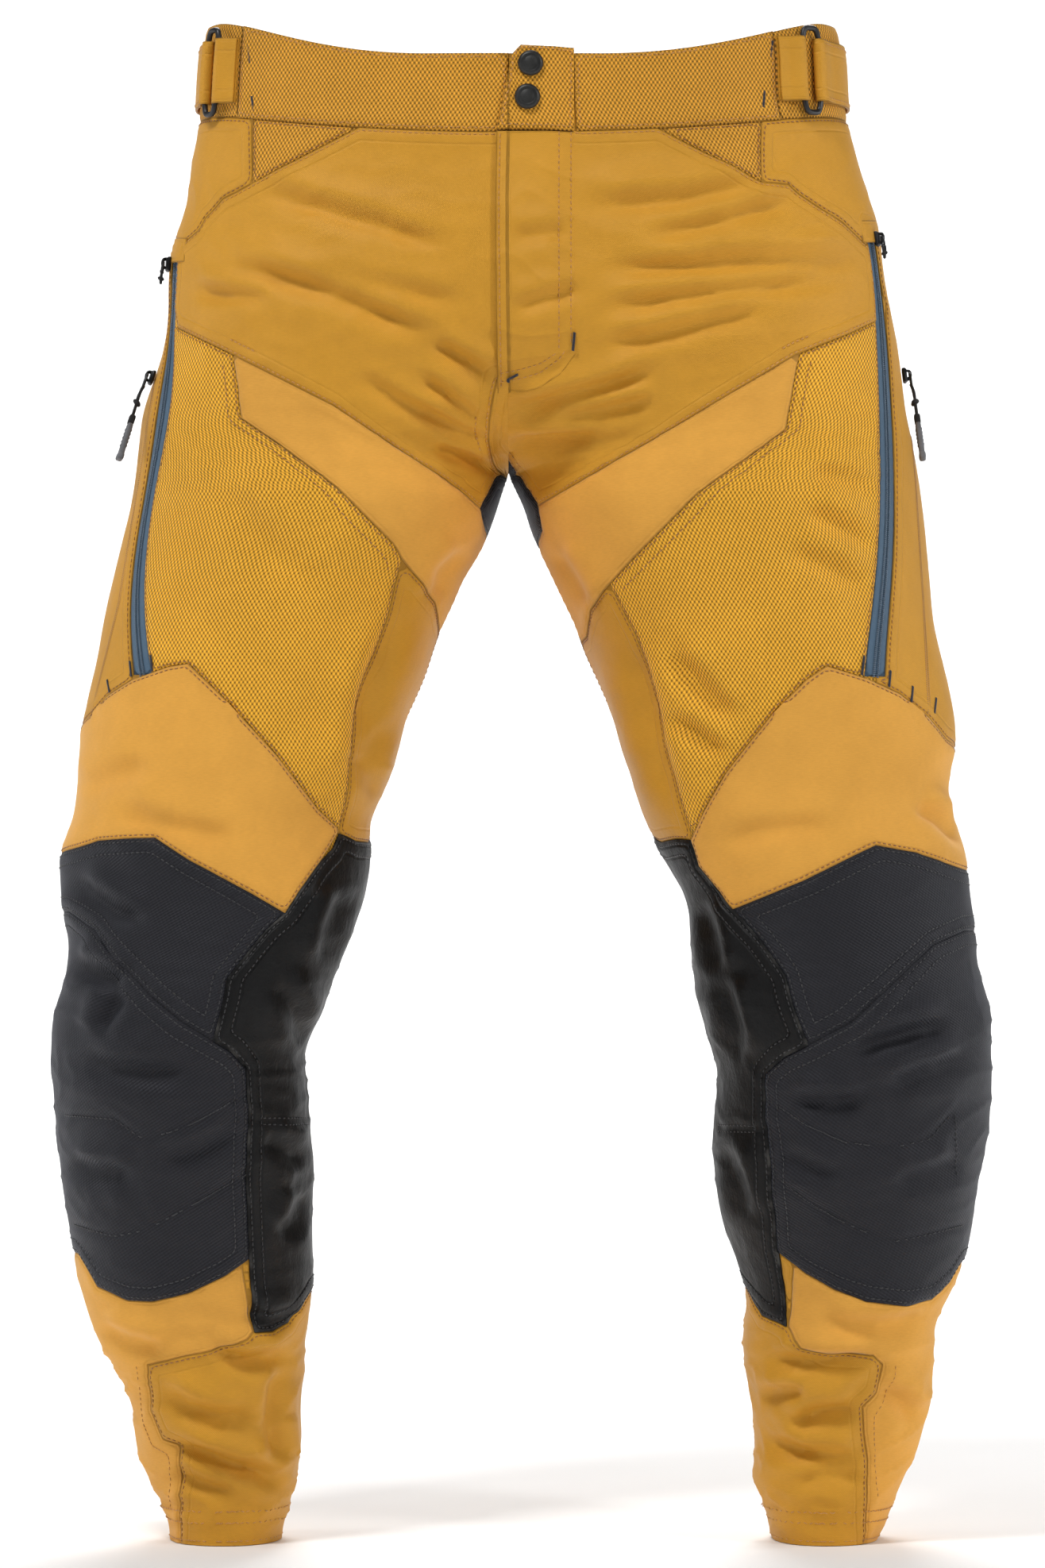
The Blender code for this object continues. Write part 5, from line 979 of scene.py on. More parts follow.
# ---------------------------------------------------------------- materials
class Tree:
    """Short calls for a material's nodes."""

    def __init__(self, name):
        self.material = bpy.data.materials.new(name)
        self.material.use_nodes = True
        self.tree = self.material.node_tree
        self.bsdf = self.tree.nodes["Principled BSDF"]

    def node(self, kind):
        return self.tree.nodes.new("ShaderNode" + kind)

    def put(self, socket, value):
        if isinstance(value, bpy.types.NodeSocket):
            self.tree.links.new(value, socket)
        else:
            socket.default_value = value

    def math(self, op, a, b=0.0):
        n = self.node("Math")
        n.operation = op
        self.put(n.inputs[0], a)
        self.put(n.inputs[1], b)
        return n.outputs[0]

    def mul(self, first, *more):
        for factor in more:
            first = self.math("MULTIPLY", first, factor)
        return first

    def add(self, first, *more):
        for term in more:
            first = self.math("ADD", first, term)
        return first

    def sub(self, a, b):
        return self.math("SUBTRACT", a, b)

    def around_zero(self, value, amount):
        """A 0..1 value moved to lie about 0, times an amount."""
        return self.mul(self.sub(value, 0.5), amount)

    def attribute(self, name, output):
        n = self.node("Attribute")
        n.attribute_name = name
        return n.outputs[output]

    def place(self):
        return self.node("TexCoord").outputs["Object"]

    def split(self, vector):
        n = self.node("SeparateXYZ")
        self.put(n.inputs[0], vector)
        return n.outputs

    def noise(self, vector, scale, detail=2.0, rough=0.5, stretch=None):
        if stretch is not None:
            m = self.node("Mapping")
            self.put(m.inputs["Vector"], vector)
            m.inputs["Scale"].default_value = stretch
            vector = m.outputs[0]
        n = self.node("TexNoise")
        self.put(n.inputs["Vector"], vector)
        n.inputs["Scale"].default_value = scale
        n.inputs["Detail"].default_value = detail
        n.inputs["Roughness"].default_value = rough
        return n.outputs[0]

    def cells(self, vector, scale, feature="F1"):
        n = self.node("TexVoronoi")
        n.feature = feature
        self.put(n.inputs["Vector"], vector)
        n.inputs["Scale"].default_value = scale
        return n.outputs["Distance"]

    def ramp(self, value, start, end, low=0.0, high=1.0):
        """Low up to start, high from end on, smooth between."""
        n = self.node("MapRange")
        n.interpolation_type = "SMOOTHSTEP"
        self.put(n.inputs["Value"], value)
        limits = {"From Min": start, "From Max": end, "To Min": low, "To Max": high}
        for key, number in limits.items():
            n.inputs[key].default_value = number
        return n.outputs[0]

    def spread(self, noise, low, high):
        """The middle range of a noise, widened to low..high."""
        return self.ramp(noise, 0.3, 0.7, low, high)

    def mix(self, factor, a, b):
        n = self.node("Mix")
        n.data_type = "RGBA"
        self.put(n.inputs["Factor"], factor)
        self.put(n.inputs[6], a)
        self.put(n.inputs[7], b)
        return n.outputs[2]

    def shaded(self, colour, shade):
        n = self.node("VectorMath")
        n.operation = "SCALE"
        n.inputs[0].default_value = colour[:3]
        self.put(n.inputs["Scale"], shade)
        return n.outputs[0]

    def seam_dips(self, edge, rows_at, reach, row_reach, row_depth):
        """Sunken cut edge and sunken rows at given distances from it."""
        dips = self.ramp(edge, 0.0, reach, -1.0, 0.0)
        for row in rows_at:
            off = self.math("ABSOLUTE", self.sub(edge, row))
            dips = self.add(dips, self.ramp(off, 0.0, row_reach, row_depth, 0.0))
        return dips

    def bump(self, height, distance, strength=1.0, under=None):
        n = self.node("Bump")
        self.put(n.inputs["Height"], height)
        n.inputs["Distance"].default_value = distance
        n.inputs["Strength"].default_value = strength
        if under is not None:
            self.put(n.inputs["Normal"], under)
        return n.outputs[0]

    def finish(self, colour, rough, normal=None, **more):
        self.put(self.bsdf.inputs["Base Color"], colour)
        self.put(self.bsdf.inputs["Roughness"], rough)
        if normal is not None:
            self.put(self.bsdf.inputs["Normal"], normal)
        for key, value in more.items():
            self.put(self.bsdf.inputs[key.replace("_", " ")], value)
        return self.material


def srgb(*levels):
    return (*[(c / 255) ** 2.2 for c in levels], 1.0)


def scaled(colour, factor):
    return (*[v * factor for v in colour[:3]], 1.0)


def yarn_pattern(t, where, weave):
    """Height and brightness of the yarns, about 0..1, from lengths on the cloth in metres."""
    across, up, _ = t.split(where)
    wave = 2 * math.pi
    if weave == "mesh":
        wobble = t.around_zero(t.noise(where, scale=60.0, detail=1.0), 0.0012)
        a = t.mul(t.add(across, wobble), wave / 0.0028)
        b = t.mul(t.add(up, wobble), wave / 0.0040)
        check = t.mul(t.math("COSINE", a), t.math("COSINE", b))
        hole = t.ramp(check, -0.95, -0.25, 1.0, 0.0)
        dash = t.ramp(check, 0.05, 0.85)
        yarn = t.add(t.mul(dash, 0.7), t.mul(hole, -0.6))
    elif weave == "ballistic":
        steep = t.mul(t.add(t.mul(across, 0.62), up), wave / 0.0021)
        counter = t.mul(t.sub(t.mul(across, 1.7), up), wave / 0.0046)
        yarn = t.add(t.mul(t.math("SINE", steep), 0.34), t.mul(t.math("SINE", counter), 0.12),
                     t.around_zero(t.noise(where, scale=900.0), 0.5))
    else:
        pitch, swing = {"twill": (0.00105, 0.22), "fine": (0.0007, 0.10)}[weave]
        ribs = t.mul(t.sub(up, t.mul(across, 0.8)), wave / pitch)
        fuzz = t.noise(where, scale=1500.0, rough=0.6)
        yarn = t.add(t.mul(t.math("SINE", ribs), swing), t.around_zero(fuzz, 0.5))
    return t.add(yarn, 0.5)


def cloth(name, colour, weave, rough, sheen, seams=(0.0018,), wear=0.10, depth=0.00016,
          tint=(1, 1, 1), contrast=0.16):
    """Woven cloth: yarns, dye variation, sunken seam rows, and painted shade that darkens it at
    the seams. Seams are row distances from the edge and depth the yarn height, in metres; wear
    pales the edges."""
    t = Tree(name)
    where = t.attribute("cloth", "Vector")
    edge = t.attribute("edge", "Fac")
    place = t.place()
    yarn = yarn_pattern(t, where, weave)
    slub = t.noise(where, scale=240.0, stretch=(1.0, 7.0, 1.0))
    blotch = t.noise(place, scale=7.0, detail=3.0, rough=0.55)
    fine = t.noise(place, scale=55.0, detail=3.0, rough=0.6)
    # yarn and dye tone, times two ramps of painted shade that darken the cloth close to its seam
    shade = t.mul(t.add(t.around_zero(yarn, 2 * contrast), 1.0),
                  t.spread(slub, 0.965, 1.03), t.spread(blotch, 0.94, 1.05),
                  t.spread(fine, 0.975, 1.02),
                  t.ramp(edge, 0.0, 0.0010, 0.58, 1.0), t.ramp(edge, 0.0, 0.010, 0.95, 1.0))
    base = t.shaded(colour, shade)
    if wear:
        patches = t.ramp(t.noise(place, scale=90.0, detail=4.0, rough=0.7), 0.45, 0.75)
        rub = t.mul(t.ramp(edge, 0.0012, 0.0045, 1.0, 0.0), patches)
        base = t.mix(t.mul(rub, wear), base, scaled(colour, 1.9))
    dips = t.seam_dips(edge, seams, reach=0.0014, row_reach=0.0013, row_depth=-0.40)
    pucker = t.mul(t.ramp(edge, 0.002, 0.014, 1.0, 0.0), t.noise(where, scale=130.0))
    under = t.bump(t.add(dips, t.mul(pucker, 0.9)), distance=0.0009, strength=0.9)
    lumps = t.noise(place, scale=38.0, detail=4.0, rough=0.55)
    under = t.bump(lumps, distance=0.0014, strength=0.35, under=under)
    shine = tuple(0.45 + 0.55 * c / max(colour[:3]) for c in colour[:3])
    return t.finish(base, t.add(t.around_zero(blotch, 0.12), rough),
                    t.bump(yarn, distance=depth, under=under),
                    Sheen_Weight=sheen, Sheen_Roughness=0.45, Sheen_Tint=(*tint, 1.0),
                    Specular_IOR_Level=0.42 if weave == "twill" else 0.30,
                    Specular_Tint=(*shine, 1.0))


def leather():
    """Grained black leather, rubbed pale along its edges, with painted shade that darkens it at
    its seams.
    """
    t = Tree("knee_leather")
    where = t.attribute("cloth", "Vector")
    place = t.place()
    edge = t.attribute("edge", "Fac")
    grain = t.cells(where, scale=700.0, feature="SMOOTH_F1")
    pores = t.cells(where, scale=260.0)
    crinkle = t.noise(place, scale=60.0, detail=6.0, rough=0.65, stretch=(1.0, 1.0, 0.45))
    blotch = t.noise(place, scale=11.0, detail=3.0)
    # the edge ramp is painted shade, darker close to the seam
    shade = t.mul(t.spread(blotch, 0.85, 1.2), t.ramp(grain, 0.05, 0.6, 0.85, 1.1),
                  t.ramp(edge, 0.0, 0.0018, 0.5, 1.0))
    rub = t.mul(t.ramp(edge, 0.001, 0.004, 1.0, 0.0),
                t.ramp(t.noise(place, scale=80.0, detail=4.0), 0.45, 0.7))
    base = t.mix(t.mul(rub, 0.35), t.shaded(srgb(15, 15, 16), shade), srgb(110, 108, 104))
    dips = t.seam_dips(edge, (0.0030, 0.0105), reach=0.0018, row_reach=0.0018, row_depth=-0.8)
    under = t.bump(dips, distance=0.0010, strength=0.9)
    under = t.bump(crinkle, distance=0.0022, strength=0.55, under=under)
    relief = t.add(grain, t.mul(pores, 0.6))
    return t.finish(base, t.spread(crinkle, 0.42, 0.58),
                    t.bump(relief, distance=0.00022, strength=0.8, under=under),
                    Specular_IOR_Level=0.23, Coat_Weight=0.015, Coat_Roughness=0.4)


def moulded(name, colour, rough, metal=0.0, grain=900.0, depth=0.00006, worn=0.25):
    """Moulded or cast part with fine grain, paler on its sharp edges by `worn`."""
    t = Tree(name)
    place = t.place()
    blotch = t.noise(place, scale=120.0, detail=4.0, rough=0.6)
    speck = t.noise(place, scale=grain, detail=3.0, rough=0.6)
    base = t.shaded(colour, t.mul(t.spread(blotch, 0.82, 1.2), t.spread(speck, 0.9, 1.1)))
    sharp = t.node("NewGeometry").outputs["Pointiness"]
    base = t.mix(t.mul(t.ramp(sharp, 0.52, 0.60), worn), base, scaled(colour, 3.5))
    return t.finish(base, t.spread(blotch, rough - 0.07, rough + 0.08),
                    t.bump(speck, distance=depth, strength=0.7), Metallic=metal)


def thread(name, *levels):
    t = Tree(name)
    twist = t.noise(t.place(), scale=1400.0, rough=0.6)
    return t.finish(t.shaded(srgb(*levels), t.spread(twist, 0.75, 1.25)), 0.55,
                    t.bump(twist, distance=0.0001, strength=0.6), Sheen_Weight=0.3)


WARM, MESH_WARM = (1.0, 0.9, 0.7), (1.0, 0.9, 0.6)   # sheen tints
MESH = dict(weave="mesh", rough=0.62, sheen=0.12, depth=0.00055, tint=MESH_WARM, contrast=0.62)
MATERIALS = {
    "twill": cloth("main_twill", srgb(205, 147, 50), "twill", rough=0.54, sheen=0.06,
                   seams=(0.0018, 0.0085), tint=WARM),
    "smooth": cloth("smooth_twill", srgb(224, 162, 73), "fine", rough=0.86, sheen=0.25,
                    seams=(0.0020,), tint=WARM, contrast=0.10, depth=0.00008),
    "mesh": cloth("mesh_weave", srgb(221, 161, 54), **MESH),
    # the mesh weave again for waistband, yoke and waist tab, darker: painted shade that tones down
    # the stronger light at the waist
    "waist_mesh": cloth("waist_mesh", srgb(200, 142, 52), **MESH),
    "ballistic": cloth("ballistic_twill", srgb(34, 34, 37), "ballistic", rough=0.55, sheen=0.10,
                       seams=(0.0020, 0.0090), depth=0.00030, tint=(0.8, 0.85, 1.0),
                       contrast=0.62, wear=0.05),
    "tape": cloth("zip_tape", srgb(80, 102, 122), "fine", rough=0.52, sheen=0.10, seams=(),
                  depth=0.0001, wear=0.0),
    "gold_tape": cloth("fly_tape", srgb(176, 124, 46), "fine", rough=0.62, sheen=0.10,
                       seams=(), wear=0.0),
    "lining": cloth("lining_mesh", srgb(92, 84, 70), "fine", rough=0.80, sheen=0.10,
                    seams=(), wear=0.0),
    "leather": leather(),
    "metal": moulded("snap_black", srgb(48, 48, 47), rough=0.42, metal=0.35),
    "zinc": moulded("hardware_black", srgb(36, 36, 37), rough=0.34, metal=0.6),
    "ring": moulded("ring_black", srgb(34, 34, 36), rough=0.40),
    "rubber": moulded("pull_rubber", srgb(98, 99, 102), rough=0.62, worn=0.1),
    "cord": moulded("pull_cord", srgb(34, 33, 34), rough=0.80, grain=2500.0, depth=0.0002,
                    worn=0.05),
    "thread_gold": thread("thread_gold", 196, 138, 62),
    "thread_brown": thread("thread_brown", 150, 96, 38),
    "thread_black": thread("thread_black", 26, 26, 30),
    "thread_navy": thread("thread_navy", 38, 42, 56),
    "coil_blue": thread("coil_blue", 72, 94, 114),
    "coil_gold": thread("coil_gold", 170, 118, 46),
}
SLOT_LOOKS = {
    "main_twill": "twill lining thread_gold thread_brown thread_navy", "smooth_twill": "smooth",
    "mesh_weave": "mesh waist_mesh", "ballistic_twill": "ballistic thread_black",
    "zip_blue": "tape coil_blue", "fly_tape": "gold_tape coil_gold", "knee_leather": "leather",
    "snap_black": "metal", "hardware_black": "zinc", "ring_black": "ring",
    "pull_rubber": "rubber cord"}
SLOT = {look: slot for slot, looks in SLOT_LOOKS.items() for look in looks.split()}


# tables by the start of a panel's name; the first that fits counts
def by_start(table, name, default):
    return next((value for key, value in table.items() if name.startswith(key)), default)


LOOK_OF = {"thigh_mesh": "mesh", "front_yoke": "waist_mesh", "waistband": "waist_mesh",
           "thigh_front": "smooth", "thigh_lower": "smooth", "shin_side": "smooth",
           "crotch_gusset": "ballistic", "knee_leather": "leather", "knee_": "ballistic",
           "vent_zip": "tape", "fly_zipper": "gold_tape"}
# how far panels stand out at their seams, mm
LIFT = {"knee_leather": 1.1, "knee_upper": 0.7, "knee_lower": 0.5, "thigh_lower": 0.7,
        "front_panel": 0.6, "thigh_front": 0.5, "shin_panel": 0.3, "waistband": 0.9,
        "hip_panel": 0.4, "front_yoke": 0.2, "pocket_panel": 0.3, "front_centre": 0.5}
THICK_OF = {"waistband": 0.0026, "knee_": 0.0018, "vent_zip": 0.0010, "fly_zipper": 0.0010,
            "crotch": 0.0012}
# thread, zigzag, distances of the rows from the panel's own seam
ROWS_OF = {"front_panel": ("thread_gold", 0.0, (0.0019, 0.0085)),
           "thigh_mesh": ("thread_brown", 0.0, (0.0019, 0.0085)),
           "knee_": ("thread_black", 0.0, (0.0024, 0.0095)),
           "calf": ("thread_black", 0.0, (0.0020,)),
           "crotch": ("thread_black", 0.0, (0.0020,)),
           "waistband": ("thread_gold", 0.0006, (0.0024,)),
           "seat": ("thread_gold", 0.0, (0.0020, 0.0085))}
for start in ("thigh_lower", "inner_thigh", "shin_panel", "hip_panel", "front_yoke",
              "pocket_panel"):
    ROWS_OF[start] = ("thread_brown", 0.0, (0.0020,))

# ---------------------------------------------------------------- riding
RIDE = {
    "hip": ("front_panel", "hip_panel", "seat_panel", "thigh_front", "thigh_mesh",
            "crotch_gusset", "vent_zip", "pocket_panel", "thigh_back_upper", "front_centre"),
    "knee": ("thigh_back_lower", "thigh_lower", "knee_", "calf"),
    "thigh": ("inner_thigh",),
    "shin": ("shin",),
    "pelvis": ("waistband", "front_yoke", "fly_zipper", "snap_underlap")}


def attach(obj, kind, node=None):
    """kind: a body's name, or "hip", "knee" or "flap" for cloth across that joint, which is only
    baked in place here; node: the CAD piece this one replaces."""
    if kind == "hip":
        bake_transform(obj)
    elif kind == "knee":
        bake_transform(obj)
    elif kind == "flap":
        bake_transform(obj)
    else:
        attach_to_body(obj, kind)
    if node:
        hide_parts(node)


def ride_of(name, side):
    kind = next(kind for kind, starts in RIDE.items() if name.startswith(starts))
    return f"{kind}_{WORD[side]}" if kind in ("thigh", "shin") else kind


# ---------------------------------------------------------------- meshes
def place_mesh(mesh, name):
    obj = bpy.data.objects.new(name, mesh)
    bpy.context.scene.collection.objects.link(obj)
    return obj


def make(name, points, faces, look, inner=None, cloth_at=None, edge=None, smooth_angle=1.0):
    """inner: (look, first face, end face) of the inner side."""
    mesh = bpy.data.meshes.new(name)
    mesh.from_pydata(np.asarray(points, float).tolist(), [], np.asarray(faces).tolist())
    mesh.validate()
    mesh.shade_smooth()
    if smooth_angle:
        mesh.set_sharp_from_angle(angle=smooth_angle)
    mesh.materials.append(MATERIALS[look])
    if inner:
        mesh.materials.append(MATERIALS[inner[0]])
        index = np.zeros(len(mesh.polygons), np.int32)
        index[inner[1] : inner[2]] = 1
        mesh.polygons.foreach_set("material_index", index)
    if cloth_at is not None:
        where = mesh.attributes.new("cloth", "FLOAT_VECTOR", "POINT")
        where.data.foreach_set("vector", np.asarray(cloth_at, np.float32).ravel())
        distance = mesh.attributes.new("edge", "FLOAT", "POINT")
        distance.data.foreach_set("value", np.asarray(edge, np.float32))
    return place_mesh(mesh, name)


def rim_edges(faces):
    e = np.concatenate([faces[:, [0, 1]], faces[:, [1, 2]], faces[:, [2, 0]]])
    n = int(faces.max()) + 1
    key, back = e[:, 0].astype(np.int64) * n + e[:, 1], e[:, 1].astype(np.int64) * n + e[:, 0]
    return e[~np.isin(key, back)]


def closed_faces(faces, count):
    """Faces of a solid: the outer side, the inner side `count` points on, and the cut edge."""
    a, b = rim_edges(faces).T
    sides = [np.stack([b, a, a + count], 1), np.stack([b, a + count, b + count], 1)]
    return np.concatenate([faces, faces[:, ::-1] + count, *sides])


def cloth_solid(name, points, faces, normals, thick, look, cloth_at, edge, inner_look="lining",
                inner_edge=False):
    """A panel with real thickness. inner_edge: the inner side repeats the edge distances."""
    used, index = np.unique(faces, return_inverse=True)
    f = index.reshape(faces.shape)
    p, n, edge = points[used], normals[used], edge[used]
    return make(name, np.vstack([p, p - n * thick]), closed_faces(f, len(used)), look,
                (inner_look, len(f), 2 * len(f)), np.vstack([cloth_at[used]] * 2),
                np.concatenate([edge, edge if inner_edge else edge * 0 + 0.02]))


def rod(a, b, out, wide, high):
    """Points of small threads between places a and b, lying on the cloth: (n, 10, 3)."""
    along = b - a
    length = np.maximum(np.linalg.norm(along, axis=1, keepdims=True), 1e-9)
    t = along / length
    across = np.cross(t, out)
    across /= np.maximum(np.linalg.norm(across, axis=1, keepdims=True), 1e-9)

    def ring(c):
        return [c + across * wide, c + out * high, c - across * wide, c - out * high]

    inset = t * length * 0.22
    return np.stack([a] + ring(a + inset) + ring(b - inset) + [b], 1)


ROD_FACES = np.array(
    [(0, 2, 1), (0, 3, 2), (0, 4, 3), (0, 1, 4)]
    + [f for i in range(4) for f in ((1 + i, 1 + (i + 1) % 4, 5 + (i + 1) % 4),
                                     (1 + i, 5 + (i + 1) % 4, 5 + i))]
    + [(9, 5, 6), (9, 6, 7), (9, 7, 8), (9, 8, 5)])
THREADS = {}   # (look, ride kind, side) -> list of rods


def sew(look, kind, side, a, b, out, wide=0.00036, high=0.00034):
    if len(a):
        THREADS.setdefault((look, kind, side), []).append(rod(a, b, out, wide, high))


def resampled(line, step, measured=3):
    """The line at even steps, measured over its first columns only."""
    line = np.asarray(line, float)
    sizes = np.linalg.norm(np.diff(line[:, :measured], axis=0), axis=1)
    at = np.concatenate([[0], np.cumsum(sizes)])
    if at[-1] < step:
        return line[[0, -1]]
    t = np.linspace(0, at[-1], max(2, int(round(at[-1] / step)) + 1))
    return np.stack([np.interp(t, at, line[:, k]) for k in range(line.shape[1])], 1)


def stitch_ends(place, out, zigzag, lift, length=STITCH):
    """Starts and ends of the stitches between places, and the steps between the places."""
    step = np.diff(place, axis=0)
    size = np.linalg.norm(step, axis=1)
    unit = step / np.maximum(size, 1e-9)[:, None]
    flip = np.where(np.arange(len(step)) % 2, 1, -1)[:, None]
    jog = np.cross(unit, out[:-1]) * zigzag * flip
    start = place[:-1] + out[:-1] * lift
    return start + jog, start + unit * length - jog, size


def sew_line(line, look, kind, side, zigzag=0.0, lift=0.0, length=STITCH, gap=STITCH_GAP,
             wide=0.00036):
    """Stitches along rows of (place, way out)."""
    line = resampled(line, length + gap)
    if len(line) < 3:
        return
    out = unit_rows(line[:, 3:6])
    a, b, _ = stitch_ends(line[:, :3], out, zigzag, lift, length)
    sew(look, kind, side, a, b, out[:-1], wide)


def stitch_row(side, row, allowed, look, lift=0.0003, zigzag=0.0):
    """Stitches along a row of sheet points (u * ROUND, z), wherever it lies on an allowed
    panel."""
    real = row[:, 0] * stretch(side, row[:, 0] / ROUND, row[:, 1])
    row = resampled(np.stack([real, row[:, 1], row[:, 0]], 1), STITCH + STITCH_GAP, 2)
    u, z = row[:, 2] / ROUND, row[:, 1]
    top = np.where(u < SIDE_U[side], rim_z(u), band_z(u))
    ok = (row[:, 2] > 0.0004) & (row[:, 2] < ROUND - 0.0004) & (z > 0.0015) & (z < top - 0.0012)
    row, u, z = row[ok], u[ok], z[ok]
    if len(row) < 2:
        return
    names = label_at(side, np.stack([row[:, 2], z], 1))
    out = normal(side, u, z)
    a, b, size = stitch_ends(surface(side, u, z), out, zigzag, lift)
    ok = (size > 0.0012) & (size < 0.0075) & np.array([allowed(n) for n in names[:-1]], bool)
    kinds = {}
    for i in np.flatnonzero(ok):
        name = names[i]
        if name.startswith("thigh_back"):
            name = "thigh_back_upper" if z[i] > SPLIT_Z else "thigh_back_lower"
        kinds.setdefault(ride_of(name, side), []).append(i)
    for kind, index in kinds.items():
        sew(look, kind, side, a[index], b[index], out[index])


# ---------------------------------------------------------------- the panels
# outline of the fly opening, front elevation mm
HOLE = pairs("-11.6,956.4 33.6,956.4 33.6,785.6 25.2,774.6 11.6,766.2 -11.6,760.4")


def level_of(name, d):
    """Height of a panel's face over the folded envelope, by its distance from its own seam."""
    if name.startswith("vent_zip"):
        return -0.9 * MM - 0.4 * MM * bell(d, 0.0012)
    if name == "fly_zipper":
        return -6.4 * MM + 0 * d
    lift = by_start(LIFT, name, 0.0) * MM
    out = lift * (0.25 + 0.75 * np.exp(-d / 0.020)) - 0.75 * MM * bell(d, 0.0022)
    out += 0.30 * MM * bell(d - 0.0055, 0.0030)
    if name.startswith("knee_leather"):
        out += 0.35 * MM * bell(d - 0.0065, 0.0022)
    return out


def is_plain_edge(side, points):
    """Places where the cloth runs on without a seam."""
    u, z = points[:, 0] / ROUND, points[:, 1]
    plain = (u < 0.001) & (z > CROTCH_Z) & (z < band_z(0.0))
    p = envelope(side, u, z)
    if side == "L":
        s, _, _ = line_distance(to_front(p), HOLE)
        plain |= (np.abs(s) < 1.0) & (p[:, 1] < 0)
    return plain | (z < 0.0005)


def contour(tris, field, level, data):
    """Chains of interpolated data rows where the field crosses a level on the triangles."""
    at, links = {}, {}
    for tri in tris[(field[tris].min(1) < level) & (field[tris].max(1) >= level)]:
        ends = []
        for a, b in ((tri[0], tri[1]), (tri[1], tri[2]), (tri[2], tri[0])):
            if (field[a] < level) != (field[b] < level):
                key = (min(a, b), max(a, b))
                if key not in at:
                    t = (level - field[key[0]]) / (field[key[1]] - field[key[0]])
                    at[key] = data[key[0]] * (1 - t) + data[key[1]] * t
                ends.append(key)
        if len(ends) == 2:
            links.setdefault(ends[0], []).append(ends[1])
            links.setdefault(ends[1], []).append(ends[0])
    chains, used = [], set()
    for start in sorted(links, key=lambda k: (len(links[k]) != 1, k)):
        if start in used:
            continue
        chain, here = [start], start
        used.add(start)
        while True:
            step = next((k for k in links[here] if k not in used), None)
            if step is None:
                break
            used.add(step)
            chain.append(step)
            here = step
        if len(chain) > 5:
            if len(links[start]) == 2 and start in links[chain[-1]]:
                chain.append(start)
            chains.append(np.array([at[k] for k in chain]))
    return chains


def eased(line):
    for _ in range(2):
        line[1:-1] = line[1:-1] * 0.5 + (line[:-2] + line[2:]) * 0.25
    return line


def flat_tree(flat):
    """Nearest-point search among (length round, z) points."""
    tree = KDTree(max(1, len(flat)))
    for i, (a, b) in enumerate(flat):
        tree.insert((a, b, 0), i)
    tree.balance()
    return tree


def diagonal_tree(side):
    """Search tree of the outline of the thigh front panel."""
    line = np.concatenate([loop for name, loop in LOOPS[side] if name.startswith("thigh_front")])
    return flat_tree(zip_flat(around(side, line[:, 0] / ROUND, line[:, 1]), line[:, 1]))


def zip_flat(lengths, heights):
    return np.stack([lengths, heights], 1)


def seam_distance(side, name, points, real, mine):
    """Distance of each of the panel's points from the panel's own seam."""
    a, b = rim_edges(mine).T
    ends = np.concatenate([points[a], points[b], (points[a] + points[b]) / 2])
    flat = np.concatenate([real[a], real[b], (real[a] + real[b]) / 2])
    keep = ~is_plain_edge(side, ends)
    # the level cut between an upper and a lower piece is no seam
    if ("_upper_" in name or "_lower_" in name) and not name.startswith("knee"):
        keep &= ~(np.abs(ends[:, 1] - SPLIT_Z) < 0.004)
    tree = flat_tree(flat[keep])
    d = np.full(len(points), 0.05)
    for v in np.unique(mine):
        hit = tree.find((real[v, 0], real[v, 1], 0))
        if hit[2] is not None:   # a piece may have no seam
            d[v] = hit[2]
    return d


def sew_panel_rows(name, side, mine, d, data, diagonal):
    """The rows of stitches beside a panel's seam; data is place, way out, length round, z."""
    look, zigzag, distances = by_start(ROWS_OF, name, ("", 0.0, ()))
    for distance in distances:
        for line in contour(mine, d, distance, data):
            parts = [line]
            if distance > 0.008 and name.startswith(("front_panel", "thigh_mesh")):
                # the second row runs only beside the diagonal seam
                close = np.array([diagonal.find((a, b, 0))[2] < 0.0105 for a, b in line[:, 6:8]])
                cuts = np.flatnonzero(np.diff(close.astype(int))) + 1
                parts = [part for part, first in zip(np.split(line, cuts), [0, *cuts])
                         if close[first] and len(part) > 5]
            for part in parts:
                sew_line(eased(part[:, :6].copy()), look, ride_of(name, side), side, zigzag,
                         lift=0.00022, wide=0.00038)


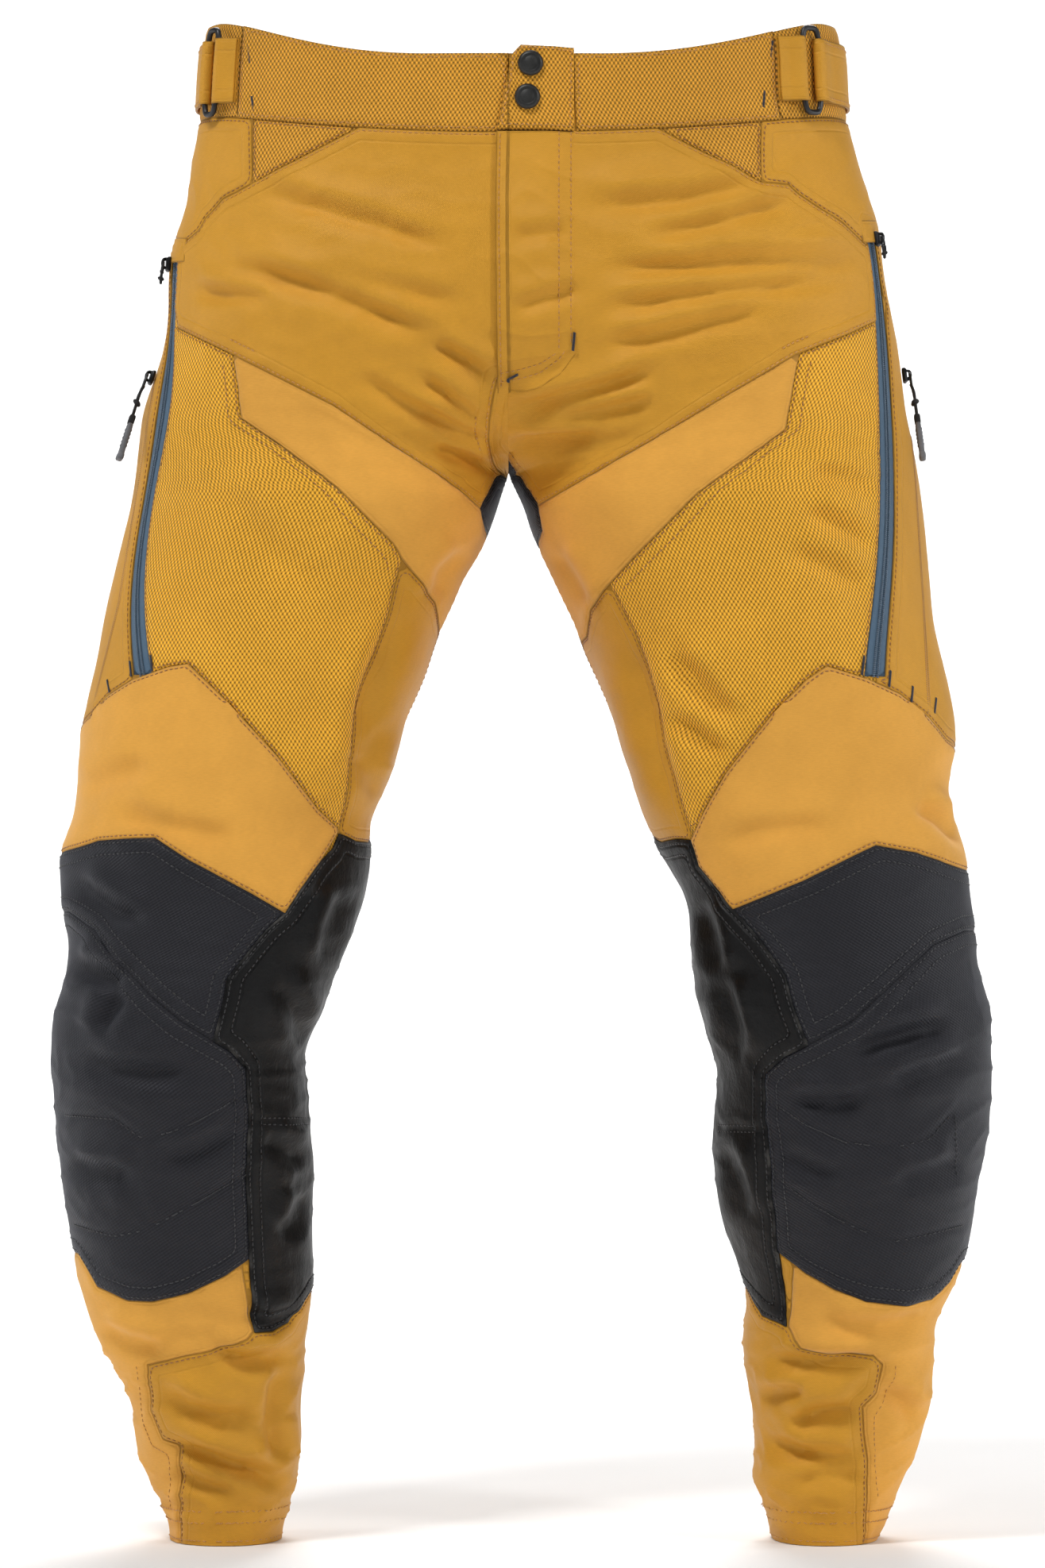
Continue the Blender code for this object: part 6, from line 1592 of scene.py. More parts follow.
def build_panels(side, first):
    """Cuts and places one half's panels; first is the number of pieces already made."""
    points, faces, panel = cut_sheet(side)
    diagonal = diagonal_tree(side)
    if side == "R":
        faces = faces[:, ::-1]
    level = points[faces].mean(1)[:, 1]
    panel = panel.astype(object)
    for stem in ("thigh_back_", "inner_thigh_"):
        mine = panel == stem + "panel_" + WORD[side]
        panel[mine & (level > SPLIT_Z)] = stem + "upper_" + WORD[side]
        panel[mine & (level <= SPLIT_Z)] = stem + "lower_" + WORD[side]
    u, z = points[:, 0] / ROUND, points[:, 1]
    base, out = envelope(side, u, z), normal(side, u, z)
    folded = height(side, u, z)
    across = around(side, u, z)
    real = zip_flat(across, z)
    names = sorted(set(panel) - {""})
    for count, name in enumerate(names, first):
        mine = faces[panel == name]
        d = seam_distance(side, name, points, real, mine)
        calm = 0.0 if name == "fly_zipper" else 1.0
        place = base + out * (folded * calm + level_of(name, d))[:, None]
        place[:, 2] = np.where(z < 0.0006, 0.0, place[:, 2])
        look = by_start(LOOK_OF, name, "twill")
        cloth_at = np.stack([across + 2.0, z, np.full(len(z), 0.1 * count)], 1)
        obj = cloth_solid(name + "_cloth", place, mine, out, by_start(THICK_OF, name, 0.0013),
                          look, cloth_at, d,
                          "gold_tape" if look in ("tape", "gold_tape") else "lining")
        node = name
        if name.startswith(("thigh_back", "inner_thigh")):
            node = name.replace("_upper_", "_panel_").replace("_lower_", "_panel_")
        attach(obj, ride_of(name, side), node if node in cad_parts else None)
        sew_panel_rows(name, side, mine, d, np.hstack([place, out, real]), diagonal)
    return first + len(names)


made = 0
for side in "RL":
    made = build_panels(side, made)


# ---------------------------------------------------------------- strips laid over the cloth
def grid_faces(columns, rows):
    f = []
    for j in range(rows):
        for i in range(columns):
            a = j * (columns + 1) + i
            f += [(a, a + 1, a + columns + 2), (a, a + columns + 2, a + columns + 1)]
    return np.array(f)


def both_sides(sides, us, zs, level):
    """Places and ways out of points that may lie on either half."""
    points, outs = np.zeros((len(us), 3)), np.zeros((len(us), 3))
    for side in "RL":
        m = sides == side
        if m.any():
            points[m] = surface(side, us[m], zs[m], level[m])
            outs[m] = normal(side, us[m], zs[m])
    return points, outs


def over(name, place, columns, rows, level, thick, look, edge_scale, inner_look="gold_tape",
         open_far=False):
    """A laid piece: place(s, t) gives (side, u, z), level(s, t) its height over the folded
    cloth, edge_scale its size. open_far: it runs on into the cloth at s = 1, with no seam."""
    s, t = np.meshgrid(np.linspace(0, 1, columns + 1), np.linspace(0, 1, rows + 1))
    s, t = s.ravel(), t.ravel()
    sides, us, zs = place(s, t)
    points, outs = both_sides(sides, us, zs, level(s, t))
    cloth_at = np.zeros((len(s), 3))
    for side in "RL":
        m = sides == side
        length = around(side, us[m], zs[m]) * SIGN[side] + 2.0
        cloth_at[m] = np.stack([length, zs[m], zs[m] * 0], 1)
    faces = grid_faces(columns, rows)
    a, b, c = points[faces[len(faces) // 2]]
    if np.cross(b - a, c - a) @ outs[faces[len(faces) // 2][0]] < 0:
        faces = faces[:, ::-1]
    across = s if open_far else np.minimum(s, 1 - s)
    edge = np.minimum(across * edge_scale[0], np.minimum(t, 1 - t) * edge_scale[1])
    return cloth_solid(name, points, faces, outs, thick, look, cloth_at, edge, inner_look,
                       open_far)


FLAP_X = 33.6   # hinge seam of the fly, front elevation mm
# free edges of the waist tab and the fly placket, front elevation mm
TAB_EDGE = np.array(pairs("-1.1,989.5 -7.9,982.7 -10.5,964.3 -13.7,948.5 -17.1,933.3"))
FLY_EDGE = np.array(pairs("-17.1,932.2 -17.9,893.3 -17.9,861.8 -17.3,809.3 -16.3,759.3"))
FLY_TOP = 932.2


def tab_at(s, t):
    k = np.linspace(0, 1, len(TAB_EDGE))
    xa, za = np.interp(t, k, TAB_EDGE[:, 0]), np.interp(t, k, TAB_EDGE[:, 1])
    zb = 987.7 + (933 - 987.7) * np.where(t > 0.25, t, t * 0.8)
    return split_front(xa + (FLAP_X + 0.5 - xa) * s, za + (zb - za) * s)


def tab_level(s, t):
    edge = np.minimum(np.minimum(s * 0.050, t * 0.054), (1 - t) * 0.054)
    return (0.0036 - 0.0011 * bell(edge, 0.0016)) * (1 - 0.97 * smooth01((s - 0.60) / 0.40))


def fly_at(s, t):
    k = (FLY_TOP - FLY_EDGE[:, 1]) / (FLY_TOP - FLY_EDGE[-1, 1])
    xa = np.interp(t, k, FLY_EDGE[:, 0])
    foot = np.interp(s, [0, 0.3, 0.56, 0.83, 1.0], [758.8, 761.2, 764.9, 773, 784])
    return split_front(xa + (FLAP_X + 0.8 - xa) * s, FLY_TOP + (foot - FLY_TOP) * t)


def fly_level(s, t):
    rolled = 0.0034 - 0.0009 * bell(np.minimum(s * 0.050, 1.0), 0.0016)
    flat = (1 - smooth01((s - 0.62) / 0.36)) * (1 - smooth01((t - 0.86) / 0.13))
    return rolled * flat + 0.0003


def back_band_at(s, t):
    """From the right side over the back to the left side."""
    right, left = SIDE_U["R"] + 0.001, SIDE_U["L"] + 0.001
    u = np.where(s < 0.5, right + (1 - SIDE_U["R"] - 0.001) * (s / 0.5),
                 1 - (1 - left) * ((s - 0.5) / 0.5))
    low, high = band_z(u) + 0.0003, rim_z(u) - 0.0004
    return np.where(s < 0.5, "R", "L"), u, low + (high - low) * t


def back_band_level(s, t):
    edge = np.minimum(t, 1 - t) * 0.056
    elastic = smooth01((s - 0.20) / 0.06) * smooth01((0.80 - s) / 0.06)
    elastic *= 1 - smooth01(np.abs(t - 0.5) * 2.0 / 0.95) * 0.6
    ripple = 0.0009 * np.sin(s * 420 + 1.4 * np.sin(t * 5 + s * 60)) * elastic
    return 0.0004 + ripple - 0.0010 * bell(edge, 0.0020) + 0.0006 * np.sin(np.pi * t)


tab = over("waist_tab_cloth", tab_at, 44, 36, tab_level, thick=0.0024, look="waist_mesh",
           edge_scale=(0.050, 0.054), inner_look="lining", open_far=True)
attach(tab, "fly_flap", node="waist_tab")
placket = over("fly_placket_cloth", fly_at, 30, 100, fly_level, thick=0.0012, look="twill",
               edge_scale=(0.050, 2.0), open_far=True)
attach(placket, "flap", node="fly_placket")
band = over("waistband_back_cloth", back_band_at, 300, 18, back_band_level, thick=0.0026,
            look="waist_mesh", edge_scale=(0.70, 0.056), inner_look="lining")
attach(band, "pelvis", node="waistband_back")


# ---------------------------------------------------------------- threads, coils and bartacks
def sheet_row(u, z, count):
    """A straight sheet row between two values of u or of z."""
    return np.stack([np.linspace(*u, count) * ROUND, np.linspace(*z, count)], 1)


for side in "RL":
    for z, zigzag in ((0.0225, 0.0005), (0.0150, 0.0005), (0.0030, 0.0)):   # hem
        stitch_row(side, sheet_row((0.002, 0.998), (z, z), 240), lambda n: True, "thread_gold",
                   zigzag=zigzag)
    for u in (0.0065, 0.9935):   # inseam
        stitch_row(side, sheet_row((u, u), (0.06, 0.60), 200),
                   lambda n: not n.startswith("crotch"), "thread_brown")
    stitch_row(side, sheet_row((0.9880, 0.9880), (0.74, 0.93), 120),   # seat seam
               lambda n: n.startswith("seat"), "thread_gold")


def drawn_row(line, look, panels, lift=0.0003):
    """A stitch row given on the front elevation, on panels whose names start so."""
    line = resampled(np.array(line, float), 3.0)
    sides, u, z = split_front(line[:, 0], line[:, 1])
    for side in "RL":
        m = sides == side
        if m.sum() > 2:
            stitch_row(side, np.stack([u[m] * ROUND, z[m]], 1), lambda n: n.startswith(panels),
                       look, lift)


LEFT_KNEE_UPRIGHT = [(286.9, 280.6), (286.9, 240.7)]
for line in KNEE_LINES[:2] + [LEFT_KNEE_UPRIGHT] + KNEE_LINES[2:]:
    drawn_row(line, "thread_black", ("knee_upper", "knee_lower"), lift=0.0006)
for offset in (2.1, -2.1):
    for line in LEATHER_LINES:
        drawn_row([(x, z + offset) for x, z in line], "thread_black", "knee_leather",
                  lift=0.0008)
for line in ("-254.3,116.1 -252.2,85.7 -245.4,62 -234.4,55.7 -233.3,21",
             "245.9,116.1 242.8,94.6 232.8,83 233.8,51 233.8,28.4"):
    drawn_row(pairs(line), "thread_gold", "shin")


def tangents(place, out):
    """Ways along a line and across it."""
    along = unit_rows(np.gradient(place, axis=0))
    return along, np.cross(along, out)


def coil(side, u, z, look, half, gap, level, pitch=0.0013):
    """Zip coil along a line of the sheet: two rows of small turns that meet in the middle."""
    line = resampled(np.hstack([surface(side, u, z, level), normal(side, u, z)]), pitch)
    place, out = line[:, :3], unit_rows(line[:, 3:])
    along, across = tangents(place, out)
    for sign in (1, -1):
        sew(look, "hip", side, place + across * sign * gap,
            place + across * sign * half + along * pitch * 0.35, out, pitch * 0.36, 0.00045)


for side in "RL":
    coil(side, *VENT_PATH[side], "coil_blue", half=0.0027, gap=0.00025, level=-0.0004)
    line = resampled(POCKET_LINES[side], 2.0)
    coil(side, *front_many(side, line[:, 0], line[:, 1]), "coil_gold", half=0.0022, gap=0.0002,
         level=0.0001)

# the fly's coil, sunk behind the placket
FLY_ZIP_X = -1.6
u, z = front_many("L", np.full(40, FLY_ZIP_X), np.linspace(929.1, 768.3, 40))
out = normal("L", u, z)
line = resampled(np.hstack([envelope("L", u, z) - out * 0.0058, out]), 0.0015)
place, out = line[:, :3], line[:, 3:]
across = unit_rows(np.cross(np.gradient(place, axis=0), out))
for sign in (1, -1):
    sew("coil_gold", "pelvis", "L", place + across * sign * 0.0003,
        place + across * sign * 0.0024, out, wide=0.0005, high=0.0005)


def laid_row(laid_at, laid_level, s, t, kind, zigzag=0.0):
    """Gold stitches on a laid piece; s and t are numbers or rows of 120."""
    s, t = s + np.zeros(120), t + np.zeros(120)
    place, out = both_sides(*laid_at(s, t), laid_level(s, t) + 0.00025)
    sew_line(np.hstack([place, out]), "thread_gold", kind, "L", zigzag)


share = np.linspace(0, 1, 120)
for s in (0.045, 0.95):
    laid_row(tab_at, tab_level, s, 0.05 + 0.9 * share, "fly_flap", 0.0006)
for t in (0.05, 0.945):
    laid_row(tab_at, tab_level, 0.05 + 0.95 * share, t, "fly_flap", 0.0006)
for s, start, run in ((0.045, 0.01, 0.97), (0.80, 0.0, 0.90), (0.955, 0.0, 0.93)):
    laid_row(fly_at, fly_level, s, start + run * share, "flap")
for run, rise in ((0.85, 0.0), (0.74, 0.035)):   # two rows along the curved foot
    s = 0.03 + run * share
    foot = np.interp(s, [0, 0.56, 0.8, 1.0], [0.955, 0.95, 0.94, 0.90])
    laid_row(fly_at, fly_level, s, foot - rise, "flap")


def bartack(a, b, kind=None, level=0.0006):
    """A dense zigzag bar between two front elevation points."""
    a, b = np.array(a, float), np.array(b, float)
    count = max(6, int(np.hypot(*(b - a)) / 0.55))
    line = a + (b - a) * np.linspace(0, 1, count)[:, None]
    side = "R" if line[:, 0].mean() < CENTRE_X_MM else "L"
    u, z = front_many(side, line[:, 0], line[:, 1])
    place, out = surface(side, u, z, level), normal(side, u, z)
    along, across = tangents(place, out)
    across *= 0.0011
    name = label_at(side, np.stack([u * ROUND, z], 1))[count // 2]
    name = name.replace("thigh_back_panel", "thigh_back_upper")
    sew("thread_navy", kind or ride_of(name, side), side, place - across + along * 0.0003,
        place + across - along * 0.0003, out, wide=0.00034, high=0.0005)


# start and end of each bartack in turn
TACKS = pairs("""
-181.3,989 -180.2,978  -178.9,955.4 -177.6,945.9  165,992.1 163.7,981.6  160,959 159.2,948.5
-245.9,585.4 -244.9,575.4  -259.6,581.7 -258.5,571.7  -274.3,569.1 -272.7,561.2
226,584.9 224.4,572.8  243.3,575.4 242.3,564.9  258,564.9 257,554.9  273.3,557 272.2,547.6
""")
for a, b in zip(TACKS[0::2], TACKS[1::2]):
    bartack(a, b)
bartack((34.4, 799.3), (33.4, 787.7), kind="flap", level=0.0014)
bartack((-13.7, 767.8), (-3.2, 772.5), kind="flap", level=0.0032)


# ---------------------------------------------------------------- hardware
def frame_at(origin, out_dir, up_dir):
    """Local frame: X across, Y out of the cloth, Z up along it."""
    y = Vector(out_dir).normalized()
    z = (Vector(up_dir) - Vector(up_dir).dot(y) * y).normalized()
    m = Matrix((y.cross(z), y, z)).transposed().to_4x4()
    m.translation = Vector(origin)
    return m


def from_bmesh(name, bm, look, world, angle=0.7):
    bm.transform(world)
    bmesh.ops.recalc_face_normals(bm, faces=bm.faces)
    mesh = bpy.data.meshes.new(name)
    bm.to_mesh(mesh)
    bm.free()
    mesh.shade_smooth()
    mesh.set_sharp_from_angle(angle=angle)
    mesh.materials.append(MATERIALS[look])
    return place_mesh(mesh, name)


def add_box(bm, size, at, round_by, taper=None, segments=3):
    """A rounded box; taper is its width at the foot over that at the top."""
    made = bmesh.ops.create_cube(bm, size=1.0)["verts"]
    for v in made:
        v.co = Vector((v.co.x * size[0], v.co.y * size[1], v.co.z * size[2]))
        if taper:
            v.co.x *= 1 + (taper - 1) * (0.5 - v.co.z / size[2])
    edges = {e for v in made for e in v.link_edges}
    out = bmesh.ops.bevel(bm, geom=list(edges), offset=round_by, segments=segments,
                          affect="EDGES", profile=0.5)
    seen = {v for f in out["faces"] for v in f.verts} | {v for v in made if v.is_valid}
    todo = list(seen)
    while todo:
        for e in todo.pop().link_edges:
            for v in e.verts:
                if v not in seen:
                    seen.add(v)
                    todo.append(v)
    for v in seen:
        v.co += Vector(at)


def add_tube(bm, path, radius, sides=8, cyclic=False, flat=1.0):
    path = [Vector(p) for p in path]
    n = len(path)
    rings, up = [], None
    for i, p in enumerate(path):
        a = path[i - 1] if (i or cyclic) else path[i]
        b = path[(i + 1) % n] if (i < n - 1 or cyclic) else path[i]
        t = (b - a).normalized()
        if up is None:
            up = t.orthogonal().normalized()
        up = (up - up.dot(t) * t).normalized()
        w = t.cross(up)
        rings.append([bm.verts.new(p + (up * math.cos(q) + w * math.sin(q) * flat) * radius)
                      for q in np.linspace(0, 2 * math.pi, sides, endpoint=False)])
    for i in range(n if cyclic else n - 1):
        a, b = rings[i], rings[(i + 1) % n]
        shift = 0
        if cyclic and i == n - 1:
            shift = min(range(sides), key=lambda k: (a[0].co - b[k].co).length)
        for q in range(sides):
            bm.faces.new([a[q], a[(q + 1) % sides], b[(q + 1 + shift) % sides],
                          b[(q + shift) % sides]])
    if not cyclic:
        bm.faces.new(rings[0][::-1])
        bm.faces.new(rings[-1])


def smoothed(points, count, closed=False):
    """Points along a soft curve through the given ones."""
    p = np.array(points, float)
    n = len(p)
    out = []
    for k in range(n if closed else n - 1):
        a, b, c, d = (p[(k + j) % n] if closed else p[min(max(k + j, 0), n - 1)]
                      for j in (-1, 0, 1, 2))
        for t in np.linspace(0, 1, count, endpoint=False):
            out.append(0.5 * (2 * b + (c - a) * t + (2 * a - 5 * b + 4 * c - d) * t * t
                              + (3 * b - a - 3 * c + d) * t**3))
    if not closed:
        out.append(p[-1])
    return out


def add_turned(bm, profile, segments):
    """A turned part from (radius, height) points."""
    rings = []
    for r, h in profile:
        turn = np.linspace(0, 2 * math.pi, segments, endpoint=False) if r > 1e-6 else [0.0]
        rings.append([bm.verts.new((r * math.cos(q), h, r * math.sin(q))) for q in turn])
    for a, b in zip(rings, rings[1:]):
        for q in range(segments):
            r = (q + 1) % segments
            ring = [a[q % len(a)], a[r % len(a)], b[r % len(b)], b[q % len(b)]]
            ring = list(dict.fromkeys(ring))
            if len(ring) > 2:
                bm.faces.new(ring)


# (radius, height): a domed cap with a turned-down rim and one shallow ring; its stud
SNAP_CAP = [(0, 0.00315), (0.0042, 0.00320), (0.0047, 0.00290), (0.0052, 0.00320),
            (0.0066, 0.00315), (0.0074, 0.00265), (0.0080, 0.00190), (0.0083, 0.00105),
            (0.0082, 0.0001), (0, 0.0001)]
SNAP_STUD = [(0, 0.0021), (0.0030, 0.0021), (0.0034, 0.0017), (0.0036, 0.0008),
             (0.0062, 0.0006), (0.0068, 0.0001), (0, 0.0001)]
for which, x, z in (("upper", 5.3, 976.9), ("lower", 3.2, 954.8)):
    u, z = (float(v[0]) for v in front_many("L", [x], [z]))
    centre, out = envelope("L", u, z), normal("L", u, z)
    bm = bmesh.new()
    add_turned(bm, SNAP_CAP, segments=40)
    cap = from_bmesh(f"snap_cap_{which}_metal", bm, "metal",
                     frame_at(centre + out * 0.0040, out, (0, 0, 1)), angle=1.1)
    attach(cap, "fly_flap", node="snap_cap_" + which)
    bm = bmesh.new()
    add_turned(bm, SNAP_STUD, segments=28)
    stud = from_bmesh(f"snap_stud_{which}_metal", bm, "zinc",
                      frame_at(centre - out * 0.0001, out, (0, 0, 1)), angle=1.1)
    attach(stud, "pelvis")


def zip_frame(side, start, end):
    """Local frame at the start of a zip's travel; its -Z points to the end of it."""
    u, z = front(side, *start)
    end_u, end_z = front(side, *end)
    out = normal(side, u, z)
    a = envelope(side, u, z) + out * 0.0023
    b = envelope(side, end_u, end_z) + normal(side, end_u, end_z) * 0.0023
    return frame_at(a, out, -(b - a) / np.linalg.norm(b - a))


def add_vent_cord(bm, tip):
    """A short knotted loop."""
    add_tube(bm, smoothed([(0.0005, 0.0036, tip + 0.0012), (0.0014, 0.0044, tip - 0.001),
                           (0.0012, 0.0046, -0.0100), (0.0002, 0.0046, -0.0135),
                           (-0.0010, 0.0046, -0.0100), (-0.0014, 0.0048, tip - 0.001),
                           (-0.0004, 0.0050, tip + 0.0014)], 5), 0.0009)
    add_tube(bm, smoothed([(-0.0014, 0.0046, -0.0104), (0, 0.0060, -0.0100),
                           (0.0015, 0.0046, -0.0104), (0, 0.0034, -0.0108)], 5, True),
             0.0009, cyclic=True)


def add_pocket_cord(bm, tip):
    """Two strands, a knot and a block that holds the grip."""
    strand = [(0.0004, 0.0036, tip + 0.0014), (0.0016, 0.0044, tip - 0.002),
              (0.0030, 0.0048, -0.0145), (0.0022, 0.0048, -0.0180),
              (0.0008, 0.0047, -0.0215), (0.0007, 0.0046, -0.0310)]
    add_tube(bm, smoothed(strand, 5), 0.0010)
    add_tube(bm, smoothed([(-x, y + 0.0003, z) for x, y, z in strand], 5), 0.0010)
    add_tube(bm, smoothed([(-0.0024, 0.0047, -0.0200), (-0.0006, 0.0066, -0.0192),
                           (0.0024, 0.0050, -0.0196), (0.0020, 0.0034, -0.0206),
                           (-0.0010, 0.0032, -0.0212)], 6, True), 0.0011, cyclic=True)
    add_box(bm, (0.0058, 0.0040, 0.0065), (0, 0.0047, -0.0325), 0.0011)


def zip_hardware(kind, side, start, end):
    """Slider, wire drop, cord and, on the pockets, a ribbed rubber grip."""
    local = zip_frame(side, start, end)
    body = f"{kind}_slider_{WORD[side]}"
    bm = bmesh.new()
    add_box(bm, (0.0072, 0.0026, 0.0095), (0, 0.0002, 0), 0.0010, 0.78)
    add_box(bm, (0.0058, 0.0012, 0.0082), (0, 0.0014, 0), 0.0005, 0.8)
    add_tube(bm, smoothed([(0, 0.0016, 0.0036), (0, 0.0036, 0.0030), (0, 0.0043, 0.0006),
                           (0, 0.0036, -0.0020), (0, 0.0016, -0.0028)], 5), 0.00085, flat=1.5)
    attach(from_bmesh(body + "_metal", bm, "zinc", local), body, node=body)
    body = f"{kind}_pull_{WORD[side]}"
    tip = -0.0085 if kind == "pocket" else -0.0065
    bm = bmesh.new()
    add_tube(bm, smoothed([(-0.0016, 0.0038, 0.0004), (-0.0026, 0.0040, -0.0020),
                           (-0.0024, 0.0041, tip + 0.002), (0, 0.0042, tip),
                           (0.0024, 0.0041, tip + 0.002), (0.0026, 0.0040, -0.0020),
                           (0.0016, 0.0038, 0.0004), (0, 0.0037, 0.0012)], 5, True),
             0.00075, cyclic=True)
    attach(from_bmesh(body + "_metal", bm, "zinc", local), body, node=body)
    bm = bmesh.new()
    (add_vent_cord if kind == "vent" else add_pocket_cord)(bm, tip)
    attach(from_bmesh(body + "_cord", bm, "cord", local), body)
    if kind == "pocket":
        bm = bmesh.new()
        add_box(bm, (0.0066, 0.0036, 0.0235), (0, 0.0046, -0.0470), 0.0012)
        add_box(bm, (0.0078, 0.0044, 0.0050), (0, 0.0046, -0.0592), 0.0014)
        for k in range(5):
            add_box(bm, (0.0052, 0.0044, 0.0009), (0, 0.0046, -0.0400 - 0.0028 * k), 0.0003,
                    segments=2)
        attach(from_bmesh(body + "_tab", bm, "rubber", local), body)


# start and end of each slider's travel, front elevation mm
zip_hardware("vent", "R", (-231.7, 844), (-243.3, 698.9))
zip_hardware("vent", "L", (232.3, 860.8), (242.3, 704.2))
zip_hardware("pocket", "R", (-242.8, 768.3), (-262.8, 622.2))
zip_hardware("pocket", "L", (252.8, 770.4), (263.8, 624.3))


def fly_slider():
    """The slider in the fly's recess, in the frame of a swing about its travel's arc."""
    spots = [front("L", FLY_ZIP_X, z) for z in np.linspace(914.4, 790.4, 26)]
    path = np.array([envelope("L", *spot) - normal("L", *spot) * 0.0025 for spot in spots])
    # circle fitted through the travel in the YZ plane
    terms = np.column_stack([2 * path[:, 1:], np.ones(len(path))])
    (arc_y, arc_z, rest), *_ = np.linalg.lstsq(terms, (path[:, 1:] ** 2).sum(1), rcond=None)
    centre = Vector((path[0][0], arc_y, arc_z))
    out = (Vector(path[0]) - centre).normalized()
    radius = math.sqrt(rest + arc_y * arc_y + arc_z * arc_z)
    bm = bmesh.new()
    add_box(bm, (0.0068, 0.0018, 0.0100), (0, 0, 0), 0.0007, 0.8)
    add_tube(bm, smoothed([(0, 0.0006, 0.0030), (0, 0.0017, 0.0016), (0, 0.0017, -0.0010),
                           (0, 0.0006, -0.0024)], 4), 0.0006)
    add_box(bm, (0.0046, 0.0009, 0.0150), (0, 0.0011, -0.0105), 0.0004, 1.15)
    slider = from_bmesh("fly_slider_metal", bm, "zinc",
                        frame_at(centre + radius * out, out, (0, 0, 1)))
    attach(slider, "fly_slider", node="fly_slider")


fly_slider()

# ---------------------------------------------------------------- side adjusters
RING_U = {"R": 0.375, "L": 0.327}   # middle of each ring
RING_Z = 0.9655
RING_STEP_U = 0.0195                # from its middle to its upright bars


def ribbon(node, side, path, half_width, thick, body):
    """A strap whose path is (length along the waist, height out) in mm; it keeps its width up
    and down. Returns its outer and inner points as (row, along, 3)."""
    path = np.array(smoothed(path, 8), float)
    low_z, high_z = RING_Z - half_width, RING_Z + half_width
    guide = np.linspace(0.2, 0.7, 400)
    lengths = around(side, guide, np.full(400, (low_z + high_z) / 2))
    us = np.interp(path[:, 0] * MM, lengths, guide)
    d = unit_rows(np.gradient(path, axis=0))
    rows, count = 9, len(us)
    top, under, at = [], [], []
    steps = np.hypot(*np.diff(path, axis=0).T)
    length = np.concatenate([[0], np.cumsum(steps)]) * MM
    for j in range(rows + 1):
        t = j / rows
        zs = np.full(count, low_z + (high_z - low_z) * t)
        crown = 0.35 * math.sin(math.pi * t) - 0.25 * (abs(t - 0.5) > 0.4)
        n, p = normal(side, us, zs), envelope(side, us, zs)
        along = np.cross(np.array([0, 0, 1.0]), n)
        along *= np.sign(((p[-1] - p[0]) * along[0]).sum())
        outward = -d[:, 1:2] * along + d[:, 0:1] * n
        middle = p + n * (path[:, 1:2] * MM)
        top.append(middle + outward * (thick / 2 + crown * MM * 0.5))
        under.append(middle - outward * thick / 2)
        at.append(np.stack([length, zs, 0 * length], 1))
    outer, inner = np.vstack(top), np.vstack(under)
    faces = grid_faces(count - 1, rows)
    a, b, c = faces[0]
    if np.cross(outer[b] - outer[a], outer[c] - outer[a]) @ (outer[a] - inner[a]) < 0:
        faces = faces[:, ::-1]
    t = np.repeat(np.arange(rows + 1) / rows, count)
    edge = np.minimum(t, 1 - t) * (high_z - low_z)
    obj = make(node + "_cloth", np.vstack([outer, inner]), closed_faces(faces, len(outer)),
               "twill", cloth_at=np.vstack(at * 2), edge=np.tile(edge, 2))
    attach(obj, body, node=node)
    return outer.reshape(rows + 1, count, 3), inner.reshape(rows + 1, count, 3)


def strap_row(strap, row, start, end, body, side):
    """Stitches along a strap at a share of its width, between two shares of its length."""
    outer, inner = strap
    j = row * (len(outer) - 1)
    a, b = int(j), min(int(j) + 1, len(outer) - 1)
    p, q = (pts[a] * (1 - (j - a)) + pts[b] * (j - a) for pts in (outer, inner))
    n = unit_rows(p - q)
    part = slice(int(start * (len(p) - 1)), int(end * (len(p) - 1)) + 1)
    sew_line(np.hstack([p[part] + n[part] * 0.00025, n[part]]), "thread_gold", body, side,
             length=0.0024, gap=0.0010)


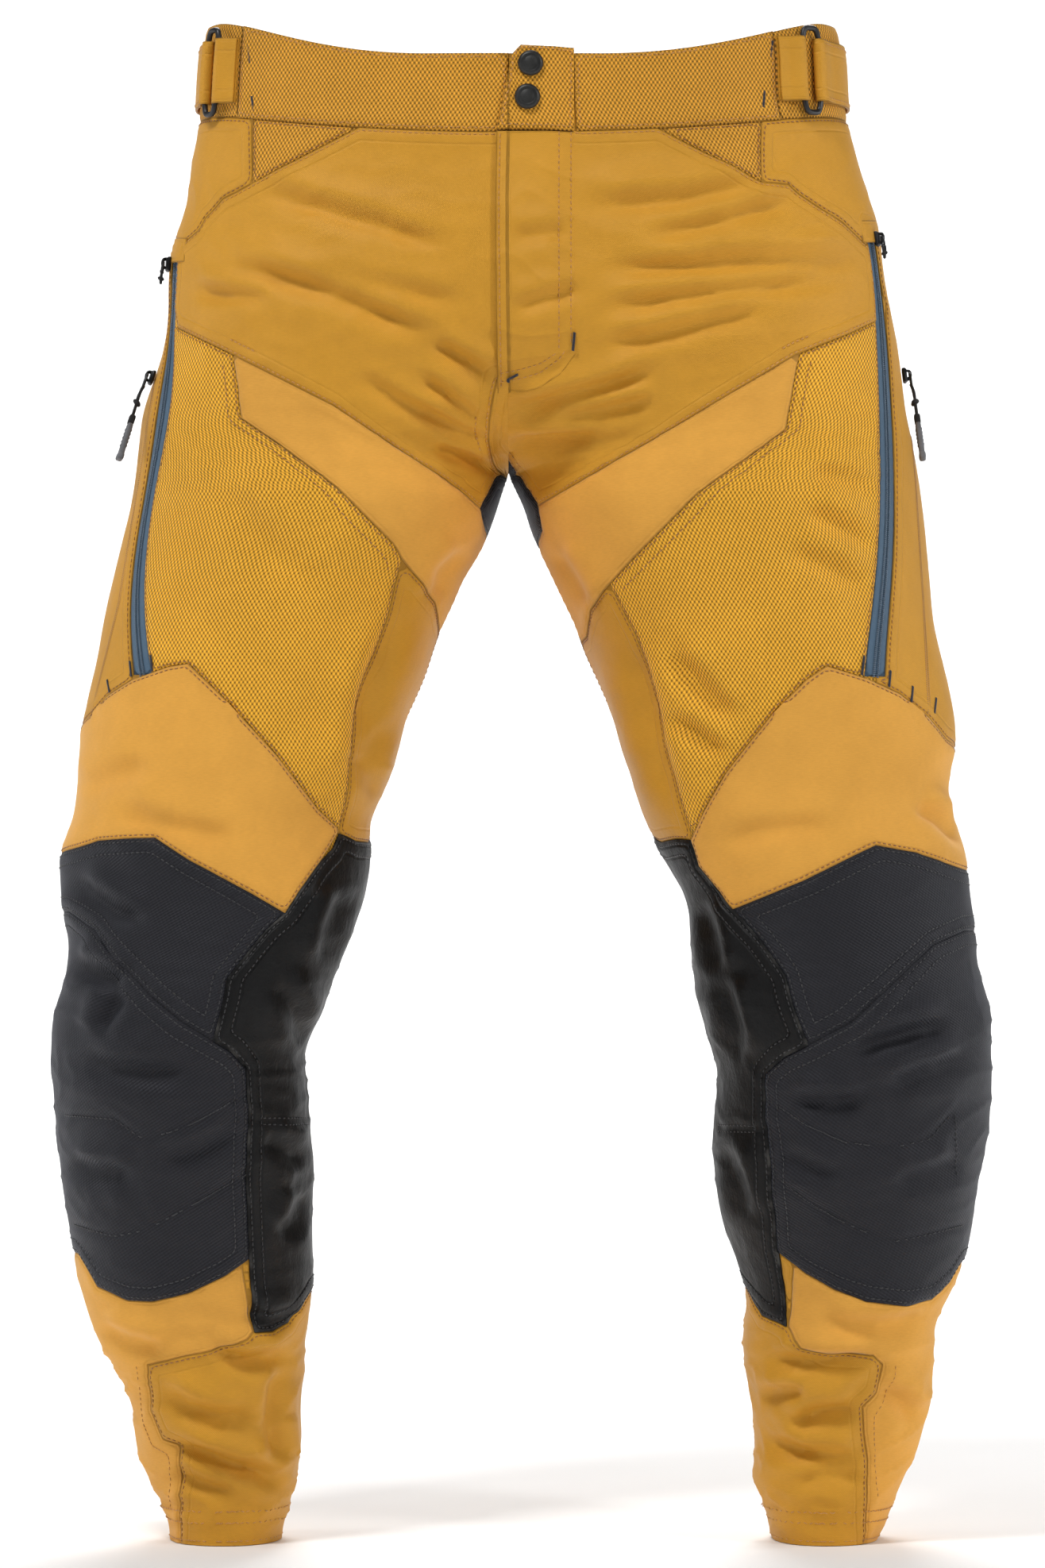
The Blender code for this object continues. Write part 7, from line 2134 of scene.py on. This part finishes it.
def side_adjuster(side):
    """A rounded ring with a strap looped round each of its bars."""
    word, ring_u = WORD[side], RING_U[side]
    front_u, back_u = ring_u - RING_STEP_U, ring_u + RING_STEP_U
    out = normal(side, ring_u, RING_Z)
    local = frame_at(envelope(side, ring_u, RING_Z) + out * 0.0052, out, (0, 0, 1))
    span = envelope(side, back_u, RING_Z) - envelope(side, front_u, RING_Z)
    half = float(np.linalg.norm(span)) / 2
    loop = []
    for q in np.linspace(0, 2 * math.pi, 56, endpoint=False):
        c, s = math.cos(q), math.sin(q)
        loop.append((half * math.copysign(abs(c) ** 0.45, c), 0,
                     0.0277 * math.copysign(abs(s) ** 0.6, s)))
    bm = bmesh.new()
    add_tube(bm, loop, 0.0019, sides=12, cyclic=True)
    ring = from_bmesh(f"adjuster_ring_{word}_plastic", bm, "ring", local, angle=1.2)
    attach(ring, "adjuster_ring_" + word, node="adjuster_ring_" + word)

    def waist_mm(u):
        return float(around(side, u, RING_Z)) / MM

    start, bar = waist_mm(SIDE_U[side]) + 1.5, waist_mm(front_u)
    path = [(start, 1.3), (bar - 6, 1.5), (bar - 1.5, 2.0), (bar + 2.3, 3.2), (bar + 3.0, 5.2),
            (bar + 1.8, 7.4), (bar - 1.5, 7.9), (bar - 5.5, 6.2), (bar - 9.5, 4.2),
            (start + 0.5, 3.2)]
    strap = ribbon("anchor_strap_" + word, side, path, 0.0212, 0.0013, "pelvis")
    for row in (0.06, 0.94):
        strap_row(strap, row, 0.80, 0.99, "pelvis", side)
    bar, end = waist_mm(back_u), waist_mm(back_u + 0.008 + 0.175)
    path = [(bar + 17, 1.9), (bar + 7, 1.8), (bar + 1.5, 2.0), (bar - 2.3, 3.2), (bar - 3.0, 5.2),
            (bar - 1.8, 7.4), (bar + 1.5, 7.9), (bar + 6, 6.4), (bar + 12, 4.4), (bar + 20, 3.4),
            (bar + 40, 3.0), ((bar + end) / 2 + 10, 3.0), (end - 4, 2.9), (end, 2.7)]
    body = "adjuster_strap_" + word
    strap = ribbon(body, side, path, 0.0205, 0.0016, body)
    for row in (0.07, 0.93):
        strap_row(strap, row, 0.52, 0.985, body, side)


for side in "RL":
    side_adjuster(side)


# ---------------------------------------------------------------- zip garages
def garage_level(s, t):
    return 0.0004 + 0.0016 * np.sin(np.pi * np.clip(s, 0, 1)) * (0.3 + 0.7 * t)


# four corners of the garage over the top of each vent zip, front elevation mm
GARAGES = {"R": "-233.3,861.8 -221.8,861.8 -223.3,846.1 -233.8,845",
           "L": "222.3,873.4 234.4,873.4 235.4,858.7 224.9,858.7"}
for side, text in GARAGES.items():
    corners = np.array(pairs(text))

    def garage_at(s, t, side=side, corners=corners):
        shares = np.stack([(1 - s) * (1 - t), s * (1 - t), s * t, (1 - s) * t], 1)
        spot = shares @ corners
        return np.full(len(s), side), *front_many(side, spot[:, 0], spot[:, 1])

    garage = over(f"zip_garage_{WORD[side]}_cloth", garage_at, 12, 14, garage_level,
                  thick=0.0008, look="twill", edge_scale=(0.012, 0.015))
    attach(garage, "hip")

# ---------------------------------------------------------------- sewing thread pieces
for (look, kind, side), rods in sorted(THREADS.items()):
    rods = np.concatenate(rods)
    faces = (ROD_FACES[None] + (np.arange(len(rods)) * 10)[:, None, None]).reshape(-1, 3)
    label = kind + "_cloth" if kind in ("hip", "knee") else kind
    obj = make(f"{look}_{label}_{WORD[side]}", rods.reshape(-1, 3), faces, look,
               smooth_angle=None)
    attach(obj, kind)


# ---------------------------------------------------------------- stage, light, camera
def build_stage():
    """A pale floor that curves up into a wall behind."""
    paper = Tree("stage_paper")
    clouds = paper.noise(paper.place(), scale=3.0, detail=4.0)
    paper.finish((0.93, 0.93, 0.93, 1.0), paper.spread(clouds, 0.75, 0.85))
    curve = [(9.0 + 3.0 * math.sin(q), 3.0 - 3.0 * math.cos(q))
             for q in np.linspace(0.1, math.pi / 2, 14)]
    section = [(-14.0, 0.0), (9.0, 0.0)] + curve + [(12.0, 16.0)]   # y, z
    mesh = bpy.data.meshes.new("backdrop")
    mesh.from_pydata([(x, y, z - 0.0004) for y, z in section for x in (-16.0, 16.0)], [],
                     [(2 * i, 2 * i + 1, 2 * i + 3, 2 * i + 2) for i in range(len(section) - 1)])
    mesh.shade_smooth()
    mesh.materials.append(paper.material)
    backdrop = bpy.data.objects.new("backdrop", mesh)
    bpy.context.scene.collection.objects.link(backdrop)


def build_world():
    """White: bright where the camera sees it, faint as a light."""
    world = bpy.data.worlds.new("studio")
    bpy.context.scene.world = world
    world.use_nodes = True
    nodes, links = world.node_tree.nodes, world.node_tree.links
    background = nodes["Background"]
    background.inputs["Color"].default_value = (1.0, 1.0, 1.0, 1.0)
    ray = nodes.new("ShaderNodeLightPath")
    strength = nodes.new("ShaderNodeMath")
    strength.operation = "MULTIPLY_ADD"
    strength.inputs[1].default_value = 0.80   # more for camera rays
    strength.inputs[2].default_value = 0.10   # for all rays
    links.new(ray.outputs["Is Camera Ray"], strength.inputs[0])
    links.new(strength.outputs[0], background.inputs["Strength"])


# name, place, aim, size in metres, power in watts
LAMPS = [
    ("key", (-1.3, -2.2, 4.3), (0, 0, 0.5), 0.75, 112),
    ("key_right", (2.7, -2.1, 2.1), (0, 0, 0.45), 0.6, 38),
    ("low_left", (-2.6, -2.4, 0.9), (0, 0, 0.3), 0.7, 6),
    ("strip_left", (-2.0, 0.2, 0.9), (0, 0, 0.45), 0.6, 7),
    ("strip_right", (2.0, 0.2, 0.9), (0, 0, 0.45), 0.6, 7),
    ("back", (0.4, 3.0, 2.6), (0, 0, 0.5), 1.2, 22),
    ("wall_left", (-3.4, 7.4, 4.6), (0.6, 12.0, 1.4), 2.4, 190),
    ("wall_right", (3.4, 7.4, 4.6), (-0.6, 12.0, 1.4), 2.4, 190),
    ("floor_far", (0.0, 5.2, 5.0), (0, 5.2, 0), 3.0, 260),
    ("floor_near", (0.0, 1.9, 3.4), (0, 2.2, 0), 1.8, 24)]


def build_lamps():
    for name, at, aim, size, power in LAMPS:
        data = bpy.data.lights.new(name, "AREA")
        data.shape, data.size, data.energy, data.color = "SQUARE", size, power, (1, 1, 1)
        obj = bpy.data.objects.new(name, data)
        bpy.context.scene.collection.objects.link(obj)
        obj.location = at
        obj.rotation_euler = (Vector(aim) - Vector(at)).to_track_quat("-Z", "Y").to_euler()


def build_camera():
    camera = bpy.data.cameras.new("camera")
    camera.lens, camera.sensor_width, camera.sensor_fit = 156.1, 36.0, "AUTO"
    camera.clip_end = 60
    eye = bpy.data.objects.new("camera", camera)
    bpy.context.scene.collection.objects.link(eye)
    eye.location = (0.0, EYE_Y, EYE_Z)
    eye.rotation_euler = (math.pi / 2, 0, 0)
    bpy.context.scene.camera = eye
    bpy.context.scene.view_settings.view_transform = "Standard"
    bpy.context.scene.view_settings.look = "None"


build_stage()
build_world()
build_lamps()
build_camera()
